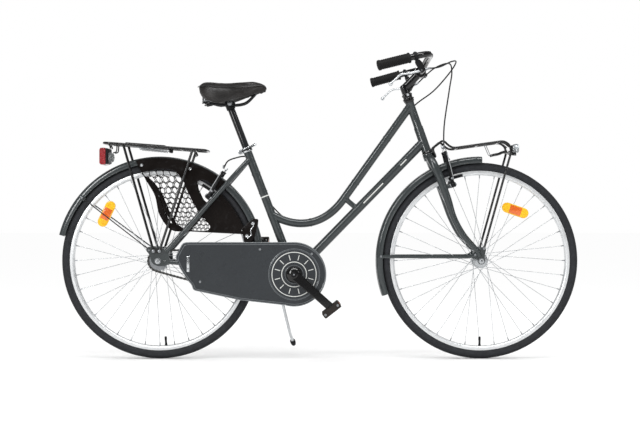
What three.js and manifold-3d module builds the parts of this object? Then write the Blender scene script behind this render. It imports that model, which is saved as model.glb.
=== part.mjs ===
// Dutch city bike with a swan-neck frame, full chaincase, coat guards and two racks.
// Millimetres. X points forward, Y to the rider's left, Z up from the ground.
import * as THREE from "three";
import { mergeVertices } from "three/addons/utils/BufferGeometryUtils.js";
import Module from "manifold-3d";

const wasm = await Module();
wasm.setup();

// Fits
const gap = 0.3; // between pieces that touch
const running = 0.5; // round a turning piece
const overrun = 3; // how far a cut runs past a face
const weld = 0.001; // vertices closer than this are one

// Roundness
const wheelSides = 36;
const roundSides = 12;
const tubeSides = 8;
const rodSides = 6;

// Wheels
const tyreRadius = 347;
const tyreHeight = 29; // beyond the rim
const tyreWidth = 37;
const rimRadius = tyreRadius - tyreHeight;
const rimDepth = 16;
const rimWidth = 24.4;
const spokeCount = 36;

// Mudguards
const guardClear = 21; // over the tyre
const guardRadius = tyreRadius + guardClear;
const guardWidth = 46;
const guardDepth = 23;
const guardWall = 1.5;
const guardCrownShare = 0.55; // flat part of its width

// Drive
const chainLine = 40; // the chain lies this far to the right
const ringRadius = 88.9;
const ringTeeth = 44;
const sprocketRadius = 36.6;
const sprocketTeeth = 18;
const toothHeight = 3.4;
const toothWidth = 3;
const crankLength = 175;
const crankAngle = -41.7;
const crankHubY = 66;
const crankEndY = 74;
const crankThickness = 12;
const crankHubDepth = 28;
const crankEndDepth = 22;

// Where the wheels and the bottom bracket stand
const ringBehind = 20.1; // from the chainring back to the rear mudguard
const footRoom = 289; // from the bottom bracket on to the front mudguard
const bracketAhead = guardRadius + ringRadius + ringBehind; // of the rear axle
const bracketDrop = 47; // and below it
const wheelbase = bracketAhead + footRoom + guardRadius;

// Frame
const seatAngle = 69;
const seatTubeLength = 473;
const seatTubeRadius = 15;
const headAngle = 70.7;
const rake = 49;
const crownRise = 52; // the fork crown's top above the mudguard
const headTubeStart = guardRadius + crownRise; // along the steering axis, from level with the axle
const headTubeLength = 200;
const headTubeEnd = headTubeStart + headTubeLength;
const headTubeRadius = 18;
const topTubeRadius = 14.3;
const topTubeBelow = 20; // the head tube's top
const topTubeAngle = 54.4;
const topTubeStraight = 410;
const topTubeFoot = 225; // along the seat tube
const topTubeFootAngle = 31;
const topTubeBend = 110;
const downTubeRadius = 15.9;
const downTubeAbove = 43; // the head tube's foot
const shellRadius = 20;
const shellWidth = 68;
const spindleRadius = 8;

// Rear triangle
const dropoutY = 61; // middle of the dropout plate
const dropoutThickness = 5;
const chainStayRadius = 9.5;
const seatStayRadius = 8.5;
const seatStayBelow = 42; // the seat tube's top
const seatStayTop = seatTubeLength - seatStayBelow;
const stayEnd = 45; // from the axle to the end of the seat stay

// Points that the rest is placed from
const rearAxle = at(-wheelbase / 2, 0, tyreRadius);
const frontAxle = at(wheelbase / 2, 0, tyreRadius);
const bracket = at(rearAxle.x + bracketAhead, 0, rearAxle.z - bracketDrop);
const seatUp = at(-Math.cos(rad(seatAngle)), 0, Math.sin(rad(seatAngle)));
const steerUp = at(-Math.cos(rad(headAngle)), 0, Math.sin(rad(headAngle)));
const steerAhead = at(Math.sin(rad(headAngle)), 0, Math.cos(rad(headAngle)));
const steerFoot = frontAxle.clone().addScaledVector(steerAhead, -rake);

// Finishes
const finish = {
  frame: paint("#45494b", 0.45, 0.2),
  black: paint("#17181a", 0.55, 0),
  blackMetal: paint("#1b1c1e", 0.4, 0.5),
  alloy: paint("#b9bcbe", 0.35, 0.9),
  chrome: paint("#d4d6d8", 0.15, 1),
  steel: paint("#8c8f92", 0.4, 0.9),
  rubber: paint("#202122", 0.85, 0),
  leather: paint("#1c1b1b", 0.6, 0),
  amber: paint("#e88a1c", 0.3, 0),
  red: paint("#a51c1c", 0.25, 0),
  clear: paint("#d9dee0", 0.15, 0),
};

function paint(color, roughness, metalness) {
  return new THREE.MeshStandardMaterial({ color, roughness, metalness });
}

function rad(degrees) {
  return THREE.MathUtils.degToRad(degrees);
}

function at(x, y, z) {
  return new THREE.Vector3(x, y, z);
}

function between(a, b, share) {
  return a.clone().lerp(b, share);
}

// A point given ahead of, beside and along the steering axis
function onSteering(ahead, y, along) {
  const point = steerFoot.clone();
  point.addScaledVector(steerAhead, ahead);
  point.addScaledVector(steerUp, along);
  return point.setY(y);
}

function onSeatTube(along) {
  return bracket.clone().addScaledVector(seatUp, along);
}

// A point at a radius and an angle round a wheel's axle, from straight ahead up and back
function round(axle, radius, degrees, y = 0) {
  const angle = rad(degrees);
  return at(axle.x + radius * Math.cos(angle), y, axle.z + radius * Math.sin(angle));
}

// Closed surfaces

// Welds a closed surface and turns its faces outwards
function outward(geometry) {
  const bare = geometry.clone();
  bare.deleteAttribute("normal");
  bare.deleteAttribute("uv");
  const welded = mergeVertices(bare, weld);
  const faces = welded.index.array;
  const corner = (i) => new THREE.Vector3().fromBufferAttribute(welded.attributes.position, faces[i]);
  let volume = 0;
  for (let i = 0; i < faces.length; i += 3) {
    volume += corner(i).dot(corner(i + 1).cross(corner(i + 2)));
  }
  if (volume < 0) {
    for (let i = 0; i < faces.length; i += 3) {
      [faces[i], faces[i + 1]] = [faces[i + 1], faces[i]];
    }
  }
  welded.computeVertexNormals();
  return welded;
}

function solid(geometry) {
  const surface = outward(geometry);
  const mesh = new wasm.Mesh({
    numProp: 3,
    vertProperties: surface.attributes.position.array,
    triVerts: new Uint32Array(surface.index.array),
  });
  return new wasm.Manifold(mesh);
}

function surfaceOf(made) {
  const mesh = made.getMesh();
  const geometry = new THREE.BufferGeometry();
  geometry.setAttribute("position", new THREE.BufferAttribute(mesh.vertProperties, 3));
  geometry.setIndex(new THREE.BufferAttribute(mesh.triVerts, 1));
  geometry.computeVertexNormals();
  return geometry;
}

function join(...pieces) {
  const solids = pieces.flat().map(solid);
  return surfaceOf(solids.reduce((whole, piece) => whole.add(piece)));
}

function cut(body, ...cutters) {
  const solids = cutters.flat().map(solid);
  return surfaceOf(solids.reduce((whole, cutter) => whole.subtract(cutter), solid(body)));
}

function common(a, b) {
  return surfaceOf(solid(a).intersect(solid(b)));
}

// The faces of a flat end, turned with its section or against it
function capFaces(section, base, against) {
  const outline = section.map(([a, b]) => new THREE.Vector2(a, b));
  const { area, triangulateShape } = THREE.ShapeUtils;
  return triangulateShape(outline, []).flatMap((triangle) => {
    const same = area(triangle.map((i) => outline[i])) > 0 === area(outline) > 0;
    const [a, b, c] = triangle.map((i) => base + i);
    return same === against ? [a, c, b] : [a, b, c];
  });
}

// A closed surface through sections: each station has a centre, two axes and a section
function loft(stations, closed = false) {
  const count = stations[0].section.length;
  const positions = [];
  for (const { centre, u, v, section } of stations) {
    for (const [a, b] of section) {
      const point = centre.clone().addScaledVector(u, a).addScaledVector(v, b);
      positions.push(point.x, point.y, point.z);
    }
  }
  const faces = [];
  const spans = closed ? stations.length : stations.length - 1;
  for (let i = 0; i < spans; i++) {
    const here = i * count;
    const there = ((i + 1) % stations.length) * count;
    for (let j = 0; j < count; j++) {
      const next = (j + 1) % count;
      faces.push(here + j, here + next, there + next, here + j, there + next, there + j);
    }
  }
  if (!closed) {
    faces.push(...capFaces(stations[0].section, 0, true));
    const end = stations.length - 1;
    faces.push(...capFaces(stations[end].section, end * count, false));
  }
  const geometry = new THREE.BufferGeometry();
  geometry.setAttribute("position", new THREE.Float32BufferAttribute(positions, 3));
  geometry.setIndex(faces);
  return outward(geometry);
}

function circle(radius, sides) {
  return Array.from({ length: sides }, (_, i) => {
    const angle = (2 * Math.PI * (i + 0.5)) / sides;
    return [radius * Math.cos(angle), radius * Math.sin(angle)];
  });
}

function rectangle(width, height) {
  return [
    [width / 2, -height / 2],
    [width / 2, height / 2],
    [-width / 2, height / 2],
    [-width / 2, -height / 2],
  ];
}

// Sections set square to a path, without twist; sectionAt gives the section at point i
function sweep(points, sectionAt, closed = false, side = at(0, 1, 0)) {
  const last = points.length;
  let u = null;
  const stations = points.map((point, i) => {
    const before = points[i - 1] ?? (closed ? points[last - 1] : point);
    const after = points[i + 1] ?? (closed ? points[0] : point);
    const arrive = point.clone().sub(before).normalize();
    const leave = after.clone().sub(point).normalize();
    const along = arrive.add(leave).normalize();
    if (!u) {
      u = Math.abs(along.dot(side)) > 0.9 ? at(0, 0, 1) : side.clone();
    }
    u = u.clone().addScaledVector(along, -u.dot(along)).normalize();
    return { centre: point, u, v: along.clone().cross(u), section: sectionAt(i) };
  });
  return loft(stations, closed);
}

// A round rod along points; radius is one value or one for each point
function rod(points, radius, sides = rodSides) {
  return sweep(points, (i) => circle(Array.isArray(radius) ? radius[i] : radius, sides));
}

// Corners of a path, each rounded in three steps
function rounded(corners, bend, closed = false) {
  const count = corners.length;
  return corners.flatMap((corner, i) => {
    if (!closed && (i === 0 || i === count - 1)) {
      return [corner];
    }
    const before = corners[(i + count - 1) % count];
    const after = corners[(i + 1) % count];
    const reach = (other) => Math.min(bend / corner.distanceTo(other), 0.45);
    const start = between(corner, before, reach(before));
    const end = between(corner, after, reach(after));
    const middle = between(between(start, end, 0.5), corner, 0.5);
    return [start, middle, end];
  });
}

function smooth(points, steps) {
  return new THREE.CatmullRomCurve3(points).getPoints(steps);
}

// A round cable along a smooth route
function cable(route, radius, steps) {
  const section = circle(radius, 8).map(([x, y]) => new THREE.Vector2(x, y));
  const extrudePath = new THREE.CatmullRomCurve3(route);
  const settings = { steps, extrudePath, bevelEnabled: false };
  return outward(new THREE.ExtrudeGeometry(new THREE.Shape(section), settings));
}

// A turned piece about an axis; the profile holds [radius, place along the axis]
function turned(profile, axis = "y", sides = roundSides) {
  const points = profile.map(([radius, along]) => new THREE.Vector2(radius, along));
  const geometry = new THREE.LatheGeometry(points, sides);
  if (axis === "z") {
    geometry.rotateX(Math.PI / 2);
  }
  if (axis === "x") {
    geometry.rotateZ(-Math.PI / 2);
  }
  return outward(geometry);
}

function ring(profile, axis, sides) {
  return turned([...profile, profile[0]], axis, sides);
}

function cylinder(radius, from, to, axis = "y", sides = roundSides) {
  return turned(
    [
      [0, from],
      [radius, from],
      [radius, to],
      [0, to],
    ],
    axis,
    sides,
  );
}

function box(low, high) {
  const size = high.clone().sub(low);
  const middle = between(low, high, 0.5);
  return new THREE.BoxGeometry(size.x, size.y, size.z).translate(middle.x, middle.y, middle.z);
}

function moved(geometry, to) {
  return geometry.clone().translate(to.x, to.y, to.z);
}

function mirrored(geometry) {
  return outward(geometry.clone().scale(1, -1, 1));
}

// A flat plate with its outline in X and Z, between two places in Y
function plate(outline, fromY, toY, holes = []) {
  const shape = new THREE.Shape(outline.map(([x, z]) => new THREE.Vector2(x, z)));
  for (const hole of holes) {
    shape.holes.push(new THREE.Path(hole.map(([x, z]) => new THREE.Vector2(x, z))));
  }
  const depth = Math.abs(toY - fromY);
  const geometry = new THREE.ExtrudeGeometry(shape, { depth, bevelEnabled: false });
  geometry.rotateX(Math.PI / 2);
  return outward(geometry.translate(0, Math.max(fromY, toY), 0));
}

function around(centre, radius, sides, from = 0, to = 360) {
  return Array.from({ length: sides + 1 }, (_, i) => {
    const angle = rad(from + ((to - from) * i) / sides);
    return [centre.x + radius * Math.cos(angle), centre.z + radius * Math.sin(angle)];
  });
}

// An outline drawn in by a distance, for outlines that run anticlockwise
function inset(outline, distance) {
  return outline.map(([x, z], i) => {
    const [bx, bz] = outline[(i + outline.length - 1) % outline.length];
    const [ax, az] = outline[(i + 1) % outline.length];
    const back = new THREE.Vector2(x - bx, z - bz).normalize();
    const on = new THREE.Vector2(ax - x, az - z).normalize();
    const side = new THREE.Vector2(-back.y - on.y, back.x + on.x).normalize();
    const reach = distance / Math.max(0.5, side.x * -on.y + side.y * on.x);
    return [x + side.x * reach, z + side.y * reach];
  });
}

function piece(parent, name, geometry, material) {
  const mesh = new THREE.Mesh(outward(geometry), material);
  mesh.name = name;
  parent.add(mesh);
  return mesh;
}

const bike = new THREE.Group();
const steering = new THREE.Group();
steering.position.copy(steerFoot);
steering.rotation.y = rad(headAngle - 90);
bike.add(steering);

// Frame tubes

const steererRadius = 12.7;
const headCupRadius = 20.5;
const headCupHeight = 9;

function headTube() {
  const bore = steererRadius + running;
  return ring(
    [
      [bore, headTubeStart],
      [headCupRadius, headTubeStart],
      [headCupRadius, headTubeStart + headCupHeight],
      [headTubeRadius, headTubeStart + headCupHeight],
      [headTubeRadius, headTubeEnd - headCupHeight],
      [headCupRadius, headTubeEnd - headCupHeight],
      [headCupRadius, headTubeEnd],
      [bore, headTubeEnd],
    ],
    "z",
    roundSides,
  );
}

function headTubeRoom() {
  const room = cylinder(
    headTubeRadius + gap,
    headTubeStart + headCupHeight,
    headTubeEnd - headCupHeight,
    "z",
    roundSides,
  );
  const cups = [0, headTubeLength - headCupHeight].map((from) =>
    cylinder(
      headCupRadius + gap,
      headTubeStart + from - gap,
      headTubeStart + from + headCupHeight + gap,
      "z",
      roundSides,
    ),
  );
  return join(room, cups).applyMatrix4(steeringMatrix());
}

function steeringMatrix() {
  steering.updateMatrix();
  return steering.matrix;
}

// The swan-neck line, from the head tube down to the seat tube
function topTubeLine() {
  const head = onSteering(0, 0, headTubeEnd - topTubeBelow);
  const down = at(-Math.cos(rad(topTubeAngle)), 0, -Math.sin(rad(topTubeAngle)));
  const bend = head.clone().addScaledVector(down, topTubeStraight);
  const foot = onSeatTube(topTubeFoot);
  const back = at(Math.cos(rad(topTubeFootAngle)), 0, -Math.sin(rad(topTubeFootAngle)));
  const curve = new THREE.CubicBezierCurve3(
    bend,
    bend.clone().addScaledVector(down, topTubeBend),
    foot.clone().addScaledVector(back, topTubeBend),
    foot,
  );
  return [head, ...curve.getPoints(8)];
}

function seatTubeRoom() {
  return rod([bracket, onSeatTube(seatTubeLength)], seatTubeRadius + gap, roundSides);
}

function topTube() {
  return cut(rod(topTubeLine(), topTubeRadius, tubeSides), headTubeRoom(), seatTubeRoom());
}

function downTubeBody(radius) {
  return rod([bracket, onSteering(0, 0, headTubeStart + downTubeAbove)], radius, tubeSides);
}

const braceRadius = 9.5;
const braceTopShare = 0.985; // of the top tube's straight run
const braceFootShare = 0.49; // of the down tube

function downTube() {
  const line = topTubeLine();
  const brace = rod(
    [
      between(line[0], line[1], braceTopShare),
      between(bracket, onSteering(0, 0, headTubeStart + downTubeAbove), braceFootShare),
    ],
    braceRadius,
    tubeSides,
  );
  const bare = join(downTubeBody(downTubeRadius), brace);
  return cut(
    bare,
    headTubeRoom(),
    seatTubeRoom(),
    shellRoom(),
    rod(topTubeLine(), topTubeRadius + gap, tubeSides),
  );
}

function shellRoom() {
  return moved(
    cylinder(shellRadius + gap, -shellWidth / 2 - overrun, shellWidth / 2 + overrun, "y"),
    bracket,
  );
}

const postRadius = 12.7;
const postBore = postRadius + running;

function seatTube() {
  const tube = rod([bracket, onSeatTube(seatTubeLength)], seatTubeRadius, roundSides);
  const bore = rod(
    [onSeatTube(shellRadius + overrun * 2), onSeatTube(seatTubeLength + overrun)],
    postBore,
    roundSides,
  );
  return cut(tube, bore, shellRoom());
}

const bearingRadius = 16.6;

function bottomBracketShell() {
  const half = shellWidth / 2;
  const bore = bearingRadius + gap;
  return moved(
    ring(
      [
        [bore, -half],
        [shellRadius, -half],
        [shellRadius, half],
        [bore, half],
      ],
      "y",
      roundSides,
    ),
    bracket,
  );
}

function bottomBracketUnit() {
  const half = shellWidth / 2 - gap;
  const bore = spindleRadius + running;
  return moved(
    ring(
      [
        [bore, -half],
        [bearingRadius, -half],
        [bearingRadius, half],
        [bore, half],
      ],
      "y",
      roundSides,
    ),
    bracket,
  );
}

// Chain stays with dropouts and a bridge

const stayInside = 2.2; // the last place inside the chainring, beyond its pitch line
const stayOutside = 18.9; // and the first place outside it
const chainStayShares = [0.5, 0.8, 0.92, 0.965]; // of the way back to the axle, behind the chainring
const chainStaySpreadShares = [0.64, 0.71, 0.87, 1]; // of the dropout's distance
const stayStartY = 22;
const stayRingGap = 1.25; // between the stay and the chainring
const stayRingY = chainLine - toothWidth / 2 - stayRingGap - chainStayRadius;
const stayStep = 5.8; // out again behind the chainring
const chainStayTaperShare = 0.25;
const bridgeRadius = 6;

function chainStayPlaces() {
  const length = bracket.distanceTo(rearAxle);
  const beside = [stayInside, stayOutside].map((beyond) => (ringRadius + beyond) / length);
  return [0, ...beside, ...chainStayShares];
}

function chainStayPoints(side) {
  const spread = chainStaySpreadShares.map((share) => share * dropoutY);
  const across = [stayStartY, stayRingY, stayRingY + stayStep, ...spread];
  return chainStayPlaces().map((share, i) => between(bracket, rearAxle, share).setY(side * across[i]));
}

function chainStayBody(side, extra = 0) {
  const radii = chainStayPlaces().map((place) => chainStayRadius * (1 - chainStayTaperShare * place) + extra);
  return rod(chainStayPoints(side), radii, tubeSides);
}

const dropoutSize = 17;
const dropoutShares = [
  [-1.5, 0.3],
  [-1, -0.6],
  [0, -1],
  [1.6, -1],
  [2.3, -0.2],
  [2.2, 1.5],
  [1.7, 2.2],
  [0.8, 2.75],
  [-2.2, 2.9],
  [-2.4, 2.2],
  [-1.4, 1],
];
const rearAxleRadius = 5;

function dropout(side) {
  const outline = dropoutShares.map(([x, z]) => [x * dropoutSize, z * dropoutSize]);
  const middle = side * dropoutY;
  const hole = around(at(0, 0, 0), rearAxleRadius + gap, roundSides).slice(0, roundSides);
  return moved(
    plate(outline, middle - dropoutThickness / 2, middle + dropoutThickness / 2, [hole]),
    rearAxle,
  );
}

function chainStays() {
  const bridgeX = rearAxle.x + guardRadius + gap + bridgeRadius;
  const bridgeShare = (bracket.x - bridgeX) / bracketAhead;
  const bridgeAt = between(bracket, rearAxle, bridgeShare);
  const reach = stayRingY;
  const bridge = moved(cylinder(bridgeRadius, -reach, reach, "y", tubeSides), bridgeAt);
  const sides = [1, -1].flatMap((side) => [chainStayBody(side), dropout(side)]);
  return cut(join(sides, bridge), shellRoom());
}

// Seat stays with a bridge and the rear brake's posts

const seatStayShares = [0, 0.08, 0.16, 0.35, 1]; // of the way down to the axle
const seatStaySpreadShares = [0.2, 0.4, 0.54, 0.69, 1]; // of the dropout's distance
const brakePivotY = 43;
const brakePivotInside = 33; // the rim's edge
const brakePivotAlong = rimRadius - brakePivotInside; // from the axle
const rearBrakeOut = 18.5; // behind the seat stays
const brakeEyeHalf = 8;
const brakePinRadius = 5;
const brakeCollarRadius = 7.5;
const brakeHeadHeight = 3;

function seatStayTopPoint() {
  return onSeatTube(seatStayTop).add(at(-seatTubeRadius * 0.6, 0, 0));
}

// Directions along the seat stays: up from the axle, and out behind them
function stayUp() {
  return seatStayTopPoint().sub(rearAxle).normalize();
}

function stayOut() {
  return at(0, -1, 0).cross(stayUp());
}

function onSeatStay(out, y, along) {
  const point = rearAxle.clone().addScaledVector(stayUp(), along);
  return point.addScaledVector(stayOut(), out).setY(y);
}

function seatStayPoints(side) {
  const length = seatStayTopPoint().distanceTo(rearAxle);
  return seatStayShares.map((share, i) =>
    onSeatStay(
      0,
      side * dropoutY * seatStaySpreadShares[i],
      THREE.MathUtils.lerp(length, stayEnd, share),
    ),
  );
}

function brakePost(start, eyeMiddle, eyeHalf, direction) {
  const shift = (point, distance) => point.clone().addScaledVector(direction, distance);
  return join(
    rod([start, shift(eyeMiddle, -eyeHalf - gap)], brakeCollarRadius, tubeSides),
    rod([start, shift(eyeMiddle, eyeHalf + gap * 2)], brakePinRadius, tubeSides),
    rod(
      [shift(eyeMiddle, eyeHalf + gap), shift(eyeMiddle, eyeHalf + gap + brakeHeadHeight)],
      brakeCollarRadius,
      tubeSides,
    ),
  );
}

function seatStayBody(side, extra = 0) {
  return rod(smooth(seatStayPoints(side), 6), seatStayRadius + extra, tubeSides);
}

function seatStays() {
  const bridgeAlong = guardRadius + gap + bridgeRadius;
  const reach = dropoutY * seatStaySpreadShares[2];
  const bridge = moved(
    cylinder(bridgeRadius, -reach, reach, "y", tubeSides),
    onSeatStay(0, 0, bridgeAlong),
  );
  const sides = [1, -1].flatMap((side) => [
    seatStayBody(side),
    brakePost(
      onSeatStay(0, side * brakePivotY, brakePivotAlong),
      onSeatStay(rearBrakeOut, side * brakePivotY, brakePivotAlong),
      brakeEyeHalf,
      stayOut(),
    ),
  ]);
  const dropouts = moved(
    box(
      at(-dropoutSize * 3, -dropoutY - dropoutThickness / 2 - gap, -dropoutSize * 2),
      at(dropoutSize * 3, -dropoutY + dropoutThickness / 2 + gap, dropoutSize * 2.9 + gap),
    ),
    rearAxle,
  );
  return cut(join(sides, bridge), seatTubeRoom(), dropouts, mirrored(dropouts));
}

// Mudguards: a channel swept round the wheel

function guardSection() {
  const half = guardWidth / 2;
  const crown = half * guardCrownShare;
  const shoulder = guardDepth / 2;
  const skin = (side, wall) => [
    [side * (half - wall), -guardDepth],
    [side * (half - wall), -shoulder - wall / 2],
    [side * (crown - wall / 2), -wall],
  ];
  return [
    ...skin(-1, 0),
    ...skin(1, 0).reverse(),
    ...skin(1, guardWall),
    ...skin(-1, guardWall).reverse(),
  ];
}

function guard(axle, from, to, steps) {
  const section = guardSection();
  const stations = Array.from({ length: steps + 1 }, (_, i) => {
    const degrees = from + ((to - from) * i) / steps;
    const centre = round(axle, guardRadius, degrees);
    const v = centre.clone().sub(axle).normalize();
    return { centre, u: at(0, 1, 0), v, section };
  });
  return loft(stations);
}

const rearGuardFromAngle = -5; // degrees round the axle
const rearGuardToAngle = 165.4;
const frontGuardFromAngle = 89;
const frontGuardToAngle = 199.8;

// Guard stays: a wire from one dropout through the guard's sides to the other
const guardStayRadius = 2;
const guardStayHoleRadius = guardStayRadius + gap;
const guardStayLeadShare = 0.05; // its straight foot
const guardStayInset = 17; // from the guard's outer radius to the wire across

function guardStay(axle, degrees, foot, radius) {
  const across = guardRadius - guardStayInset;
  const half = guardWidth / 2;
  const top = round(axle, across, degrees);
  const lead = between(foot, top, guardStayLeadShare).setY(foot.y);
  const other = (point) => at(point.x, -point.y, point.z);
  const path = rounded(
    [
      other(foot),
      other(lead),
      top.clone().setY(-half - radius * 2),
      top.clone().setY(half + radius * 2),
      lead,
      foot,
    ],
    radius * 2,
  );
  return rod(path, radius);
}

function guardStayHole(axle, degrees) {
  const half = guardWidth / 2 + overrun;
  const across = round(axle, guardRadius - guardStayInset, degrees);
  return moved(cylinder(guardStayHoleRadius, -half, half, "y", 8), across);
}

const rearStayAngle = 140.7;
const rearStayFootShares = [-1.94, 2.5]; // of the dropout's size, from the axle

function rearStayFoot() {
  const [x, z] = rearStayFootShares;
  const y = dropoutY + dropoutThickness / 2 + guardStayRadius + gap;
  return at(rearAxle.x + x * dropoutSize, y, rearAxle.z + z * dropoutSize);
}

// Wheels

const tyreTread = 5; // half the flat that meets the ground

function tyre() {
  const half = tyreWidth / 2;
  const bead = rimWidth / 2 - guardWall;
  const side = (sign) => [
    [rimRadius + gap, sign * bead],
    [rimRadius + (tyreRadius - rimRadius) * 0.45, sign * half],
    [tyreRadius - (tyreRadius - rimRadius) * 0.22, sign * half * 0.76],
    [tyreRadius, sign * tyreTread],
  ];
  return ring([...side(-1), ...side(1).reverse()], "y", wheelSides);
}

function rim() {
  const half = rimWidth / 2;
  const side = (sign) => [
    [rimRadius - rimDepth, sign * half * 0.45],
    [rimRadius - rimDepth * 0.65, sign * half],
    [rimRadius, sign * half],
  ];
  return ring([...side(-1), ...side(1).reverse()], "y", wheelSides);
}

const hubBarrel = 15;
const hubFlange = 26;
const hubFlangeY = 31;
const hubFlangeThickness = 4;
const hubEnd = 10;
const spokeRadius = 1;
const spokeAngle = 60; // degrees a spoke runs round the hub
const spokeSplit = 1.6; // between the spokes that cross

function hub(boreRadius, endY) {
  const inner = hubFlangeY - hubFlangeThickness;
  const side = (sign) => [
    [boreRadius, sign * endY],
    [hubEnd, sign * endY],
    [hubEnd, sign * hubFlangeY],
    [hubFlange, sign * hubFlangeY],
    [hubFlange, sign * inner],
    [hubBarrel, sign * inner],
  ];
  const body = ring([...side(-1), ...side(1).reverse()], "y", roundSides);
  const spokes = Array.from({ length: spokeCount }, (_, i) => {
    const degrees = (360 * i) / spokeCount;
    const side = i % 2 ? 1 : -1;
    const lead = i % 4 < 2 ? 1 : -1;
    const y = side * (hubFlangeY - hubFlangeThickness / 2 + lead * spokeSplit);
    const origin = at(0, 0, 0);
    const start = round(origin, hubFlange - spokeRadius * 2, degrees + lead * spokeAngle, y);
    const end = round(origin, rimRadius - rimDepth - gap, degrees, side * spokeRadius);
    return rod([start, end], spokeRadius, 3);
  });
  return join(body, spokes);
}

const reflectorLength = 95;
const reflectorWidth = 34;
const reflectorThickness = 8;

// Where the outer side of the spokes lies, at a radius
function besideSpokes(radius) {
  const rimInner = rimRadius - rimDepth;
  const flange = hubFlangeY - hubFlangeThickness / 2 + spokeSplit;
  return spokeRadius + (flange * (rimInner - radius)) / (rimInner - hubFlange);
}

function reflector({ insideRim, angle, leanAngle }) {
  const y = -besideSpokes(rimRadius - insideRim - reflectorWidth / 2);
  const half = reflectorLength / 2 - reflectorWidth / 2;
  const end = reflectorWidth / 2;
  const ends = [at(half, 0, 0), at(-half, 0, 0)];
  const outline = [...around(ends[0], end, 5, -90, 90), ...around(ends[1], end, 5, 90, 270)];
  const body = plate(outline, y, y - reflectorThickness);
  body.rotateY(-rad(angle - 90 + leanAngle));
  const place = round(at(0, 0, 0), rimRadius - insideRim, angle);
  return moved(body, place);
}

const rearReflector = { insideRim: 68, angle: 138.6, leanAngle: 15.4 };
const frontReflector = { insideRim: 101, angle: 55, leanAngle: 16 };

function axleWithNuts(radius, nutY, nutHeight, nutRadius) {
  const end = nutY + nutHeight + radius;
  const nuts = [1, -1].map((side) =>
    cylinder(nutRadius, side > 0 ? nutY : -nutY - nutHeight, side > 0 ? nutY + nutHeight : -nutY, "y", 6),
  );
  return join(cylinder(radius, -end, end, "y"), nuts);
}

const nutHeight = 8;
const nutRadius = 9;
const rearHubEnd = dropoutY - dropoutThickness / 2 - running;

// Crank set

const pedalPinRadius = 6;
const pedalPinLength = 92;
const bossRadius = 15;
const spindleEnd = 60;

function gearPlate(pitchRadius, teeth, width) {
  const outline = Array.from({ length: teeth * 2 }, (_, i) => {
    const turn = (Math.PI * i) / teeth;
    const crest = i % 2 === 0;
    const radius = pitchRadius + (crest ? toothHeight : -toothHeight);
    return [radius * Math.cos(turn), radius * Math.sin(turn)];
  });
  return plate(outline, -chainLine - width / 2, -chainLine + width / 2);
}

function armBody(side) {
  const hubY = side * crankHubY;
  const endY = side * crankEndY;
  const arm = sweep(
    [at(0, hubY, 0), at(crankLength, endY, 0)],
    (i) => rectangle(crankThickness, i ? crankEndDepth : crankHubDepth),
    false,
    at(0, 1, 0),
  );
  const half = crankThickness / 2;
  const eye = moved(
    cylinder(crankEndDepth / 2, endY - half, endY + half, "y"),
    at(crankLength, 0, 0),
  );
  const far = endY + side * (half + pedalPinLength);
  const pin = moved(
    cylinder(pedalPinRadius, Math.min(endY, far), Math.max(endY, far), "y"),
    at(crankLength, 0, 0),
  );
  return join(arm, eye, pin);
}

function crankRight() {
  const boss = cylinder(bossRadius, -crankHubY - crankThickness / 2, -chainLine + toothWidth / 2);
  const bore = cylinder(spindleRadius + gap, -spindleEnd - gap, overrun - chainLine + toothWidth);
  return cut(join(armBody(-1), boss, gearPlate(ringRadius, ringTeeth, toothWidth)), bore);
}

function crankLeft() {
  const boss = cylinder(bossRadius, shellWidth / 2 + overrun, crankHubY + crankThickness / 2);
  const bore = cylinder(spindleRadius + gap, shellWidth / 2, spindleEnd + gap);
  return cut(join(armBody(1), boss), bore);
}

function spindle() {
  return moved(cylinder(spindleRadius, -spindleEnd, spindleEnd), bracket);
}

// Pedals

const rightPedalAngle = 38;
const pedalClear = 3; // from the crank's end
const pedalWidth = 94;
const pedalLength = 68;
const pedalDepth = 24;
const pedalBarrel = 11;
const pedalBlock = 15;
const pedalEndPlate = 4;

function pedal(side) {
  const inner = crankEndY + crankThickness / 2 + pedalClear;
  const outer = inner + pedalWidth;
  const half = pedalLength / 2;
  const deep = pedalDepth / 2;
  const blocks = [half - pedalBlock, -half].map((x) =>
    box(at(x, inner + gap, -deep), at(x + pedalBlock, outer - gap, deep)),
  );
  const plates = [inner, outer - pedalEndPlate].map((y) =>
    box(at(-half + weld, y, -deep / 2), at(half - weld, y + pedalEndPlate, deep / 2)),
  );
  const body = join(cylinder(pedalBarrel, inner, outer), blocks, plates);
  const pinEnd = crankEndY + crankThickness / 2 + pedalPinLength;
  const bore = cylinder(pedalPinRadius + running, inner - overrun, pinEnd + running);
  const whole = cut(body, bore);
  return side > 0 ? whole : mirrored(whole);
}

// Sprocket and chain

const freewheelRadius = 24;

function freewheel() {
  const outer = -chainLine - toothWidth * 1.5;
  const inner = -hubFlangeY - running;
  const body = join(
    gearPlate(sprocketRadius, sprocketTeeth, toothWidth),
    cylinder(freewheelRadius, outer, inner),
  );
  return moved(cut(body, cylinder(hubEnd + running, outer - overrun, inner + overrun)), rearAxle);
}

const chainSag = 10;
const chainHeight = 8;
const chainPlate = 1.2;
const chainSlot = toothWidth / 2 + gap;
const chainRollerRadius = 3;
const chainRollers = 6; // on each run

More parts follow.
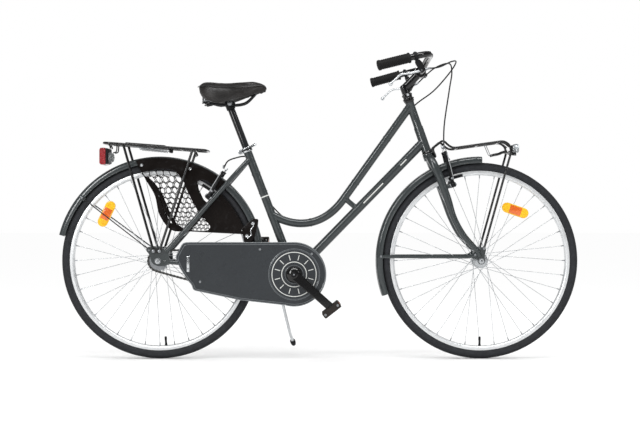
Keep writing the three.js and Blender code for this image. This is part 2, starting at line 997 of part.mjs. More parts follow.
function chainLoop() {
  const line = rearAxle.distanceTo(bracket);
  const fall = Math.atan2(bracket.z - rearAxle.z, bracket.x - rearAxle.x);
  const flare = Math.asin((ringRadius - sprocketRadius) / line);
  const degrees = THREE.MathUtils.radToDeg;
  const top = degrees(fall + flare) + 90;
  const low = degrees(fall - flare) - 90;
  const arc = (centre, radius, from, to, steps) =>
    Array.from({ length: steps + 1 }, (_, i) =>
      round(centre, radius, THREE.MathUtils.lerp(from, to, i / steps)),
    );
  const front = arc(bracket, ringRadius, top, low, 12);
  const back = arc(rearAxle, sprocketRadius, low + 360, top, 8);
  const runStart = front[front.length - 1];
  const middle = between(runStart, back[0], 0.5).add(at(0, 0, -2 * chainSag));
  const lower = new THREE.QuadraticBezierCurve3(runStart, middle, back[0]);
  return { front, back, lower, upper: new THREE.LineCurve3(back[back.length - 1], front[0]) };
}

function chain() {
  const { front, back, lower, upper } = chainLoop();
  const path = [...front, ...lower.getPoints(6).slice(1, -1), ...back];
  const bands = [1, -1].map((side) => {
    const y = -chainLine + side * (chainSlot + chainPlate / 2);
    const points = path.map((point) => point.clone().setY(y));
    return sweep(points, () => rectangle(chainPlate, chainHeight), true);
  });
  const width = chainSlot + chainPlate / 2;
  const rollers = [lower, upper].flatMap((run) =>
    Array.from({ length: chainRollers }, (_, i) =>
      moved(
        cylinder(chainRollerRadius, -chainLine - width, -chainLine + width, "y", 6),
        run.getPoint((i + 1) / (chainRollers + 1)),
      ),
    ),
  );
  return join(bands, rollers);
}

// Chaincase

const caseRoom = 22.1; // round the chainring's pitch line
const caseRadius = ringRadius + caseRoom;
const caseShort = 62; // of the rear axle
const caseReach = bracketAhead - caseShort; // back from the bottom bracket
const caseInnerY = 31;
const caseOuterY = 53.5;
const caseWall = 1.5;
const caseHole = 21;
const caseTailShares = [
  [-0.455, -0.8],
  [-0.851, -0.486],
  [-0.86, -0.333],
  [-0.899, -0.171],
  [-0.966, 0.234],
  [-1, 0.55],
  [-0.942, 0.968],
  [-0.91, 1],
];
const caseMouthShares = { x: -0.85, low: -0.29, high: 0.93 };

function chaincase() {
  const outline = [
    ...around(bracket, caseRadius, 20, -106.6, 90),
    ...caseTailShares
      .toReversed()
      .map(([x, z]) => [bracket.x + x * caseReach, bracket.z + z * caseRadius]),
  ];
  const shell = plate(outline, -caseInnerY, -caseOuterY);
  const cavity = plate(inset(outline, caseWall), -caseInnerY - caseWall, -caseOuterY + caseWall);
  const mouth = box(
    at(
      bracket.x - caseReach - overrun,
      -caseOuterY + caseWall,
      bracket.z + caseMouthShares.low * caseRadius,
    ),
    at(
      bracket.x + caseMouthShares.x * caseReach,
      -caseInnerY - caseWall,
      bracket.z + caseMouthShares.high * caseRadius,
    ),
  );
  const spindleHole = moved(
    cylinder(caseHole, -caseOuterY - overrun, -caseOuterY + overrun, "y"),
    bracket,
  );
  const stays = [chainStayBody(-1, gap), seatStayBody(-1, gap)];
  return cut(shell, cavity, mouth, spindleHole, shellRoom(), stays);
}

// Coat guards: thin panels on the sides of the rear mudguard

const panelThickness = 2;
const panelInset = 6;
const panelRadius = guardRadius - panelInset;
const panelLowInset = 28;
const panelLowRadius = tyreRadius - panelLowInset;
const panelTopAngle = 103; // round the rear axle
const panelStepAngle = 0.4; // behind the seat stay
const panelFootAngle = 17.1;
// The panel's rear edge, from the rear axle by the tyre's radius
const panelShares = [
  [0.13, 0.315],
  [0.009, 0.465],
  [-0.042, 0.669],
];
// The window round a brake arm, out behind the seat stay and up from the arm's pivot
const windowSize = 100;
const windowShares = [
  [0.841, 0.151],
  [0.684, 0.356],
  [0.057, 0.371],
  [0.02, 0.1],
  [0.029, -0.18],
  [0.239, -0.231],
  [0.513, -0.131],
  [0.75, 0],
];
const combShares = [
  [-0.135, 0.885],
  [0.21, 0.885],
  [0.25, 0.72],
  [0.375, 0.535],
  [0.465, 0.35],
  [0.2, 0.345],
  [0.075, 0.44],
  [0.015, 0.635],
];
const combPitch = 36;
const combHole = 14;
const combEdge = 6;

// How far a point lies inside an outline, or outside it where negative
function depthIn(outline, x, z) {
  let within = false;
  let nearest = Infinity;
  outline.forEach(([ax, az], i) => {
    const [bx, bz] = outline[(i + 1) % outline.length];
    if (az > z !== bz > z && x < ((bx - ax) * (z - az)) / (bz - az) + ax) {
      within = !within;
    }
    const line = new THREE.Line3(at(ax, 0, az), at(bx, 0, bz));
    const foot = line.closestPointToPoint(at(x, 0, z), true, at(0, 0, 0));
    nearest = Math.min(nearest, foot.distanceTo(at(x, 0, z)));
  });
  return within ? nearest : -nearest;
}

function combHoles(window) {
  const region = combShares.map(([x, z]) => [x * tyreRadius, z * tyreRadius]);
  const holes = [];
  const rowStep = combPitch * Math.sin(Math.PI / 3);
  const count = Math.ceil(tyreRadius / combPitch);
  for (let row = 0; row <= Math.ceil(tyreRadius / rowStep); row++) {
    for (let column = -count; column <= count; column++) {
      const x = combPitch * (column + (row % 2) / 2);
      const z = rowStep * row;
      const room = Math.min(depthIn(region, x, z), -depthIn(window, x, z));
      if (room > combHole + combEdge) {
        holes.push(around(at(x, 0, z), combHole, 6, 30, 390).slice(0, 6));
      }
    }
  }
  return holes;
}

function coatGuard(side) {
  const out = stayOut();
  const up = stayUp();
  const step = THREE.MathUtils.radToDeg(Math.atan2(up.z, up.x)) + panelStepAngle;
  const outline = [
    ...around(at(0, 0, 0), panelLowRadius, 6, panelFootAngle, step),
    ...around(at(0, 0, 0), panelRadius, 10, step, panelTopAngle),
    ...panelShares.toReversed().map(([x, z]) => [x * tyreRadius, z * tyreRadius]),
  ];
  const window = windowShares.map(([o, a]) => {
    const point = out.clone().multiplyScalar(o * windowSize);
    point.addScaledVector(up, a * windowSize + brakePivotAlong);
    return [point.x, point.z];
  });
  const inner = guardWidth / 2 + gap;
  const holes = [window, ...combHoles(window)];
  const panel = plate(outline, side * inner, side * (inner + panelThickness), holes);
  return moved(panel, rearAxle);
}

// Kickstand

const standBehind = 60; // behind the bottom bracket
const standBelow = 38;
const standPivotY = 40;
const standEarRadius = 9;
const standPinRadius = 4;
const standLegRadius = 6.5;
const standEyeHalf = 5;
const standEar = 4;
const standKneeShare = 0.767; // down the leg
const standKneeY = 57;
const standFootUp = 36.4; // of its end, while the bike stands upright
const standFootY = 150;
const standFootRadius = 9;
const standAngle = 13.5;
const standPlate = 8;
const standPlateReach = 22;

function standPivot() {
  return at(bracket.x - standBehind, standPivotY, bracket.z - standBelow);
}

function kickstandBracket() {
  const pivot = standPivot();
  const stay = between(bracket, rearAxle, (standBehind - standPlateReach) / bracketAhead);
  const top = stay.z - chainStayRadius * Math.cos(Math.PI / tubeSides) - gap;
  const plateBox = box(
    at(pivot.x - standPlateReach, -caseInnerY + overrun, top - standPlate),
    at(pivot.x + standPlateReach, standPivotY + standEyeHalf + gap + standEar, top),
  );
  const ears = [-standEyeHalf - gap - standEar, standEyeHalf + gap].map((y) =>
    join(
      box(
        at(pivot.x - standEarRadius, standPivotY + y, pivot.z),
        at(pivot.x + standEarRadius, standPivotY + y + standEar, top - standPlate / 2),
      ),
      moved(cylinder(standEarRadius, y, y + standEar), pivot),
    ),
  );
  const pinHalf = standEyeHalf + gap + standEar / 2;
  const pin = moved(cylinder(standPinRadius, -pinHalf, pinHalf), pivot);
  return join(plateBox, ears, pin);
}

function kickstand() {
  const down = at(Math.sin(rad(standAngle)), 0, -Math.cos(rad(standAngle)));
  const leg = (along, y) => down.clone().multiplyScalar(along).setY(y - standPivotY);
  const length = (standPivot().z - standFootUp) / Math.cos(rad(standAngle));
  const kneeAt = length * standKneeShare;
  const eye = cylinder(standEarRadius - running, -standEyeHalf, standEyeHalf);
  const knee = leg(kneeAt, standKneeY);
  const foot = leg(length, standFootY);
  const root = standEarRadius * 1.2;
  const narrow = standEyeHalf - gap;
  const slope = (standKneeY - standPivotY) / kneeAt;
  const path = [
    leg(0, standPivotY),
    leg(root, standPivotY + root * slope),
    ...rounded([leg(root * 2, standPivotY + root * 2 * slope), knee, foot], standLegRadius * 3),
  ];
  const radii = path.map((_, i) => (i < 2 ? narrow : standLegRadius));
  const shoe = rod([between(knee, foot, 0.72), foot], standFootRadius, tubeSides);
  const bore = cylinder(standPinRadius + running, -standEyeHalf - overrun, standEyeHalf + overrun);
  const sole = box(
    at(foot.x - length, foot.y - length, foot.z - length),
    at(foot.x + length, foot.y + length, foot.z - standFootRadius * 0.4),
  );
  return cut(join(eye, rod(path, radii, tubeSides), shoe), bore, sole);
}

// Rear rack

const rackBehind = 193; // the rear axle
const rackAhead = 170;
const rackRearRise = 47; // above the mudguard's top
const rackFrontRise = 20;
const rackRear = at(-rackBehind, 0, guardRadius + rackRearRise); // from the rear axle
const rackFront = at(rackAhead, 0, guardRadius + rackFrontRise);
const rackHalfWidth = 62;
const rackRodRadius = 4.5;
const rackInnerRadius = 3.5;
const rackInnerY = 16;
const rackCrossShares = [0.05, 0.876];
const rackRearLegShare = 0.197;
const rackFrontLegShare = 0.868;
const rackFootX = 15; // the legs' feet, either side of the middle
const rackFootZ = 36;
const rackFootMiddle = -4;
const rackFootHeight = 14;
const rackFootThickness = 8;
const rackTabWidth = 24;
const rackTabThickness = 3;

const clipShare = 0.64; // hinge, along the rack from its rear
const clipDrop = 11;
const clipRadius = 2;
const clipLug = 3;
const clipLugRadius = 5;
const clipHalfWidth = 34;
const clipRise = 17.5; // hinge to flap
const clipLength = 150;
const clipFlapHalf = 2;

function onRack(share, y = 0, drop = 0) {
  return between(rackRear, rackFront, share)
    .add(rearAxle)
    .add(at(0, y, -drop));
}

function clipHinge() {
  return onRack(clipShare, 0, clipDrop);
}

function rearRack() {
  const corners = [
    onRack(0, rackHalfWidth),
    onRack(0, -rackHalfWidth),
    onRack(1, -rackHalfWidth),
    onRack(1, rackHalfWidth),
  ];
  const bend = rackHalfWidth / 2;
  const loop = sweep(
    rounded(corners, bend, true),
    () => circle(rackRodRadius, rodSides),
    true,
    at(0, 0, 1),
  );
  const cross = rackCrossShares.map((share) =>
    rod([onRack(share, -rackHalfWidth), onRack(share, rackHalfWidth)], rackRodRadius),
  );
  const inner = [1, -1].map((side) =>
    rod(
      rackCrossShares.map((share) => onRack(share, side * rackInnerY)),
      rackInnerRadius,
    ),
  );
  const footY = dropoutY + dropoutThickness / 2 + gap;
  const legs = [1, -1].flatMap((side) => {
    const foot = (x) =>
      at(
        rearAxle.x + rackFootMiddle + x,
        side * (footY + rackRodRadius + gap),
        rearAxle.z + rackFootZ,
      );
    const low = at(
      rearAxle.x + rackFootMiddle - rackFootX,
      side > 0 ? footY : -footY - rackFootThickness,
      rearAxle.z + rackFootZ - rackFootHeight / 2,
    );
    const high = low.clone().add(at(rackFootX * 2, rackFootThickness, rackFootHeight));
    return [
      box(low, high),
      rod([foot(-rackFootX + rackRodRadius), onRack(rackRearLegShare, side * rackHalfWidth)], rackRodRadius),
      rod([foot(rackFootX - rackRodRadius), onRack(rackFrontLegShare, side * rackHalfWidth)], rackRodRadius),
    ];
  });
  const lugs = [1, -1].map((side) => {
    const y = side * rackInnerY - clipLug / 2;
    const hinge = clipHinge();
    return join(
      moved(cylinder(clipLugRadius, y, y + clipLug, "y", 8), hinge),
      box(
        hinge.clone().add(at(-clipLugRadius / 2, y, 0)),
        hinge.clone().add(at(clipLugRadius / 2, y + clipLug, clipDrop)),
      ),
    );
  });
  const holes = moved(
    cylinder(clipRadius + running, -rackHalfWidth / 2, rackHalfWidth / 2, "y", 8),
    clipHinge(),
  );
  const tabTop = onRack(rackCrossShares[1]);
  const tabAhead = tabTop.x - rearAxle.x;
  const tabFoot = Math.sqrt(guardRadius ** 2 - tabAhead ** 2) + rearAxle.z;
  const tab = box(
    at(tabTop.x - rackTabThickness / 2, -rackTabWidth / 2, tabFoot + overrun * 2),
    at(tabTop.x + rackTabThickness / 2, rackTabWidth / 2, tabTop.z),
  );
  const hanger = box(
    at(rearAxle.x + lampFront - lampHanger - gap, -lampHalfWidth / 2, rearAxle.z + lampTop + gap),
    at(rearAxle.x + lampFront - gap, lampHalfWidth / 2, onRack(0).z - rackRodRadius / 2),
  );
  return cut(join(loop, cross, inner, legs, lugs, tab, hanger), holes);
}

const lampAhead = 28; // of the rack's rear
const lampLength = 41;
const lampBelow = 19;
const lampHeight = 55;
const lampFront = rackRear.x + lampAhead;
const lampRear = lampFront - lampLength;
const lampTop = rackRear.z - lampBelow;
const lampLow = lampTop - lampHeight;
const lampHalfWidth = 45;
const lampHanger = 16;
const lampBevel = 8;

function tailLamp() {
  const outline = [
    [lampRear, lampLow + lampBevel],
    [lampRear + lampBevel, lampLow],
    [lampFront, lampLow + lampBevel],
    [lampFront, lampTop],
    [lampRear + lampBevel, lampTop],
    [lampRear, lampTop - lampBevel],
  ];
  return moved(plate(outline, -lampHalfWidth, lampHalfWidth), rearAxle);
}

// The rack's spring clip, about its hinge
function rackClip() {
  const path = (side) => [
    at(0, side * clipHalfWidth, 0),
    at(-clipRise, side * clipHalfWidth, clipRise),
    at(-clipLength, side * clipHalfWidth, clipRise),
  ];
  const loop = rounded(
    [...path(-1), ...path(1).toReversed()].flatMap((point) => [point]),
    clipRise / 3,
  );
  const pin = cylinder(clipRadius, -clipHalfWidth, clipHalfWidth, "y", 8);
  const grip = box(
    at(-clipLength - clipRise / 2, -clipHalfWidth, clipRise - clipFlapHalf),
    at(-clipLength + clipRise / 2, clipHalfWidth, clipRise + clipFlapHalf),
  );
  return join(rod(loop, clipRadius), pin, grip);
}

// Seat clamp, seatpost and saddle, along the seat tube

const seatLine = new THREE.Group();
seatLine.position.copy(bracket);
seatLine.rotation.y = rad(seatAngle - 90);
bike.add(seatLine);

const collarRadius = 19;
const collarBelow = 11; // the seat tube's top
const collarAbove = 7;
const collarStart = seatTubeLength - collarBelow;
const collarEnd = seatTubeLength + collarAbove;
const earInner = 2;
const earOuter = 9;
const earBehind = 25; // its bolt behind the seat tube's middle
const earReach = 7;
const clampBoltRadius = 3;
const clampEyeRadius = 8;
const clampEyeEnd = 18;

function clampPivot() {
  return at(-earBehind, 0, (collarStart + collarEnd) / 2);
}

function seatClamp() {
  const bore = seatTubeRadius + gap * 3;
  const tubeTop = seatTubeLength + gap;
  const collar = ring(
    [
      [bore, collarStart],
      [collarRadius, collarStart],
      [collarRadius, collarEnd],
      [postBore, collarEnd],
      [postBore, tubeTop],
      [bore, tubeTop],
    ],
    "z",
    roundSides,
  );
  const ears = [-earOuter, earInner].map((y) =>
    box(
      at(-earBehind - earReach, y, collarStart + overrun),
      at(-seatTubeRadius - overrun / 2, y + earOuter - earInner, collarEnd - overrun),
    ),
  );
  const bolt = moved(
    cylinder(clampBoltRadius, -earOuter - overrun, clampEyeEnd, "y", 8),
    clampPivot(),
  );
  return join(collar, ears, bolt);
}

const clampLeverShares = [
  [0, 0.22, 0],
  [0.12, 0.36, 0.01],
  [0.3, 0.42, 0.03],
  [0.64, 0.43, 0.08],
  [1, 0.34, 0.14],
];
const clampLeverLength = 58;
const clampLeverHeight = 8;
const clampLeverThickness = 4;

// About the clamp's bolt
function seatClampLever() {
  const path = clampLeverShares.map(([x, y, z]) => at(x, y, z).multiplyScalar(clampLeverLength));
  const blade = sweep(
    path,
    (i) => rectangle(clampLeverThickness, clampLeverHeight * (i === 3 ? 1.3 : 1)),
    false,
    at(0, 1, 0),
  );
  const eye = cylinder(clampEyeRadius, earOuter + gap, clampEyeEnd - gap * 3, "y", 10);
  const bore = cylinder(clampBoltRadius + running, earOuter - overrun, clampEyeEnd + overrun, "y", 8);
  return cut(join(blade, eye), bore);
}

const postInsert = 113;
const postRise = 163; // above the seat tube
const postStart = seatTubeLength - postInsert;
const postEnd = seatTubeLength + postRise;
const postNeck = 9;
const postNeckHeight = 16;

function seatpost() {
  return turned(
    [
      [0, postStart],
      [postRadius, postStart],
      [postRadius, postEnd - postNeckHeight],
      [postNeck, postEnd],
      [0, postEnd],
    ],
    "z",
    roundSides,
  );
}

const saddleBehind = 114.8; // its rear behind the seatpost's top
const saddleAbove = 82.2;
const saddleRear = onSeatTube(postEnd).x - saddleBehind;
const saddleTop = onSeatTube(postEnd).z + saddleAbove;
const saddleLength = 251;
const saddleHalfWidth = 97.5;
const saddleDepth = 85;
// Along its length, half width, top and underside
const saddleShares = [
  [0, 0.3, -0.165, -0.54],
  [0.03, 0.62, -0.035, -0.635],
  [0.09, 0.85, 0, -0.776],
  [0.19, 0.98, -0.012, -0.93],
  [0.3, 1, -0.035, -1],
  [0.42, 0.93, -0.047, -0.94],
  [0.55, 0.7, -0.041, -0.788],
  [0.7, 0.44, -0.012, -0.612],
  [0.85, 0.3, 0.035, -0.482],
  [0.95, 0.25, 0.053, -0.424],
  [1, 0.14, 0.012, -0.353],
];
// Half of a section, from the underside's middle round to the top's: across and up
const saddleSectionShares = [
  [0, 0.38],
  [0.55, 0.36],
  [0.8, 0.02],
  [0.9, 0],
  [0.97, 0.15],
  [1, 0.42],
  [0.97, 0.68],
  [0.86, 0.86],
  [0.62, 0.96],
  [0.3, 1],
  [0, 0.985],
];

function saddleCushion() {
  const stations = saddleShares.map(([along, width, top, low]) => {
    const half = saddleSectionShares.map(([y, z]) => [
      y * width * saddleHalfWidth,
      THREE.MathUtils.lerp(low, top, z) * saddleDepth,
    ]);
    const other = half.slice(1, -1).map(([y, z]) => [-y, z]);
    return {
      centre: at(saddleRear + along * saddleLength, 0, saddleTop),
      u: at(0, 1, 0),
      v: at(0, 0, 1),
      section: [...half, ...other.toReversed()],
    };
  });
  return loft(stations);
}

const railRadius = 3.5;
const railY = 22;
// Along the saddle, across by the rails' distance, and down from its top
const railShares = [
  [0.09, 1, -0.3],
  [0.12, 1, -0.75],
  [0.19, 1, -0.85],
  [0.65, 1, -0.87],
  [0.79, 0.68, -0.54],
  [0.88, 0.4, -0.2],
];
const clampBlockLength = 34;
const clampBlockHeight = 16;

function rail(side, radius) {
  const path = railShares.map(([along, across, down]) =>
    at(saddleRear + along * saddleLength, side * across * railY, saddleTop + down * saddleDepth),
  );
  return rod(path, radius, rodSides);
}

function saddleCover() {
  const room = [1, -1].map((side) => rail(side, railRadius + gap));
  return cut(saddleCushion(), room);
}

function saddleFrame() {
  const top = onSeatTube(postEnd + gap * 2);
  const half = clampBlockLength / 2;
  const block = box(
    at(top.x - half, -railY - railRadius, top.z + overrun),
    at(top.x + half, railY + railRadius, top.z + clampBlockHeight),
  );
  const cup = rod(
    [
      onSeatTube(postEnd - postNeckHeight * 0.6),
      onSeatTube(postEnd + clampBlockHeight / 2),
    ],
    postRadius + overrun,
    roundSides,
  );
  const neck = rod(
    [
      onSeatTube(postEnd - postNeckHeight - overrun),
      onSeatTube(postEnd - postNeckHeight),
      onSeatTube(postEnd + gap),
    ],
    [postRadius + gap, postRadius + gap, postNeck + gap * 2],
    roundSides,
  );
  return cut(join(rail(1, railRadius), rail(-1, railRadius), block, cup), neck);
}

// Fork, in the steering line's own axes

// Ahead by the rake, to the side by the blade's distance, and along by its length
const bladeShares = [
  [0, 0.185, 0.962],
  [0.043, 0.48, 0.948],
  [0.086, 0.74, 0.9],
  [0.146, 0.87, 0.833],
  [0.18, 0.925, 0.767],
  [0.183, 0.963, 0.579],
  [0.163, 1, 0.417],
  [0.386, 1.02, 0.255],
  [0.969, 1.02, 0.085],
  [1, 1, 0.04],
];
const bladeRadius = 14.5;
const bladeRadiusShares = [0.9, 0.97, 1, 1, 1, 0.93, 0.76, 0.76, 0.62, 0.59];
const bladeY = 54;
const bladeLength = headTubeStart; // from level with the axle
const crownRadius = 19;
const crownHeight = 25;
const crownStart = headTubeStart - crownHeight;
const steererRise = 20; // above the head tube
const steererTop = headTubeEnd + steererRise;
const quillRadius = 11;
const quillDepth = 80;
const frontBrakeOut = 45; // ahead of the steering axis
const forkPlate = 4;
const forkPlateY = 50;
const forkPlateSize = 12;
const forkPlateShares = [
  [-1, -0.6],
  [0, -1.1],
  [1, -0.6],
  [1.2, 0.8],
  [2.5, 2.9],
  [1.9, 3.8],
  [0.9, 3.4],
  [-0.8, 3.4],
  [-1.2, 2.9],
  [-2.4, 2.7],
  [-2.4, 1.7],
  [-1, 1],
];
const frontAxleRadius = 4.6;

function fork() {
  const blades = [1, -1].map((side) => {
    const path = bladeShares.map(([ahead, y, along]) =>
      at(ahead * rake, side * y * bladeY, along * bladeLength),
    );
    return rod(
      path,
      bladeRadiusShares.map((share) => share * bladeRadius),
      tubeSides,
    );
  });
  const hole = around(at(rake, 0, 0), frontAxleRadius + gap, roundSides).slice(0, roundSides);
  const outline = forkPlateShares.map(([x, z]) => [rake + x * forkPlateSize, z * forkPlateSize]);
  const plates = [forkPlateY, -forkPlateY - forkPlate].map((y) =>
    plate(outline, y, y + forkPlate, [hole]),
  );
  const posts = [1, -1].map((side) =>
    brakePost(
      at(crownRadius - brakeCollarRadius, side * brakePivotY, brakePivotAlong),
      at(frontBrakeOut, side * brakePivotY, brakePivotAlong),
      brakeEyeHalf,
      at(1, 0, 0),
    ),
  );
  const crown = cylinder(crownRadius, crownStart, headTubeStart - running, "z");
  const steerer = cylinder(steererRadius, crownStart, steererTop, "z");
  const bore = cylinder(quillRadius + gap, steererTop - quillDepth - overrun, steererTop + overrun, "z");
  return cut(join(blades, plates, posts, crown, steerer), bore);
}

const headsetTopRise = 25; // above the head tube
const headsetBendRise = 14;
const headsetTop = headTubeEnd + headsetTopRise;
const headsetBend = headTubeEnd + headsetBendRise;

function headsetNut() {
  const start = headTubeEnd + running;
  return ring(
    [
      [steererRadius + gap, start],
      [headCupRadius - running, start],
      [headCupRadius - running, headsetBend],
      [steererRadius + overrun, headsetTop],
      [quillRadius + gap, headsetTop],
      [quillRadius + gap, steererTop + gap],
      [steererRadius + gap, steererTop + gap],
    ],
    "z",
    roundSides,
  );
}

const stemRadius = 14.5;
const stemCollar = 15.5;
const stemElbowRise = 45; // above the head tube
const stemTopRise = 57;
const clampRise = 79.3;
const stemElbow = headTubeEnd + stemElbowRise;
const stemTop = headTubeEnd + stemTopRise;
const clampAhead = 70.3;
const clampAlong = headTubeEnd + clampRise;
const clampRadius = 20;
const clampLength = 42;
const barRadius = 11.1;
const barRoom = barRadius + gap * 2;

function stem() {
  const clampAt = at(clampAhead, 0, clampAlong);
  const half = clampLength / 2;
  const quill = cylinder(quillRadius, steererTop - quillDepth, stemElbow, "z");
  const collar = cylinder(stemCollar, headsetTop + gap, stemTop, "z");
  const extension = rod([at(0, 0, stemElbow), clampAt], stemRadius, roundSides);
  const clamp = moved(cylinder(clampRadius, -half, half, "y"), clampAt);
  const bore = moved(cylinder(barRoom, -half - overrun, half + overrun, "y"), clampAt);
  return cut(join(quill, collar, extension, clamp), bore);
}

// Handlebar and what it carries, about the middle of the stem's clamp

const cockpit = new THREE.Group();
cockpit.position.set(clampAhead, 0, clampAlong);
cockpit.rotation.y = -steering.rotation.y;
steering.add(cockpit);

const barHalfWidth = 285;
const gripLength = 143.1; // from the hand's origin to the grip's end
const barShares = [
  [0, 0.09, 0],
  [0.008, 0.16, 0.004],
  [0.028, 0.281, 0.049],
  [0.056, 0.491, 0.112],
  [0.063, 0.702, 0.13],
  [0.021, 0.86, 0.123],
  [-0.091, 0.93, 0.098],
  [-0.572, 1, -0.028],
];

function barPoints() {
  return barShares.map(([x, y, z]) => at(x, y, z).multiplyScalar(barHalfWidth));
}

// From the grip's start towards its end, on the left
function gripDirection() {
  const points = barPoints();
  return points[7].clone().sub(points[6]).normalize();
}

const gripCap = 3;

function handlebar() {
  const points = barPoints();
  const end = points[6].clone().addScaledVector(gripDirection(), gripLength - gripCap - gap);
  const curve = new THREE.CatmullRomCurve3(points);
  const steps = 10;
  const bend = Array.from({ length: steps + 1 }, (_, i) => curve.getPoint(((i / steps) * 6) / 7));
  const half = [...bend, end];
  const other = half.map((point) => at(point.x, -point.y, point.z));
  return rod([...other.toReversed(), ...half], barRadius, roundSides);
}

// A hand's own axes: x forward along the grip, z up
function hand(side) {
  const group = new THREE.Group();
  const place = barPoints()[6];
  const x = gripDirection().multiplyScalar(-1);
  x.y *= side;
  const z = at(0, 0, 1).addScaledVector(x, -x.z).normalize();
  const y = z.clone().cross(x);
  group.position.set(place.x, side * place.y, place.z);
  group.quaternion.setFromRotationMatrix(new THREE.Matrix4().makeBasis(x, y, z));
  cockpit.add(group);
  return group;
}

const gripStart = 30;
const gripRadius = 16;
const gripLip = 2;
const gripLipLength = 5;

function grip() {
  const bore = barRoom;
  const face = -gripLength + gripCap;
  return turned(
    [
      [0, face],
      [bore, face],
      [bore, -gripStart],
      [gripRadius + gripLip, -gripStart],
      [gripRadius + gripLip, -gripStart - gripLipLength],
      [gripRadius, -gripStart - gripLipLength * 2],
      [gripRadius + gripLip / 2, -gripLength / 2],
      [gripRadius, -gripLength + gripLipLength],
      [gripRadius - gripLip, -gripLength],
      [0, -gripLength],
    ],
    "x",
    roundSides,
  );
}

const leverDrop = 50; // pivot below the bar
const leverBack = 3;
const leverHalf = 5;
const leverEyeRadius = 6.5;
const leverPinRadius = 2.5;
const bracketBack = 15;
const bracketFront = 4;
const bracketHalf = 8.5;
const bracketShares = [
  [-0.29, -0.2],
  [-0.08, -0.2],
  [0.1, -0.5],
  [0.16, -0.86],
  [0.12, -1.08],
  [-0.02, -1.16],
  [-0.17, -1.1],
  [-0.22, -0.7],
  [-0.29, -0.5],
];
const leverSlotTop = 36;
const adjusterRadius = 4;
const adjusterBack = 5.5; // from the bar's clamp on to the web that carries the adjuster
const adjusterWeb = 5;
const adjusterLength = 15;

function leverPivot() {
  return at(-leverBack, 0, -leverDrop);
}

function leverBracket() {
  const band = cylinder(barRadius + gap * 10, -bracketBack, -bracketFront, "x");
  const outline = bracketShares.map(([x, z]) => [x * leverDrop, z * leverDrop]);
  const body = plate(outline, -bracketHalf, bracketHalf);
  const bore = cylinder(barRoom, -bracketBack - overrun, -bracketFront + overrun, "x");
  const slot = box(
    at(-leverDrop, -leverHalf - gap, -leverDrop * 2),
    at(leverDrop, leverHalf + gap, -leverSlotTop),
  );
  const pin = moved(
    cylinder(leverPinRadius, -bracketHalf + overrun / 2, bracketHalf - overrun / 2, "y", 8),
    leverPivot(),
  );
  const web = box(
    at(adjusterBack, -bracketHalf, -leverDrop - adjusterRadius),
    at(adjusterBack + adjusterWeb, bracketHalf, -leverDrop + adjusterRadius * 2),
  );
  const adjuster = moved(
    cylinder(adjusterRadius, adjusterBack + overrun / 2, adjusterBack + adjusterLength, "x", 8),
    at(0, 0, -leverDrop),
  );
  return join(cut(join(band, body), bore, slot), pin, web, adjuster);
}

// Along the blade, from its pivot: back, and up or down
const leverShares = [
  [0, 0],
  [-0.36, 0],
  [-0.625, 0.027],
  [-0.83, -0.088],
  [-1, -0.21],
];
const leverRadius = 5.2;
const leverRadiusShares = [1, 0.88, 0.81, 0.81, 0.81];
const leverReach = 112.7;
const leverBall = 7;

// About its pivot
function brakeLever() {
  const path = leverShares.map(([x, z]) => at(x * leverReach, 0, z * leverReach));
  const radii = leverRadiusShares.map((share) => share * leverRadius);
  const blade = rod(path, radii, 8);
  const eye = cylinder(leverEyeRadius, -leverHalf, leverHalf, "y", 10);
  const ball = new THREE.SphereGeometry(leverBall, 8, 6);
  const bore = cylinder(leverPinRadius + running, -leverHalf - overrun, leverHalf + overrun, "y", 8);
  return cut(join(blade, eye, moved(ball, path[path.length - 1])), bore);
}

// Brake arms: x out along the pivot, z up; the wheel's middle lies below

const padInnerY = 14.7;
const padThickness = 9;
const padHeight = 9;
const padEdge = 5.5; // below the rim's edge
const padBefore = 5;
const padAfter = 45;
const armTopY = 40;
const armRadius = 7;
const armRadiusShares = [1, 0.857, 0.714];
const studRadius = 4;

function brakeArm(side, eyeOut, middleOut, tip) {
  const tipOut = tip.out;
  const tipUp = guardRadius + tip.rise - brakePivotAlong;
  const y = side * brakePivotY;
  const eye = moved(
    cylinder(brakeCollarRadius + gap * 5, eyeOut - brakeEyeHalf, eyeOut + brakeEyeHalf, "x", roundSides),
    at(0, y, 0),
  );
  const path = [
    at(eyeOut, y, 0),
    at(eyeOut + tipOut * 0.5, side * (brakePivotY + overrun / 3), tipUp * 0.55),
    at(eyeOut + tipOut, side * armTopY, tipUp),
  ];
  const radii = armRadiusShares.map((share) => share * armRadius);
  const arm = rod(path, radii, 8);
  const anchor = moved(
    cylinder(radii[1], eyeOut + tipOut - radii[1], eyeOut + tipOut + radii[1], "x", 8),
    at(0, path[2].y, tipUp),
  );
  const middle = at(middleOut, 0, -brakePivotAlong);
  const radius = rimRadius - padEdge;
  const angle = (out) => 90 - THREE.MathUtils.radToDeg(Math.asin((out - middleOut) / radius));
  const from = angle(eyeOut + padAfter);
  const to = angle(eyeOut - padBefore);
  const outline = [
    ...around(middle, radius, 3, from, to),
    ...around(middle, radius - padHeight, 3, to, from),
  ];
  const pad = plate(outline, side * padInnerY, side * (padInnerY + padThickness));
  const studUp = radius - padHeight / 2 - brakePivotAlong;
  const studFrom = padInnerY + padThickness / 2;
  const stud = moved(
    cylinder(studRadius, side > 0 ? studFrom : -brakePivotY, side > 0 ? brakePivotY : -studFrom, "y", 8),
    at(eyeOut + studRadius, 0, studUp),
  );
  const bore = moved(
    cylinder(brakePinRadius + running, eyeOut - brakeEyeHalf - overrun, eyeOut + brakeEyeHalf + overrun, "x", roundSides),
    at(0, y, 0),
  );
  return cut(join(eye, arm, anchor, pad, stud), bore);
}

// The arms' tips, out along the pivot and above the mudguard's top
const frontTip = { out: 11, rise: 33 };
const rearTip = { out: 17.5, rise: 14 };

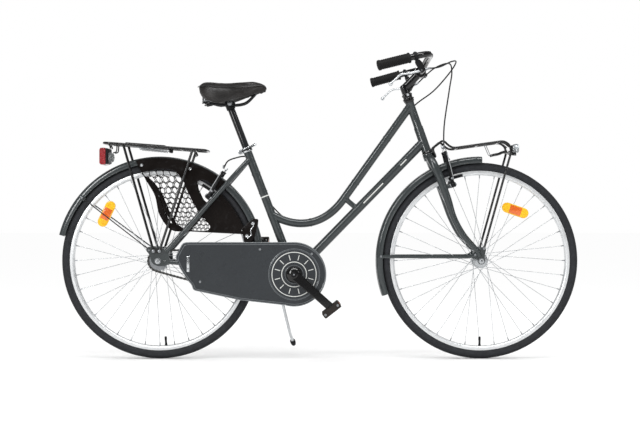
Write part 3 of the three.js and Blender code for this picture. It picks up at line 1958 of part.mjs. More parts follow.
// Pieces that turn with the fork but are laid out in the bike's own axes
const ahead = new THREE.Group();
ahead.applyMatrix4(steeringMatrix().clone().invert());
steering.add(ahead);

const frontStayAngle = 177.6;
const strapWidth = 12;
const strapThickness = 2;
// Its bend and its end, from the front axle by the fork plate's size
const frontStayFootShares = [
  [-2.9, 2.3],
  [-1.3, 2.3],
];

function frontGuardStay() {
  const footY = forkPlateY + forkPlate + gap + strapThickness / 2;
  const [bend, foot] = frontStayFootShares.map(([x, z]) =>
    onSteering(rake + x * forkPlateSize, footY, z * forkPlateSize),
  );
  const across = guardRadius - guardStayInset;
  const top = round(frontAxle, across, frontStayAngle);
  const half = guardWidth / 2 + gap + strapThickness / 2;
  const straps = [1, -1].map((side) => {
    const path = [
      top.clone().add(at(-strapWidth / 2, side * half, 0)),
      top.clone().add(at(strapWidth, side * half, 0)),
      bend.clone().setY(side * footY),
      foot.clone().setY(side * footY),
    ];
    return sweep(path, () => rectangle(strapThickness, strapWidth), false, at(0, 1, 0));
  });
  const rodAcross = moved(cylinder(guardStayRadius, -half, half, "y", rodSides), top);
  return join(straps, rodAcross);
}

// Front rack

const frontRackRadius = 4;
// Where its rods start: ahead of the steering axis, to the side, and above the crown's foot
const rackCrown = { ahead: 21.9, y: 14, rise: 3 };
const rackNeck = { ahead: 20.5, y: 20, rise: 35 };
const frontRackHalfWidth = 62;
const frontRackLength = 175; // of the platform
const frontRackBehind = 97; // the front axle
const frontRackRise = 28; // above the mudguard's top
const frontRackRear = at(-frontRackBehind, 0, guardRadius + frontRackRise);
// Down the side, from the platform's rear: ahead and up, by the platform's length
const frontRackShares = [
  [-0.217, 0.16],
  [-0.097, 0.04],
  [0, 0],
  [1, 0.141],
  [1.12, 0.06],
  [1.145, -0.08],
];
const frontRackCrossShares = [0.08, 0.5, 0.92];
const frontRackFoot = { ahead: 9, up: 45, y: 60 };
const lampStrapWidth = 14;
const lampStrapThickness = 3;
const headLampRadius = 16;
const headLampLength = 31;
const headLampAhead = 5.6; // of the rack's front
const headLampUp = 15.5;

function onFrontRack([ahead, up], y = 0) {
  const point = at(ahead, 0, up).multiplyScalar(frontRackLength);
  return point.setY(y).add(frontAxle).add(frontRackRear);
}

function headLampPlace() {
  return onFrontRack(frontRackShares[5]).add(at(headLampAhead, 0, headLampUp));
}

function frontRack() {
  const [start, end] = frontRackShares.slice(2, 4);
  const onPlatform = (share, y) =>
    between(onFrontRack(start, y), onFrontRack(end, y), share);
  const sides = [1, -1].map((side) => {
    const [crown, neck] = [rackCrown, rackNeck].map((place) =>
      onSteering(place.ahead, side * place.y, crownStart + place.rise),
    );
    const path = frontRackShares.map((place) => onFrontRack(place, side * frontRackHalfWidth));
    const foot = frontAxle
      .clone()
      .add(at(frontRackFoot.ahead, side * frontRackFoot.y, frontRackFoot.up));
    return rod([crown, neck, ...path, foot], frontRackRadius);
  });
  const cross = frontRackCrossShares.map((share) =>
    rod(
      [onPlatform(share, -frontRackHalfWidth), onPlatform(share, frontRackHalfWidth)],
      frontRackRadius,
    ),
  );
  const front = onFrontRack(frontRackShares[5]);
  const frontRod = moved(
    cylinder(frontRackRadius, -frontRackHalfWidth, frontRackHalfWidth, "y", rodSides),
    front,
  );
  const crownPlate = box(
    at(crownRadius + gap * 2, -rackCrown.y - frontRackRadius, crownStart + gap),
    at(
      crownRadius + gap * 2 + frontRackRadius,
      rackCrown.y + frontRackRadius,
      headTubeStart - overrun,
    ),
  ).applyMatrix4(steeringMatrix());
  const lampMiddle = headLampPlace().add(at(headLampLength / 2, 0, 0));
  const strapTop = lampMiddle.z - headLampRadius - gap * 2;
  const strap = join(
    box(
      at(front.x - frontRackRadius / 2, -lampStrapWidth / 2, strapTop - lampStrapThickness),
      at(lampMiddle.x + lampStrapWidth / 2, lampStrapWidth / 2, strapTop),
    ),
    box(
      at(front.x - frontRackRadius / 2, -lampStrapWidth / 2, Math.min(front.z, strapTop) - frontRackRadius),
      at(front.x + frontRackRadius / 2, lampStrapWidth / 2, Math.max(front.z, strapTop)),
    ),
  );
  return join(sides, cross, frontRod, crownPlate, strap);
}

function headLamp() {
  return turned(
    [
      [0, 0],
      [headLampRadius * 0.6, 0],
      [headLampRadius, headLampLength * 0.4],
      [headLampRadius, headLampLength],
      [0, headLampLength],
    ],
    "x",
    roundSides,
  );
}

// Brake cables

const cableRadius = 2.5;
const cableStart = at(adjusterBack + adjusterLength + gap * 6, 0, -leverDrop);
const rearCableRoute = [
  at(400, -240, 1006),
  at(450, -170, 1033),
  at(474, -90, 1040),
  at(460, -15, 1012),
  at(405, 18, 950),
  at(345, 25, 905),
];
const rearCableEndRoute = [
  at(-246, 19, 709),
  at(-267, 16, 717),
  at(-297, 12, 712),
  at(-327, 2, 699),
  at(-341, 0, 674),
];
const frontCableRoute = [
  at(426, 230, 1054),
  at(474, 170, 1066),
  at(479, 100, 1028),
  at(464, 40, 957),
  at(442, 0, 828),
  at(440, 0, 778),
  at(441, 0, 744),
];

function rearCable(start) {
  const beside = topTubeRadius + cableRadius + gap * 2;
  const line = topTubeLine();
  const onTop = [
    between(line[0], line[1], 0.16),
    between(line[0], line[1], 0.55),
    line[1],
    line[3],
    line[5],
    line[7],
  ];
  const onSeat = [topTubeFoot * 1.3, topTubeFoot * 1.55, topTubeFoot * 1.8].map((along) =>
    onSeatTube(along).setY(seatTubeRadius + cableRadius + gap * 4),
  );
  const route = [
    start,
    ...rearCableRoute,
    ...onTop.map((point) => point.setY(beside)),
    ...onSeat,
    ...rearCableEndRoute,
  ];
  return cable(route, cableRadius, 38);
}

function frontCable(start) {
  return cable([start, ...frontCableRoute], cableRadius, 18);
}

// Placing the pieces

function placeFrame() {
  piece(steering, "head_tube", headTube(), finish.frame);
  piece(bike, "top_tube", topTube(), finish.frame);
  piece(bike, "down_tube", downTube(), finish.frame);
  piece(bike, "seat_tube", seatTube(), finish.frame);
  piece(bike, "bottom_bracket_shell", bottomBracketShell(), finish.frame);
  piece(bike, "bottom_bracket_unit", bottomBracketUnit(), finish.steel);
  piece(bike, "chain_stays", chainStays(), finish.frame);
  piece(bike, "seat_stays", seatStays(), finish.frame);
  const holes = guardStayHole(rearAxle, rearStayAngle);
  const rearGuard = cut(guard(rearAxle, rearGuardFromAngle, rearGuardToAngle, 20), holes);
  piece(bike, "rear_mudguard", rearGuard, finish.black);
  const stay = guardStay(rearAxle, rearStayAngle, rearStayFoot(), guardStayRadius);
  piece(bike, "rear_mudguard_stay", stay, finish.blackMetal);
  piece(bike, "coat_guard_right", coatGuard(-1), finish.black);
  piece(bike, "coat_guard_left", coatGuard(1), finish.black);
  piece(bike, "rear_rack", rearRack(), finish.blackMetal);
  piece(bike, "tail_lamp", tailLamp(), finish.red);
  const axle = axleWithNuts(
    rearAxleRadius,
    dropoutY + dropoutThickness / 2 + gap,
    nutHeight,
    nutRadius,
  );
  piece(bike, "rear_axle", moved(axle, rearAxle), finish.steel);
  const clip = piece(bike, "rack_clip", rackClip(), finish.steel);
  clip.position.copy(clipHinge());
  clip.rotation.y = Math.atan2(rackRear.z - rackFront.z, rackFront.x - rackRear.x);
  piece(bike, "kickstand_bracket", kickstandBracket(), finish.steel);
  const stand = piece(bike, "kickstand", kickstand(), finish.alloy);
  stand.position.copy(standPivot());
}

function placeDrive() {
  piece(bike, "chaincase", chaincase(), finish.black);
  piece(bike, "chain", chain(), finish.steel);
  piece(bike, "freewheel", freewheel(), finish.steel);
  piece(bike, "crank_spindle", spindle(), finish.steel);
  const right = new THREE.Group();
  right.position.copy(bracket);
  right.rotation.y = rad(-crankAngle);
  bike.add(right);
  piece(right, "crank_right", crankRight(), finish.alloy);
  const left = new THREE.Group();
  left.position.copy(bracket);
  left.rotation.y = rad(180 - crankAngle);
  bike.add(left);
  piece(left, "crank_left", crankLeft(), finish.alloy);
  for (const [side, name, arm, tilt] of [
    [-1, "pedal_right", right, rightPedalAngle],
    [1, "pedal_left", left, 0],
  ]) {
    const body = piece(arm, name, pedal(side), finish.black);
    body.position.x = crankLength;
    body.rotation.y = -arm.rotation.y - rad(tilt);
  }
}

function placeWheel(name, axle, where, endY, boreRadius) {
  piece(bike, name + "_tyre", tyre(), finish.rubber).position.copy(axle);
  piece(bike, name + "_rim", rim(), finish.alloy).position.copy(axle);
  piece(bike, name + "_hub", hub(boreRadius, endY), finish.alloy).position.copy(axle);
  piece(bike, name + "_reflector", reflector(where), finish.amber).position.copy(axle);
}

function placeSeat() {
  piece(seatLine, "seat_clamp", seatClamp(), finish.chrome);
  const lever = piece(seatLine, "seat_clamp_lever", seatClampLever(), finish.chrome);
  lever.position.copy(clampPivot());
  piece(seatLine, "seatpost", seatpost(), finish.alloy);
  piece(bike, "saddle_cover", saddleCover(), finish.leather);
  piece(bike, "saddle_frame", saddleFrame(), finish.blackMetal);
}

function placeSteering() {
  piece(steering, "fork", fork(), finish.frame);
  piece(steering, "headset_nut", headsetNut(), finish.blackMetal);
  piece(steering, "stem", stem(), finish.blackMetal);
  piece(cockpit, "handlebar", handlebar(), finish.blackMetal);
  const strapHole = guardStayHole(frontAxle, frontStayAngle);
  const frontGuard = cut(guard(frontAxle, frontGuardFromAngle, frontGuardToAngle, 13), strapHole);
  piece(ahead, "front_mudguard", frontGuard, finish.black);
  piece(ahead, "front_mudguard_stay", frontGuardStay(), finish.blackMetal);
  piece(ahead, "front_rack", frontRack(), finish.blackMetal);
  const lamp = piece(ahead, "head_lamp", headLamp(), finish.blackMetal);
  lamp.position.copy(headLampPlace());
  const axle = axleWithNuts(frontAxleRadius, forkPlateY + forkPlate + gap, nutHeight, nutRadius);
  const frontAxlePiece = piece(steering, "front_axle", axle, finish.steel);
  frontAxlePiece.position.x = rake;
}

function placeHands() {
  for (const [side, name] of [
    [-1, "right"],
    [1, "left"],
  ]) {
    const group = hand(side);
    piece(group, "grip_" + name, grip(), finish.rubber);
    piece(group, "lever_bracket_" + name, leverBracket(), finish.blackMetal);
    const lever = piece(group, "brake_lever_" + name, brakeLever(), finish.alloy);
    lever.position.copy(leverPivot());
    group.updateWorldMatrix(true, false);
    const start = cableStart.clone().applyMatrix4(group.matrixWorld);
    if (side < 0) {
      piece(bike, "rear_brake_cable", rearCable(start), finish.black);
    } else {
      piece(ahead, "front_brake_cable", frontCable(start), finish.black);
    }
  }
}

function placeBrakes() {
  for (const [side, name] of [
    [-1, "right"],
    [1, "left"],
  ]) {
    const front = brakeArm(side, frontBrakeOut, rake, frontTip);
    const arm = piece(steering, "front_brake_arm_" + name, front, finish.blackMetal);
    arm.position.z = brakePivotAlong;
    const stays = new THREE.Group();
    stays.position.copy(onSeatStay(0, 0, brakePivotAlong));
    const basis = new THREE.Matrix4().makeBasis(stayOut(), at(0, -1, 0), stayUp());
    stays.quaternion.setFromRotationMatrix(basis);
    bike.add(stays);
    const rear = brakeArm(-side, rearBrakeOut, 0, rearTip);
    piece(stays, "rear_brake_arm_" + name, rear, finish.blackMetal);
  }
}

placeFrame();
placeDrive();
placeWheel("rear", rearAxle, rearReflector, rearHubEnd, rearAxleRadius + running);
placeWheel("front", frontAxle, frontReflector, forkPlateY - running, frontAxleRadius + running);
placeSeat();
placeSteering();
placeHands();
placeBrakes();

// The origin lies below the middle of the bike's length
bike.updateMatrixWorld(true);
const extent = new THREE.Box3().setFromObject(bike, true);
bike.position.x = -(extent.min.x + extent.max.x) / 2;

export default bike;
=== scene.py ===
import random
import re
from math import asin, atan2, cos, degrees, dist, pi, radians, sin

import bmesh
import bpy
from mathutils import Matrix, Vector, geometry


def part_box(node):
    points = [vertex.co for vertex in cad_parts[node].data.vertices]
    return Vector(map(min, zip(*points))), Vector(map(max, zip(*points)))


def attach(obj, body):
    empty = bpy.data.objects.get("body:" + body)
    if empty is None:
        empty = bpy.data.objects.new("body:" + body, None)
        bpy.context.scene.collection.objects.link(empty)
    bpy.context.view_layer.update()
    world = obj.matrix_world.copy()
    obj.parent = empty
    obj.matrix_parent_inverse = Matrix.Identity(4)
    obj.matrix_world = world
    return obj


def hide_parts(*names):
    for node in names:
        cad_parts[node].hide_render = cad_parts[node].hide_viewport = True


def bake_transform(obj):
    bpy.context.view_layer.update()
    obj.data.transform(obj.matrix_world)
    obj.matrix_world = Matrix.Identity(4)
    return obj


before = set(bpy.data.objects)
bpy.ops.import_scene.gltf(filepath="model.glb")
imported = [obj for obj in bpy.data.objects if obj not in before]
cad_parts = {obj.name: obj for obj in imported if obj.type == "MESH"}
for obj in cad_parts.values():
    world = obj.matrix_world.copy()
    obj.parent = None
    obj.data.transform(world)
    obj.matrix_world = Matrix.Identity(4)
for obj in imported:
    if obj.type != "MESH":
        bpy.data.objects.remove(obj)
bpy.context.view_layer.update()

# Dutch city bike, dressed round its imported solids.
# The measures are millimetres: x forward, y to the rider's left, z up from the floor.
bike = {
    "tyreRadius": 347,
    "rimRadius": 318,
    "guardRadius": 368,
    "wheelbase": 1134,
    "bracketAhead": 477,
    "bracketDrop": 47,
    "seatAngle": 69,
    "headAngle": 70.7,
    "rake": 49,
    "headTubeStart": 420,
    "headTubeEnd": 620,
    "seatTubeLength": 473,
    "dropoutY": 61,
}

shift = Matrix.Translation
sideName = {1: "left", -1: "right"}


def vec(x=0, y=0, z=0):
    return Vector((x, y, z))


def turned(angle, axis):
    return Matrix.Rotation(radians(angle), 4, axis)


def leaning(origin, angle):  # axes whose z leans back by that many degrees from level
    lean = radians(angle)
    along = vec(-cos(lean), 0, sin(lean))
    return axesAt(origin, vec(0, 1, 0).cross(along), vec(0, 1, 0), along)


def axesAt(origin, x, y, z):
    made = Matrix((x, y, z)).transposed().to_4x4()
    made.translation = origin
    return made


rearAxle = vec(-bike["wheelbase"] / 2, 0, bike["tyreRadius"])
frontAxle = vec(bike["wheelbase"] / 2, 0, bike["tyreRadius"])
bracket = rearAxle + vec(bike["bracketAhead"], 0, -bike["bracketDrop"])
seatLine = leaning(bracket, bike["seatAngle"])
steering = leaning(frontAxle, bike["headAngle"])
steering.translation = frontAxle - bike["rake"] * steering.col[0].to_3d()
steerUp, steerAhead = steering.col[2].to_3d(), steering.col[0].to_3d()

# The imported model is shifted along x, so that its origin lies below its middle
tyreLow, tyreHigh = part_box("rear_tyre")
shiftX = (tyreLow.x + tyreHigh.x) * 500 - rearAxle.x
toMetres = Matrix.Scale(0.001, 4) @ shift((shiftX, 0, 0))


def onSeatTube(along, y=0):
    return seatLine @ vec(0, y, along)


def onSteering(ahead, y, along):
    return steering @ vec(ahead, y, along)


def onCircle(axle, radius, angle, y=0):
    return axle + vec(radius * cos(radians(angle)), y, radius * sin(radians(angle)))


def alongY(place=vec()):  # axes whose z runs to the rider's left
    return axesAt(place, vec(1, 0, 0), vec(0, 0, -1), vec(0, 1, 0))


def alongX(place=vec()):  # axes whose z runs forward
    return axesAt(place, vec(0, 1, 0), vec(0, 0, 1), vec(1, 0, 0))


def pointing(start, end):  # axes at start whose z runs to end
    turn = (end - start).to_track_quat("Z", "Y").to_matrix().to_4x4()
    turn.translation = start
    return turn


def facing(place, way):
    return pointing(place, place + way)


def way(matrix, x, y, z):  # a direction of the matrix's own axes
    return (matrix.to_3x3() @ vec(x, y, z)).normalized()


# Lines

def hermite(a, b, leave, arrive, t):
    return ((2 * t**3 - 3 * t**2 + 1) * a + (t**3 - 2 * t**2 + t) * leave
            + (3 * t**2 - 2 * t**3) * b + (t**3 - t**2) * arrive)


def smoothLine(points, steps=8):  # a centripetal curve through the points
    line = [2 * points[0] - points[1], *points, 2 * points[-1] - points[-2]]
    made = []
    for p0, p1, p2, p3 in zip(line, line[1:], line[2:], line[3:]):
        d0, d1, d2 = (max((b - a).length**0.5, 1e-4) for a, b in ((p0, p1), (p1, p2), (p2, p3)))
        leave = ((p1 - p0) / d0 - (p2 - p0) / (d0 + d1) + (p2 - p1) / d1) * d1
        arrive = ((p2 - p1) / d1 - (p3 - p1) / (d1 + d2) + (p3 - p2) / d2) * d1
        made += [hermite(p1, p2, leave, arrive, i / steps) for i in range(steps)]
    return made + [points[-1]]


def roundedLine(corners, bend, steps=6, closed=False):  # corners of a path, each rounded
    made = []
    for i, corner in enumerate(corners):
        if not closed and i in (0, len(corners) - 1):
            made.append(corner)
            continue
        before, after = corners[i - 1], corners[(i + 1) % len(corners)]
        start = corner.lerp(before, min(bend / (corner - before).length, 0.45))
        end = corner.lerp(after, min(bend / (corner - after).length, 0.45))
        for step in range(steps + 1):
            t = step / steps
            made.append(start.lerp(corner, t).lerp(corner.lerp(end, t), t))
    return made


def arc(centre, radius, start, end, steps):  # flat points round a centre, from start to end degrees
    angles = [radians(start + (end - start) * i / steps) for i in range(steps + 1)]
    return [(centre[0] + radius * cos(a), centre[1] + radius * sin(a)) for a in angles]


def flat(maker, points, *settings):  # what a line maker gives for points in x and z
    return [(p.x, p.z) for p in maker([vec(x, 0, z) for x, z in points], *settings)]


def smoothFlat(points, steps=6):  # a closed flat curve through the points
    return flat(smoothLine, [points[-1], *points, points[0]], steps)[steps:-1]


def softened(points, bend, steps=5):  # a closed flat outline with rounded corners
    return flat(roundedLine, points, bend, steps, True)


def mirrorLoop(half):  # a closed profile from its half on the side of positive y
    return half + [(radius, -y) for radius, y in reversed(half)]


# Shapes: each is made apart and added to the piece's bmesh

def addMesh(bm, mesh, matrix, finish):
    mesh.transform(matrix)
    if matrix.determinant() < 0:
        mesh.flip_normals()
    mesh.polygons.foreach_set("material_index", [finish] * len(mesh.polygons))
    bm.from_mesh(mesh)
    bpy.data.meshes.remove(mesh)


def addPart(bm, part, matrix=Matrix.Identity(4), finish=0):
    mesh = bpy.data.meshes.new("part")
    part.to_mesh(mesh)
    part.free()
    addMesh(bm, mesh, matrix, finish)


def addCurve(bm, curve, matrix=Matrix.Identity(4), finish=0):
    holder = bpy.data.objects.new("line", curve)
    mesh = bpy.data.meshes.new_from_object(holder)
    bpy.data.objects.remove(holder)
    bpy.data.curves.remove(curve)
    addMesh(bm, mesh, matrix, finish)


def addTube(bm, points, radius, sides=16, closed=False, finish=0, matrix=Matrix.Identity(4)):
    curve = bpy.data.curves.new("line", "CURVE")
    curve.dimensions = "3D"
    curve.bevel_depth = 1
    curve.bevel_resolution = sides // 2 - 2
    curve.use_fill_caps = not closed
    spline = curve.splines.new("POLY")
    spline.points.add(len(points) - 1)
    spline.use_cyclic_u = closed
    radii = radius if isinstance(radius, list) else [radius] * len(points)
    for knot, place, size in zip(spline.points, points, radii):
        knot.co = (*place, 1)
        knot.radius = size
    addCurve(bm, curve, matrix, finish)


def addPlate(bm, outline, fromY, toY, holes=(), edge=0.5, finish=0, matrix=Matrix.Identity(4)):
    # A flat plate in x and z with softened edges
    curve = bpy.data.curves.new("plate", "CURVE")
    curve.dimensions = "2D"
    curve.fill_mode = "BOTH"
    curve.bevel_depth = edge
    curve.bevel_resolution = 1
    curve.extrude = abs(toY - fromY) / 2 - edge
    for loop in (outline, *holes):
        spline = curve.splines.new("POLY")
        spline.points.add(len(loop) - 1)
        spline.use_cyclic_u = True
        for knot, (x, z) in zip(spline.points, loop):
            knot.co = (x, z, 0, 1)
    stand = axesAt(vec(0, (fromY + toY) / 2, 0), vec(1, 0, 0), vec(0, 0, 1), vec(0, -1, 0))
    addCurve(bm, curve, matrix @ stand, finish)


def addTurned(bm, profile, matrix, steps=48, finish=0, closed=False, start=0, sweep=360, bend=0):
    # A profile of (radius, along) spun about the matrix's z; bend softens its corners
    if bend:
        profile = flat(roundedLine, profile, bend, 3, closed)
    part = bmesh.new()
    knots = [part.verts.new((max(radius, 0), 0, along)) for radius, along in profile]
    if closed:
        knots.append(knots[0])
    edges = [part.edges.new(pair) for pair in zip(knots, knots[1:])]
    full = sweep >= 360
    if closed and not full:
        part.faces.new(knots[:-1])
    bmesh.ops.transform(part, matrix=turned(start, "Z"), verts=part.verts)
    geom = list(part.verts) + edges + list(part.faces)
    bmesh.ops.spin(part, geom=geom, axis=(0, 0, 1), cent=(0, 0, 0), angle=radians(sweep),
                   steps=steps, use_merge=full, use_duplicate=False)
    bmesh.ops.remove_doubles(part, verts=part.verts, dist=0.001)
    bmesh.ops.recalc_face_normals(part, faces=part.faces)
    addPart(bm, part, matrix, finish)


def soften(part, edges, size, **more):
    bmesh.ops.bevel(part, geom=edges, offset=size, offset_type="OFFSET", affect="EDGES", segments=2,
                    profile=0.5, material=-1, **more)


def ridges(part, angle):
    return [e for e in part.edges if e.is_manifold and e.calc_face_angle(0) > angle]


def joined(part, rows):  # rings of vertices made into one closed skin
    loops = [[part.edges.new((row[i - 1], row[i])) for i in range(len(row))] for row in rows]
    for one, two in zip(loops, loops[1:]):
        bmesh.ops.bridge_loops(part, edges=one + two)
    bmesh.ops.contextual_create(part, geom=loops[0])
    bmesh.ops.contextual_create(part, geom=loops[-1])
    bmesh.ops.recalc_face_normals(part, faces=part.faces)


def addBlock(bm, low, high, edge=1, finish=0, matrix=Matrix.Identity(4)):  # a block with bevelled edges
    part = bmesh.new()
    bmesh.ops.create_cube(part, size=1)
    low, high = Vector(low), Vector(high)
    bmesh.ops.scale(part, vec=high - low, verts=part.verts)
    bmesh.ops.translate(part, vec=(high + low) / 2, verts=part.verts)
    soften(part, part.edges[:], edge)
    addPart(bm, part, matrix, finish)


def addBand(bm, points, width, thickness, across=vec(0, 1, 0), finish=0, edge=0.4):
    # A flat strip along points, its thickness across
    part = bmesh.new()
    rows = []
    for i, place in enumerate(points):
        along = (points[min(i + 1, len(points) - 1)] - points[max(i - 1, 0)]).normalized()
        broad = across.cross(along).normalized() * width / 2
        thin = across * thickness / 2
        corners = (broad + thin, broad - thin, -broad - thin, -broad + thin)
        rows.append([part.verts.new(place + corner) for corner in corners])
    joined(part, rows)
    soften(part, ridges(part, 0.9), edge)
    addPart(bm, part, finish=finish)


def addCopy(bm, node, edge):  # a CAD node's own shape, welded, its edges softened
    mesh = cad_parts[node].data.copy()
    mesh.transform(toMetres.inverted())
    part = bmesh.new()
    part.from_mesh(mesh)
    bpy.data.meshes.remove(mesh)
    bmesh.ops.remove_doubles(part, verts=part.verts, dist=0.01)
    bmesh.ops.dissolve_limit(part, angle_limit=0.02, verts=part.verts, edges=part.edges)
    soften(part, ridges(part, 0.7), edge, clamp_overlap=True)
    addPart(bm, part)


def addBolt(bm, place, direction, radius, height, finish=0, socket=False):
    # A hexagon head on a washer; socket gives a round head with a hole
    stand = facing(place, direction)
    washer = [(0, 0), (1.35, 0), (1.35, 0.2), (0, 0.2)]
    hexagon = [(0, 0.2), (1, 0.2), (1, 0.9), (0.85, 1), (0, 1)]
    hollow = [(0, 0.2), (1, 0.2), (1, 1), (0.5, 1), (0.45, 0.5), (0, 0.5)]
    for shares, steps, bend in ((washer, 24, 0.05), (hollow, 24, 0.12) if socket else (hexagon, 6, 0)):
        profile = [(radius * out, height * up) for out, up in shares]
        addTurned(bm, profile, stand, steps, finish, bend=height * bend)


def linked(name, data):
    made = bpy.data.objects.new(name, data)
    bpy.context.scene.collection.objects.link(made)
    return made


def makePiece(name, bm, body, looks, nodes="", angle=35):
    mesh = bpy.data.meshes.new(name)
    bm.to_mesh(mesh)
    bm.free()
    mesh.transform(toMetres)
    looks = [finishes[look] for look in looks.split()]
    for look in looks:
        mesh.materials.append(look["material"])
    mesh.polygons.foreach_set("use_smooth", [True] * len(mesh.polygons))
    mesh.set_sharp_from_angle(angle=radians(angle))
    piece = linked(name, mesh)
    if body:
        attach(piece, body)
    if nodes:
        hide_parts(*nodes.split())
    return piece


# Finishes

class Wire:  # a socket that takes + - * / with numbers and other sockets
    def __init__(self, surface, socket):
        self.surface = surface
        self.socket = socket

    def count(self, operation, a, b):
        return self.surface.node("ShaderNodeMath", {"operation": operation}, {0: a, 1: b})

    def __add__(self, other):
        return self.count("ADD", self, other)

    def __sub__(self, other):
        return self.count("SUBTRACT", self, other)

    def __mul__(self, other):
        return self.count("MULTIPLY", self, other)

    def __truediv__(self, other):
        return self.count("DIVIDE", self, other)

    def __radd__(self, other):
        return self.count("ADD", other, self)

    def __rsub__(self, other):
        return self.count("SUBTRACT", other, self)

    def __rmul__(self, other):
        return self.count("MULTIPLY", other, self)

    def __rtruediv__(self, other):
        return self.count("DIVIDE", other, self)


class Surface:  # a material under construction
    def __init__(self, name):
        self.material = bpy.data.materials.new(name)
        self.material.use_nodes = True
        self.tree = self.material.node_tree
        self.shader = self.tree.nodes["Principled BSDF"]
        self.place = self.node("ShaderNodeTexCoord", {}, {}, "Object")

    def node(self, kind, settings, sockets, out=0):
        node = self.tree.nodes.new(kind)
        for key, value in settings.items():
            if key == "stops":
                for stop, (where, colour) in zip(node.color_ramp.elements, value):
                    stop.position, stop.color = where, colour
            else:
                setattr(node, key, value)
        for key, value in sockets.items():
            if isinstance(value, Wire):
                self.tree.links.new(value.socket, node.inputs[key])
            else:
                node.inputs[key].default_value = value
        return Wire(self, node.outputs[out])

    def noise(self, scale, detail=3, roughness=0.5, place=None):
        return self.node("ShaderNodeTexNoise", {}, {
            "Vector": place or self.place, "Scale": scale, "Detail": detail, "Roughness": roughness})

    def cells(self, scale, feature="F1", place=None, out="Distance"):
        return self.node("ShaderNodeTexVoronoi", {"feature": feature},
                         {"Vector": place or self.place, "Scale": scale}, out)

    def range(self, value, low, high, start, end):  # value from low to high becomes start to end
        return self.node("ShaderNodeMapRange", {}, {
            "Value": value, "From Min": low, "From Max": high, "To Min": start, "To Max": end})

    def spread(self, noise, start, end):  # a noise's usual values become start to end
        return self.range(noise, 0.3, 0.7, start, end)

    def clouded(self, noise, a, b):
        return self.mix(self.spread(noise, 0.0, 1.0), a, b)

    def fromAxle(self, spot):
        across = self.node("ShaderNodeVectorMath", {"operation": "MULTIPLY"}, {0: spot, 1: (1, 0, 1)})
        return self.node("ShaderNodeVectorMath", {"operation": "LENGTH"}, {0: across}, "Value")

    def step(self, value, edge, soft):
        return self.range(value, edge - soft, edge + soft, 0.0, 1.0)

    def mix(self, factor, a, b):
        return self.node("ShaderNodeMix", {"data_type": "RGBA"}, {0: factor, 6: a, 7: b}, 2)

    def about(self, centre):  # coordinates about a point of the bike, in metres
        spot = toMetres @ Vector(centre)
        return self.node("ShaderNodeMapping", {}, {"Vector": self.place, "Location": -spot})

    def part(self, vector, axis):
        return self.node("ShaderNodeSeparateXYZ", {}, {0: vector}, axis)

    def wave(self, value):
        return self.node("ShaderNodeMath", {"operation": "SINE"}, {0: value})

    def bump(self, height, strength, distance, normal=None):
        sockets = {"Height": height, "Strength": strength, "Distance": distance}
        if normal:
            sockets["Normal"] = normal
        return self.node("ShaderNodeBump", {}, sockets)

    def shade(self, slot, **sockets):
        for key, value in sockets.items():
            name = "Specular IOR Level" if key == "Specular" else re.sub("(?<=[a-z])(?=[A-Z])", " ", key)
            if isinstance(value, Wire):
                self.tree.links.new(value.socket, self.shader.inputs[name])
            else:
                self.shader.inputs[name].default_value = value
        return {"material": self.material, "slot": slot}


def tint(code, share=1.0):  # a colour as it is written on screen, made linear
    parts = [int(code[i:i + 2], 16) / 255 for i in (1, 3, 5)]
    line = [(c / 12.92 if c <= 0.04045 else ((c + 0.055) / 1.055)**2.4) * share for c in parts]
    return (*line, 1.0)


paints = {"frame": "#2f3435", "guard": "#303536", "case": "#272a2e", "white": "#e2e3df"}


def glossPaint(name, slot, colour, worn=0.5, coat=0.7):
    s = Surface(name)
    cloud = s.noise(9, 2)
    flake = s.noise(1400, 1)
    chips = s.step(s.noise(170, 4, 0.62), 0.71, 0.02) * worn
    base = s.clouded(cloud, tint(colour, 0.92), tint(colour, 1.08))
    base = s.mix(s.range(flake, 0.4, 0.75, 0.0, 0.16), base, tint("#8d9496"))
    base = s.mix(chips, base, tint("#6f7375"))
    rough = s.spread(s.noise(26, 4), 0.24, 0.36) + chips * 0.2
    peel = s.bump(s.noise(330, 2), 0.04, 0.0004)
    return s.shade(slot, BaseColor=base, Roughness=rough, Normal=peel, Metallic=0.12,
                   Specular=0.12, CoatWeight=coat, CoatRoughness=0.05)


def powderBlack(name, slot, colour, rough=0.4, shine=0.25):
    s = Surface(name)
    grain = s.noise(900, 3)
    cloud = s.noise(14, 3)
    base = s.clouded(cloud, tint(colour, 0.85), tint(colour, 1.2))
    scuffs = s.step(s.noise(60, 6, 0.7), 0.68, 0.03)
    base = s.mix(scuffs * 0.25, base, tint("#3a3c3e"))
    return s.shade(slot, BaseColor=base, Roughness=s.spread(grain, rough - 0.06, rough + 0.1),
                   Normal=s.bump(grain, 0.14, 0.0004), Specular=0.1, CoatWeight=shine, CoatRoughness=0.05)


def mouldedBlack(name, slot, colour, rough=0.5, grainScale=1500, strength=0.2):
    s = Surface(name)
    grain = s.cells(grainScale)
    cloud = s.noise(20, 3)
    base = s.clouded(cloud, tint(colour, 0.85), tint(colour, 1.2))
    dust = s.step(s.noise(45, 5, 0.65), 0.62, 0.06)
    base = s.mix(dust * 0.1, base, tint("#55575a"))
    return s.shade(slot, BaseColor=base, Roughness=s.spread(cloud, rough - 0.06, rough + 0.08),
                   Normal=s.bump(grain, strength, 0.0003), Specular=0.14)


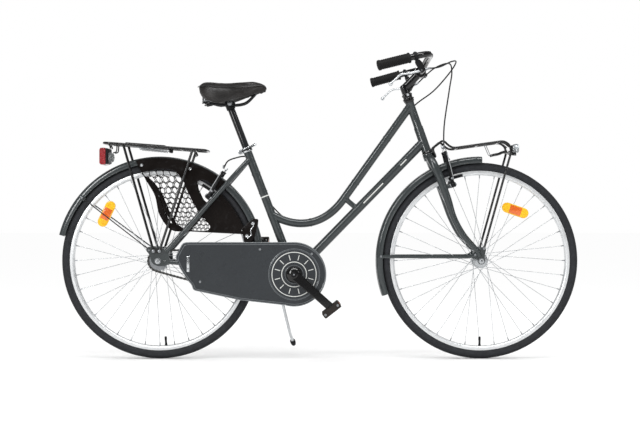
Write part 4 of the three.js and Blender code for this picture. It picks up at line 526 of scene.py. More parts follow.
def bareMetal(name, slot, colour, rough, brushed=0.0, along=(1, 1, 1), metallic=1.0):
    s = Surface(name)
    stretched = s.node("ShaderNodeMapping", {}, {"Vector": s.place, "Scale": along})
    lines = s.noise(260, 4, 0.6, stretched)
    stain = s.step(s.noise(50, 5, 0.65), 0.6, 0.08)
    base = s.clouded(lines, tint(colour, 0.88), tint(colour, 1.04))
    base = s.mix(stain * 0.2, base, tint("#77797a"))
    gloss = s.spread(lines, rough - 0.04, rough + 0.07) + stain * 0.1
    return s.shade(slot, BaseColor=base, Roughness=gloss, Metallic=metallic,
                   Normal=s.bump(lines, 0.04 + brushed, 0.0003))


def rimMetal(axle):  # machined brake track: fine rings about the axle
    s = Surface("rimMetal")
    spot = s.about(axle)
    radius = s.fromAxle(spot)
    rings = s.wave(radius * 9000)
    track = s.step(radius, 0.3085, 0.0004)
    cloud = s.noise(40, 4, 0.6)
    base = s.clouded(cloud, tint("#cfd1d3"), tint("#e2e4e5"))
    base = s.mix(track * 0.35, base, tint("#f0f1f2"))
    gloss = s.spread(cloud, 0.24, 0.36) + track * 0.06
    return s.shade("alloy", BaseColor=base, Roughness=gloss, Metallic=0.5,
                   Normal=s.bump(rings * track, 0.12, 0.0002))


def tyreRubber(axle):
    s = Surface("tyreRubber")
    spot = s.about(axle)
    x, y, z = (s.part(spot, i) for i in range(3))
    angle = s.node("ShaderNodeMath", {"operation": "ARCTAN2"}, {0: z, 1: x})
    radius = s.fromAxle(spot)
    side = s.node("ShaderNodeMath", {"operation": "ABSOLUTE"}, {0: y})
    tread = s.step(radius, 0.3365, 0.0006)
    bars = s.step(s.wave(angle * 260 + side * 900), 0.55, 0.2)
    groove = s.step(s.wave(side * 1500 + 1.2), 0.6, 0.25)
    ribs = s.step(s.wave(radius * 4200), 0.3, 0.4)
    height = (bars * 0.7 + groove * 0.6) * tread + ribs * (1 - tread) * 0.3
    dust = s.noise(70, 5, 0.65)
    base = s.mix(s.range(dust, 0.35, 0.7, 0.0, 1.0), tint("#26272a"), tint("#333539"))
    base = s.mix(tread * s.spread(dust, 0.2, 0.6), base, tint("#1c1d1f"))
    fine = s.bump(s.noise(1200, 2), 0.15, 0.0002)
    return s.shade("tyre", BaseColor=base, Roughness=s.spread(dust, 0.72, 0.9),
                   Normal=s.bump(0 - height, 0.8, 0.0011, fine), Specular=0.25)


def saddleSkin():
    s = Surface("saddleSkin")
    creases = s.cells(620, "DISTANCE_TO_EDGE")
    pores = s.cells(1700)
    cloud = s.noise(30, 4, 0.6)
    rubbed = s.step(s.noise(16, 3), 0.55, 0.1)
    base = s.clouded(cloud, tint("#100d0c"), tint("#1c1816"))
    base = s.mix(rubbed * 0.25, base, tint("#2a2624"))
    grain = s.bump(s.range(creases, 0.0, 0.25, 0.0, 1.0), 0.35, 0.0004, s.bump(pores, 0.2, 0.0002))
    return s.shade("saddle_skin", BaseColor=base, Normal=grain, Specular=0.4,
                   Roughness=s.spread(cloud, 0.34, 0.48) - rubbed * 0.05)


def rubberBlack(name, slot, colour, rough=0.68):
    s = Surface(name)
    grain = s.noise(1100, 3)
    wear = s.step(s.noise(80, 5, 0.65), 0.58, 0.06)
    base = s.mix(wear * 0.4, tint(colour), tint(colour, 1.8))
    return s.shade(slot, BaseColor=base, Roughness=s.spread(grain, rough - 0.05, rough + 0.12),
                   Normal=s.bump(grain, 0.25, 0.0003), Specular=0.25)


def prismLens(name, slot, colour, deep, paintedGlow):  # small cube corners under a clear face
    s = Surface(name)
    cell = s.cells(330, "DISTANCE_TO_EDGE")
    facet = s.cells(330, "F1", None, "Color")
    tone = s.node("ShaderNodeSeparateColor", {}, {0: facet}, 0)
    base = s.mix(s.range(tone, 0.0, 1.0, 0.0, 1.0), tint(deep), tint(colour))
    base = s.mix(s.range(cell, 0.0, 0.12, 0.5, 0.0), base, tint(deep, 0.7))
    # the emission is painted glow: the lenses shine by themselves, standing in for light they would reflect
    return s.shade(slot, BaseColor=base, Roughness=s.range(tone, 0.0, 1.0, 0.12, 0.3),
                   Normal=s.bump(cell, 0.5, 0.0008), CoatWeight=1.0, CoatRoughness=0.03,
                   EmissionColor=base, EmissionStrength=paintedGlow)


def clearPlastic():
    s = Surface("clearPlastic")
    ribs = s.wave(s.part(s.place, 2) * 2600)
    haze = s.noise(60, 3)
    return s.shade("red_lens", BaseColor=s.mix(haze, tint("#dfe5e8"), tint("#f4f6f7")),
                   Roughness=s.spread(haze, 0.08, 0.2), Normal=s.bump(ribs, 0.3, 0.0004),
                   TransmissionWeight=0.8, IOR=1.46)


finishes = {
    "frame": glossPaint("framePaint", "frame_paint", paints["frame"]),
    "guard": glossPaint("guardPaint", "guard_paint", paints["guard"], 0.7),
    "case": glossPaint("casePaint", "guard_paint", paints["case"], 0.3, 0.35),
    # the rim finish is a lighter grey: painted highlight along the chaincase's edges and disc rings
    "rim": glossPaint("rimPaint", "guard_paint", "#6d7174", 0.2),
    "stripe": glossPaint("stripePaint", "frame_paint", paints["white"], 0.2),
    "metal": powderBlack("blackPowder", "black_metal", "#141517", 0.4, 0.15),
    "gloss": powderBlack("blackGloss", "black_metal", "#060607", 0.16, 0.85),
    "plastic": mouldedBlack("mouldedPlastic", "black_plastic", "#17181a"),
    "panel": mouldedBlack("panelPlastic", "black_plastic", "#120d0b", 0.22, 1100, 0.06),
    "alloy": bareMetal("castAlloy", "alloy", "#b6b9bb", 0.3),
    "postBlack": powderBlack("postBlack", "alloy", "#1c1d1f", 0.26, 0.5),
    "brushed": bareMetal("brushedAlloy", "alloy", "#d2d5d7", 0.3, 0.02, (1, 8, 8), 0.8),
    "chrome": bareMetal("chromePlate", "chrome", "#d9dcde", 0.1),
    "steel": bareMetal("zincSteel", "steel", "#9a9da0", 0.34, 0.06),
    "spoke": bareMetal("spokeSteel", "alloy", "#c4c7c9", 0.26, metallic=0.5),
    "chain": bareMetal("oiledSteel", "steel", "#5b5b5a", 0.38, 0.05),
    "skin": saddleSkin(),
    "thread": rubberBlack("seamThread", "saddle_skin", "#2c2c2c", 0.75),
    "grip": rubberBlack("gripRubber", "grip_rubber", "#0e0e0f"),
    "pedal": rubberBlack("pedalRubber", "black_plastic", "#2a2522", 0.72),
    "cable": rubberBlack("cableSleeve", "cable_black", "#141516", 0.45),
    "pad": rubberBlack("padRubber", "black_plastic", "#1d1e20", 0.8),
    # the last number of each lens is its painted glow
    "orange": prismLens("orangePrism", "amber", "#f27000", "#d85c00", 0.08),
    "yellow": prismLens("yellowPrism", "amber", "#ffd800", "#eea800", 0.12),
    "red": prismLens("redPrism", "red_lens", "#ae0f1c", "#7c0a14", 0.05),
    "clear": clearPlastic(),
}
for end, axle in (("rear", rearAxle), ("front", frontAxle)):
    finishes[end + "Rim"], finishes[end + "Tyre"] = rimMetal(axle), tyreRubber(axle)
print("finishes ready")

# Wheels

wheel = {
    "tyreWidth": 37, "rimWidth": 24.4, "rimDepth": 16,
    "spokes": 36, "spokeRadius": 1.0, "crossing": 60, "flange": 26, "flangeY": 31, "barrel": 15,
    "nipple": 11, "steps": 144,
    "valveAngle": {"rear": -85.8, "front": -90},
    # share of the tyre's height, share of its half width
    "tyreShape": [(0.0, 0.57), (0.1, 0.74), (0.22, 0.9), (0.36, 0.985), (0.48, 1.0), (0.6, 0.965),
                  (0.72, 0.87), (0.82, 0.72), (0.9, 0.55), (0.955, 0.36), (0.99, 0.17), (1.0, 0.0)],
}


def tyre(name, axle, body):
    bm = bmesh.new()
    height = bike["tyreRadius"] - bike["rimRadius"] - 0.3
    half = [(bike["rimRadius"] + 0.3 + height * up, wheel["tyreWidth"] / 2 * out)
            for up, out in wheel["tyreShape"]]
    profile = half + [(radius, -y) for radius, y in reversed(half[:-1])]
    addTurned(bm, profile, alongY(axle), wheel["steps"], closed=True)
    makePiece(name + "Tyre", bm, body, name + "Tyre", name + "_tyre", 60)


def rim(name, axle, body):
    bm = bmesh.new()
    outer, half = bike["rimRadius"], wheel["rimWidth"] / 2
    inner = outer - wheel["rimDepth"]
    side = [(inner, 5.2), (inner + 1.2, 8.2), (inner + 5, 11.4), (outer - 9.5, half - 0.35),
            (outer - 9, half), (outer - 1, half), (outer, half - 0.5), (outer, half - 1.8),
            (outer - 4, half - 2.2), (outer - 7, half - 4), (outer - 8.5, 3)]
    addTurned(bm, mirrorLoop(side), alongY(axle), wheel["steps"], closed=True)
    for i in range(wheel["spokes"]):
        turn, sign, long = 360 * i / wheel["spokes"], 1 if i % 2 else -1, wheel["nipple"]
        at = onCircle(axle, inner + 0.8, turn, 0.6 * sign)
        tip = onCircle(axle, inner - long, turn, 1.2 * sign)
        nipple = [(0, 0), (2.6, 0), (2.6, 1.6), (1.9, 2.4), (1.6, long), (0, long)]
        addTurned(bm, nipple, pointing(at, tip), 8, 1)
    makePiece(name + "Rim", bm, body, name + "Rim steel", name + "_rim")


def valve(name, axle, body):
    bm = bmesh.new()
    angle = wheel["valveAngle"][name]
    inner = bike["rimRadius"] - wheel["rimDepth"]
    stand = pointing(onCircle(axle, inner + 1, angle), onCircle(axle, inner - 30, angle))
    addTurned(bm, [(0, 0), (5.2, 0), (4.6, 3), (3.9, 8), (3.8, 20), (0, 20)], stand, 20, 0, bend=0.6)
    addTurned(bm, [(0, 20), (4.4, 20), (4.4, 30), (3.4, 33), (0, 33)], stand, 12, 1, bend=0.5)
    makePiece(name + "Valve", bm, body, "pad plastic")


def hub(name, axle, body, endY):
    bm = bmesh.new()
    f, y, b = wheel["flange"], wheel["flangeY"], wheel["barrel"]
    side = [(6, endY), (10, endY), (10, y + 4), (13.5, y + 1.5), (f - 1, y), (f, y - 1), (f, y - 3),
            (f - 1, y - 4), (b + 4, y - 4.6), (b + 1, y - 8), (b, y - 15), (b - 1, 6)]
    addTurned(bm, mirrorLoop(side), alongY(axle), 64, closed=True)
    for sign in (1, -1):  # dust caps and cones
        stand = pointing(axle + vec(0, sign * (endY - 6), 0), axle + vec(0, sign * endY, 0))
        addTurned(bm, [(7, 0), (12.2, 0), (12.2, 2), (11, 4.4), (8, 5), (7, 5)], stand, 40, 1, True)
    makePiece(name + "Hub", bm, body, "alloy steel", name + "_hub")
    spokes = bmesh.new()
    for i in range(wheel["spokes"]):
        turn, sign, lead = 360 * i / wheel["spokes"], 1 if i % 2 else -1, 1 if i % 4 < 2 else -1
        inner = bike["rimRadius"] - wheel["rimDepth"] - wheel["nipple"] + 3
        # alternate spokes leave the flange outwards and inwards
        across = sign * (y - 2 + lead * 1.6)
        elbow = onCircle(axle, f - 2, turn + lead * wheel["crossing"], across)
        hole = onCircle(axle, f - 4, turn + lead * wheel["crossing"], across)
        head = hole + vec(0, -sign * lead * 3.2, 0)
        end = onCircle(axle, inner, turn, sign * 1.2)
        line = roundedLine([head, hole, elbow, end], 2, 3)
        addTube(spokes, line, wheel["spokeRadius"], 8)
        cap = [(0, 0), (2.1, 0), (1.8, 0.9), (0, 1.1)]
        addTurned(spokes, cap, facing(head, head - hole), 8)
    makePiece(name + "Spokes", spokes, body, "spoke", "", 60)


reflectors = {
    "length": 95, "width": 34,
    "rear": {"insideRim": 68, "angle": 138.6, "lean": 15.4},
    "front": {"insideRim": 101, "angle": 55, "lean": 16},
}


def stadium(length, width, steps=12):
    reach = (length - width) / 2
    return arc((reach, 0), width / 2, -90, 90, steps) + arc((-reach, 0), width / 2, 90, 270, steps)


def reflector(name, axle, body):
    r = reflectors[name]
    low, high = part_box(name + "_reflector")
    outer, inner = low.y * 1000, high.y * 1000
    turn = r["angle"] - 90 + r["lean"]
    middle = onCircle(axle, bike["rimRadius"] - r["insideRim"], r["angle"])
    lean = shift(middle) @ turned(-turn, "Y")
    bm = bmesh.new()
    length, width = reflectors["length"], reflectors["width"]
    addPlate(bm, stadium(length, width, 16), inner, outer + 2, edge=1.2, finish=1, matrix=lean)
    addPlate(bm, stadium(length - 4, width - 4, 16), outer + 2.5, outer, edge=1, finish=1, matrix=lean)
    half = length * 0.23
    for sign in (1, -1):  # both faces have the deeper middle
        y = outer if sign < 0 else inner
        addBlock(bm, (-half, y - 0.45, -width / 2 + 2.4), (half, y + 0.45, width / 2 - 2.4), 0.4, 0, lean)
        for x in (-half, half):
            addBlock(bm, (x - 0.7, y - 0.7, -width / 2 + 2), (x + 0.7, y + 0.7, width / 2 - 2), 0.3, 1, lean)
    for x in (-half * 0.8, half * 0.8):  # clips on to the spokes
        addBlock(bm, (x - 3, inner - 1, -7), (x + 3, inner + 4.5, 7), 1, 2, lean)
    makePiece(name + "Reflector", bm, body, "orange yellow plastic", name + "_reflector")


def axleSet(name, axle, body, radius, nutY):
    bm = bmesh.new()
    end = nutY + 8 + radius
    thread = [(0, -end)] + [(radius - (0.5 if i % 2 else 0), -end + 1 + i * (end - 1) / 45)
                            for i in range(91)]
    addTurned(bm, thread + [(0, end)], alongY(axle), 20)
    for sign in (1, -1):
        stand = pointing(axle + vec(0, sign * nutY, 0), axle + vec(0, sign * (nutY + 8), 0))
        addTurned(bm, [(radius, 0), (11, 0), (11, 1.4), (radius, 1.4)], stand, 32, 0, True, bend=0.3)
        addTurned(bm, [(radius, 1.4), (9, 1.4), (9, 7), (7.8, 8), (radius, 8)], stand, 6, 1, True)
    makePiece(name + "AxleSet", bm, body, "steel chrome", name + "_axle")


for name, axle, end in (("rear", rearAxle, 58), ("front", frontAxle, 49.5)):
    body = name + "_wheel"
    tyre(name, axle, body)
    rim(name, axle, body)
    valve(name, axle, body)
    hub(name, axle, body, end)
    reflector(name, axle, body)
axleSet("rear", rearAxle, "frame", 5, 63.8)
axleSet("front", frontAxle, "steering", 4.6, 54.3)
print("wheels ready")

# Mudguards

guards = {
    "width": 46, "depth": 23, "wall": 1.5, "bead": 1.5,
    "rear": (-5, 165.4), "front": (89, 199.8), "rearStay": 140.7, "frontStay": 177.6,
    # half the section: share of the half width, drop below the crown
    "section": [(0, 0), (0.3, 0.1), (0.52, 0.7), (0.72, 2.4), (0.87, 5.6), (0.96, 10), (1, 15.5), (1, 22)],
}


def guard(name, axle, body):
    bm = bmesh.new()
    start, end = guards[name]
    half, outer = guards["width"] / 2, bike["guardRadius"]
    skin = [(outer - drop, half * share) for share, drop in guards["section"]]
    over = skin[::-1] + [(radius, -y) for radius, y in skin[1:]]
    wall = guards["wall"]
    under = [(radius - wall, y * (half - wall) / half) for radius, y in reversed(over)]
    steps = round((end - start) * 0.75)
    addTurned(bm, over + under, alongY(axle), steps, closed=True, start=-end, sweep=end - start)
    bead = guards["bead"]
    for side in (1, -1):  # rolled edges
        y = side * (half - bead * 0.8)
        line = [onCircle(axle, outer - 21.8, start + (end - start) * i / steps, y) for i in range(steps + 1)]
        addTube(bm, line, bead, 12)
    ridge = [onCircle(axle, outer - 0.4, start + (end - start) * i / steps) for i in range(steps + 1)]
    addTube(bm, ridge, 1.3, 8)
    for angle in (start, end):  # turned-in ends
        lip = [onCircle(axle, outer - drop - 0.8, angle, sign * half * share * 0.985)
               for sign, part in ((1, guards["section"][::-1]), (-1, guards["section"][1:]))
               for share, drop in part]
        addTube(bm, lip, 1.2, 8)
    makePiece(name + "Guard", bm, body, "guard", name + "_mudguard", 50)


guard("rear", rearAxle, "frame")
guard("front", frontAxle, "steering")


def rearStay():
    bm = bmesh.new()
    foot = rearAxle + vec(-33, 65.8, 42.5)
    top = onCircle(rearAxle, bike["guardRadius"] - 17, guards["rearStay"])
    lead = foot.lerp(top, 0.05)
    lead.y = foot.y
    for side in (1, -1):
        flip = Matrix.Scale(side, 4, (0, 1, 0))
        line = [foot, lead, top + vec(0, 27, 0), top]
        addTube(bm, roundedLine(line, 5), 2, 12, matrix=flip)
        spot = top + vec(0, 24, 0)  # its bridge plate on the guard
        out = (top - rearAxle).normalized()
        near, far = spot - out * 12, spot + out * 8
        addBand(bm, [flip @ near, flip @ far], 13, 1.6, finish=1)
        addBolt(bm, flip @ (spot + vec(0, 2.6, 0)), vec(0, side, 0), 2.6, 2.6, 2)
        addTurned(bm, [(2.3, 0), (4.6, 0), (4.6, 5), (2.3, 5)],
                  pointing(flip @ foot, flip @ (foot + vec(0, 1, 0))) @ shift((0, 0, -2.5)),
                  20, 1, True, bend=0.4)
    makePiece("rearGuardStay", bm, "frame", "metal guard steel", "rear_mudguard_stay")


def frontStay():
    bm = bmesh.new()
    footY = 55.3
    bend, foot = (onSteering(49 + x * 12, footY, z * 12) for x, z in ((-2.9, 2.3), (-1.3, 2.3)))
    top = onCircle(frontAxle, bike["guardRadius"] - 17, guards["frontStay"])
    for side in (1, -1):
        line = [top + vec(-6, 24.3, 0), top + vec(12, 24.3, 0), bend, foot]
        line = [vec(p.x, p.y * side, p.z) for p in line]
        addBand(bm, roundedLine(line, 12), 12, 2)
        addBolt(bm, vec(foot.x + 2, side * (footY + 1), foot.z), vec(0, side, 0), 3, 3, 1)
        addBolt(bm, vec(top.x, side * 25.4, top.z), vec(0, side, 0), 2.6, 2.6, 1)
    addTube(bm, [top + vec(0, -25, 0), top + vec(0, 25, 0)], 2, 12)
    makePiece("frontGuardStay", bm, "steering", "guard steel", "front_mudguard_stay")


rearStay()
frontStay()
print("mudguards ready")

# Frame

tubes = {
    "head": 14.7, "headFoot": 16.4, "headStep": 519, "cup": 19, "top": 14.3, "down": 15.9, "seat": 15,
    "brace": 9.5, "braceShares": (0.985, 0.49), "topStraight": 410, "topBend": 110, "topFoot": 225,
    "shell": 20, "shellWidth": 68, "chainStay": 9.5, "seatStay": 8.5,
    "stripes": [(350, 449), (537, 567)], "band": 293.5,
}
bandEdge = 0.12  # how far painted stripes stand proud


def topLine():  # the swan neck, from the head tube down to the seat tube
    head = onSteering(0, 0, bike["headTubeEnd"] - 20)
    down = vec(-cos(radians(54.4)), 0, -sin(radians(54.4)))
    back = vec(cos(radians(31)), 0, -sin(radians(31)))
    bend, foot = head + down * tubes["topStraight"], onSeatTube(tubes["topFoot"])
    a, b = bend + down * tubes["topBend"], foot + back * tubes["topBend"]
    return [head] + [(1 - t)**3 * bend + 3 * t * (1 - t)**2 * a + 3 * t * t * (1 - t) * b + t**3 * foot
                     for t in (i / 40 for i in range(41))]


swanNeck = topLine()
downEnd = onSteering(0, 0, bike["headTubeStart"] + 43)


def headTube():
    bm = bmesh.new()
    start, end, r = bike["headTubeStart"], bike["headTubeEnd"], tubes["head"]
    foot, step, cup = tubes["headFoot"], tubes["headStep"], tubes["cup"]
    tube = [(13.2, start + 8), (foot + 1, start + 8), (foot + 1, start + 13), (foot, start + 15),
            (foot, step - 2), (r, step + 1), (r, end - 15), (r + 1, end - 13), (r + 1, end - 8),
            (13.2, end - 8)]
    addTurned(bm, tube, steering, 48, 0, True)
    for a, b, c in ((start, start + 3, start + 8.5), (end, end - 3, end - 8.5)):
        profile = [(13.2, a), (cup - 0.6, a), (cup, a + (b - a) * 0.2), (cup, b),
                   (cup - 1.5, b + (c - b) * 0.35), (cup - 2.4, c), (13.2, c)]
        addTurned(bm, profile, steering, 48, 1, True)
    makePiece("headTube", bm, "frame", "frame gloss", "head_tube")


def mainTubes():
    bm = bmesh.new()
    addTube(bm, swanNeck, tubes["top"], 32)
    addTube(bm, [bracket, downEnd], tubes["down"], 32)
    top = swanNeck[0].lerp(swanNeck[1], tubes["braceShares"][0])
    foot = bracket.lerp(downEnd, tubes["braceShares"][1])
    shares = [0, 0.16, 0.2, 0.25, 0.32, 0.7, 0.76, 0.8, 0.84, 1]
    sizes = [1.5, 1.5, 1.22, 1.06, 1, 1, 1.06, 1.22, 1.5, 1.5]
    addTube(bm, [top.lerp(foot, s) for s in shares], [tubes["brace"] * s for s in sizes], 24)
    # weld beads where the tubes meet
    down = (downEnd - bracket).normalized()
    neck = (swanNeck[1] - swanNeck[0]).normalized()
    spots = [(swanNeck[0] + neck * 24, neck, tubes["top"]), (downEnd - down * 26, down, tubes["down"]),
             (bracket + down * 21.5, down, tubes["down"]),
             (swanNeck[-4], (swanNeck[-1] - swanNeck[-6]).normalized(), tubes["top"])]
    for spot, along, size in spots:
        ring = [(size + 1.0 * cos(a), 1.6 * sin(a)) for a in (i * pi / 4 for i in range(8))]
        addTurned(bm, ring, facing(spot, along), 40, 0, True)
    right = axesAt(bracket, vec(0, -1, 0), down.cross(vec(0, -1, 0)), down)
    for side in (0, 180):
        for start, end in tubes["stripes"]:
            size = tubes["down"]
            strip = [(size - 1, start), (size + bandEdge, start), (size + bandEdge, end), (size - 1, end)]
            addTurned(bm, strip, right, 6, 1, True, start=side - 7, sweep=14)
    makePiece("mainTubes", bm, "frame", "frame stripe", "top_tube down_tube")


def seatTube():
    bm = bmesh.new()
    size, end = tubes["seat"], bike["seatTubeLength"]
    wall = [(13.1, 30), (13.1, end), (size, end), (size, end - 40), (size, 0), (13.1, 0)]
    addTurned(bm, wall, seatLine, 48, 0, True)
    band = tubes["band"]
    strip = [(size - 1, band - 2.2), (size + bandEdge, band - 2.2), (size + bandEdge, band + 2.2),
             (size - 1, band + 2.2)]
    addTurned(bm, strip, seatLine, 48, 1, True)
    half, shell = tubes["shellWidth"] / 2, tubes["shell"]
    profile = [(16.8, -half), (shell - 0.6, -half), (shell, -half + 1), (shell, half - 1),
               (shell - 0.6, half), (16.8, half)]
    addTurned(bm, profile, alongY(bracket), 48, 0, True)
    makePiece("seatTube", bm, "frame", "frame stripe", "seat_tube bottom_bracket_shell")
    cup = bmesh.new()
    for side in (1, -1):
        stand = pointing(bracket + vec(0, side * 20, 0), bracket + vec(0, side * 34, 0))
        ring = [(8.6, 0), (16.4, 0), (16.4, 13.6), (12, 13.6), (11, 12), (8.6, 12)]
        addTurned(cup, ring, stand, 40, 0, True)
        for i in range(8):  # notches for the tool
            spot = stand @ vec(14.2 * cos(i * pi / 4), 14.2 * sin(i * pi / 4), 13.4)
            addBlock(cup, spot - vec(1, 0.5, 1), spot + vec(1, 0.5, 1), 0.3)
    makePiece("bracketCups", cup, "frame", "steel", "bottom_bracket_unit")


dropoutShape = [(-1.5, 0.3), (-1, -0.6), (0, -1), (1.6, -1), (2.3, -0.2), (2.2, 1.5), (1.7, 2.2),
                (0.8, 2.75), (-2.2, 2.9), (-2.4, 2.2), (-1.4, 1)]


def chainStays():
    bm = bmesh.new()
    length = (rearAxle - bracket).length
    places = [0, 91.1 / length, 107.8 / length, 0.5, 0.8, 0.92, 0.965]
    across = [22, 27.75, 33.55, 39, 43.3, 53.1, 61]
    for side in (1, -1):
        line = [bracket.lerp(rearAxle, place) + vec(0, side * y, 0) for place, y in zip(places, across)]
        line = smoothLine(line, 8)
        sizes = [tubes["chainStay"] * (1 - 0.25 * i / (len(line) - 1)) for i in range(len(line))]
        addTube(bm, line, sizes, 24)
        outline = softened([(x * 17, z * 17) for x, z in dropoutShape], 6)
        y = side * bike["dropoutY"]
        addPlate(bm, outline, y - 2.5, y + 2.5, [arc((0, 0), 5.4, 360, 15, 23)], 0.7, 0, shift(rearAxle))
    bridge = bracket.lerp(rearAxle, 1 - (368.3 + 6) / bike["bracketAhead"])
    addTube(bm, [bridge - vec(0, 28, 0), bridge + vec(0, 28, 0)], 6, 20)
    for side, x, z in ((-1, -32, 40), (-1, 6, 39), (1, -32, 40), (1, 6, 39)):
        spot = rearAxle + vec(x, side * 63.5, z)
        addBolt(bm, spot, vec(0, side, 0), 3.4, 3.4, 1)
    makePiece("chainStays", bm, "frame", "frame steel", "chain_stays")


stayTop = onSeatTube(bike["seatTubeLength"] - 42) + vec(-9, 0, 0)
stayUp = (stayTop - rearAxle).normalized()
stayOut = vec(0, -1, 0).cross(stayUp)


def onSeatStay(out, y, along):
    place = rearAxle + stayUp * along + stayOut * out
    place.y = y
    return place


def seatStays():
    bm = bmesh.new()
    length = (stayTop - rearAxle).length
    shares, spread = [0, 0.08, 0.16, 0.35, 1], [0.2, 0.4, 0.54, 0.69, 1]
    for side in (1, -1):
        line = [onSeatStay(0, side * 61 * y, length + (45 - length) * s) for s, y in zip(shares, spread)]
        line = smoothLine(line, 8)
        addTube(bm, line, tubes["seatStay"], 24)
        cap = onSeatStay(0, side * 12, length + 1)
        addTurned(bm, [(0, -9), (7.5, -8), (8.6, -3), (7.4, 3), (4, 7), (0, 8)], facing(cap, stayUp), 24)
        post, eye = onSeatStay(0, side * 43, 285), onSeatStay(9.8, side * 43, 285)
        addTurned(bm, [(0, 0), (7.5, 0), (7.5, 8.8), (6.6, 9.8), (0, 9.8)], pointing(post, eye), 28)
        addTube(bm, [post, onSeatStay(27, side * 43, 285)], 4.8, 16, finish=1)
        addBolt(bm, onSeatStay(26.8, side * 43, 285), stayOut, 5.6, 3.6, 1, True)
    bridge = onSeatStay(0, 0, 374.3)
    addTube(bm, [bridge - vec(0, 33, 0), bridge + vec(0, 33, 0)], 6, 20)
    addBolt(bm, bridge + stayOut * 5.6, stayOut, 3.4, 3.4, 1)
    makePiece("seatStays", bm, "frame", "frame steel", "seat_stays")


headTube()
mainTubes()
seatTube()
chainStays()
seatStays()
print("frame ready")

# Coat guards

coatGuard = {
    "inner": 23.3, "outer": 25.3, "foot": 17.1, "top": 103, "edgeRadius": 362, "lowRadius": 319,
    "rearEdge": [(0.13, 0.315), (0.009, 0.465), (-0.042, 0.669)],
    "window": [(0.841, 0.151), (0.684, 0.356), (0.057, 0.371), (0.02, 0.1), (0.029, -0.18), (0.239, -0.231),
               (0.513, -0.131), (0.75, 0)],
    "mesh": [(-62, 307), (-31, 321), (8, 325), (48, 322), (72, 302), (87, 280), (102, 243), (121, 207),
             (140, 176), (165, 144), (181, 119), (172, 107), (105, 107), (78, 115), (54, 133), (33, 169),
             (15, 211), (-4, 249), (-32, 284)],
    "innerRim": [(-52, 300), (-27, 272), (-7, 244), (11, 211), (20, 180), (33, 156), (46, 138), (62, 123)],
    # narrow cuts that all fan out from one foot
    "slitFoot": [(29, 140), (45, 124)],
    "slits": [(-9, 247), (6, 216), (14, 185), (25, 162), (37, 145), (51, 130)],
    "cell": 24, "strand": 2.6,
    "clip": [(292, 112), (303, 62), (322, 60), (336, 86), (345, 118), (347, 146), (332, 147), (314, 132)],
    "screws": [(310, 88), (331, 132)],
    "ribs": [[(206.7, 220.7), (247.3, 192.1), (275.9, 155.7), (291.8, 127.5), (302, 97)],
             [(121.6, 208.3), (154.1, 151.9), (190.4, 119.3)]],
}


def insideOf(outline, x, z):
    inside = False
    for (ax, az), (bx, bz) in zip(outline, outline[1:] + outline[:1]):
        if (az > z) != (bz > z) and x < (bx - ax) * (z - az) / (bz - az) + ax:
            inside = not inside
    return inside


def warped(u, v):  # lattice steps into place: cells get finer downwards
    z, rows = 330.0, v
    while rows > 0:
        size = coatGuard["cell"] * (0.6 + 0.4 * min(1, (z - 100) / 190))
        part = min(rows, 0.1)
        z -= size * part
        rows -= part
    size = coatGuard["cell"] * (0.6 + 0.4 * min(1, (z - 100) / 190))
    return 60 + u * size - (z - 220) * 0.25, z


def meshCells(region, window):  # irregular honeycomb openings
    dice = random.Random(11)
    shifts, cells = {}, []
    for row in range(0, 18):
        for column in range(-10, 11):
            u, v = column + (row % 2) / 2, row * 0.866
            hole = []
            for corner in range(6):
                angle = radians(-30 - 60 * corner)
                key = (round(u + 0.577 * cos(angle), 2), round(v + 0.577 * sin(angle), 2))
                shift = shifts.setdefault(key, (dice.uniform(-0.11, 0.11), dice.uniform(-0.11, 0.11)))
                hole.append(warped(key[0] + shift[0], key[1] + shift[1]))
            x, z = (sum(p[i] for p in hole) / 6 for i in (0, 1))
            share = 1 - coatGuard["strand"] / coatGuard["cell"]
            hole = softened([(x + (px - x) * share, z + (pz - z) * share) for px, pz in hole], 2.4, 2)
            kept = [p for p in hole if insideOf(region, *p)]
            if len(kept) < len(hole) * 0.2 or any(insideOf(window, *p) for p in hole):
                continue
            if len(kept) < len(hole):
                hole = clipped(hole, kept, region)
            cells.append(hole)
    return cells


def clipped(hole, kept, region):  # an opening kept within its region
    x, z = (sum(p[i] for p in kept) / len(kept) for i in (0, 1))
    made = []
    for (ax, az), (bx, bz) in zip(hole, hole[1:] + hole[:1]):
        for step in range(4):
            px, pz = ax + (bx - ax) * step / 4, az + (bz - az) * step / 4
            share = 1.0
            while share > 0.1 and not insideOf(region, x + (px - x) * share, z + (pz - z) * share):
                share -= 0.04
            made.append((x + (px - x) * share, z + (pz - z) * share))
    return made


def addSheet(bm, outline, holes, fromY, toY, matrix, finish=0):  # a thin panel with many openings
    loops = [tidyLoop(loop) for loop in (outline, *holes)]
    points, edges = [], []
    for loop in loops:
        first = len(points)
        points += [Vector(p) for p in loop]
        edges += [(first + i, first + (i + 1) % len(loop)) for i in range(len(loop))]
    made = geometry.delaunay_2d_cdt(points, edges, [], 0, 1e-4)
    part = bmesh.new()
    knots = [part.verts.new((p.x, toY, p.y)) for p in made[0]]
    for face in made[2]:
        x, z = (sum(made[0][i][axis] for i in face) / len(face) for axis in (0, 1))
        if insideOf(loops[0], x, z) and not any(insideOf(loop, x, z) for loop in loops[1:]):
            part.faces.new([knots[i] for i in face])
    bmesh.ops.delete(part, geom=[v for v in part.verts if not v.link_faces], context="VERTS")
    bmesh.ops.dissolve_limit(part, angle_limit=0.01, verts=part.verts, edges=part.edges, delimit={"NORMAL"})
    back = bmesh.ops.extrude_face_region(part, geom=part.faces[:])
    fresh = [v for v in back["geom"] if isinstance(v, bmesh.types.BMVert)]
    bmesh.ops.translate(part, vec=(0, fromY - toY, 0), verts=fresh)
    bmesh.ops.recalc_face_normals(part, faces=part.faces)
    bmesh.ops.triangulate(part, faces=[f for f in part.faces if len(f.verts) > 4])
    addPart(bm, part, matrix, finish)


def tidyLoop(loop):  # without points on top of each other
    return [p for i, p in enumerate(loop) if dist(p, loop[i - 1]) > 0.05]


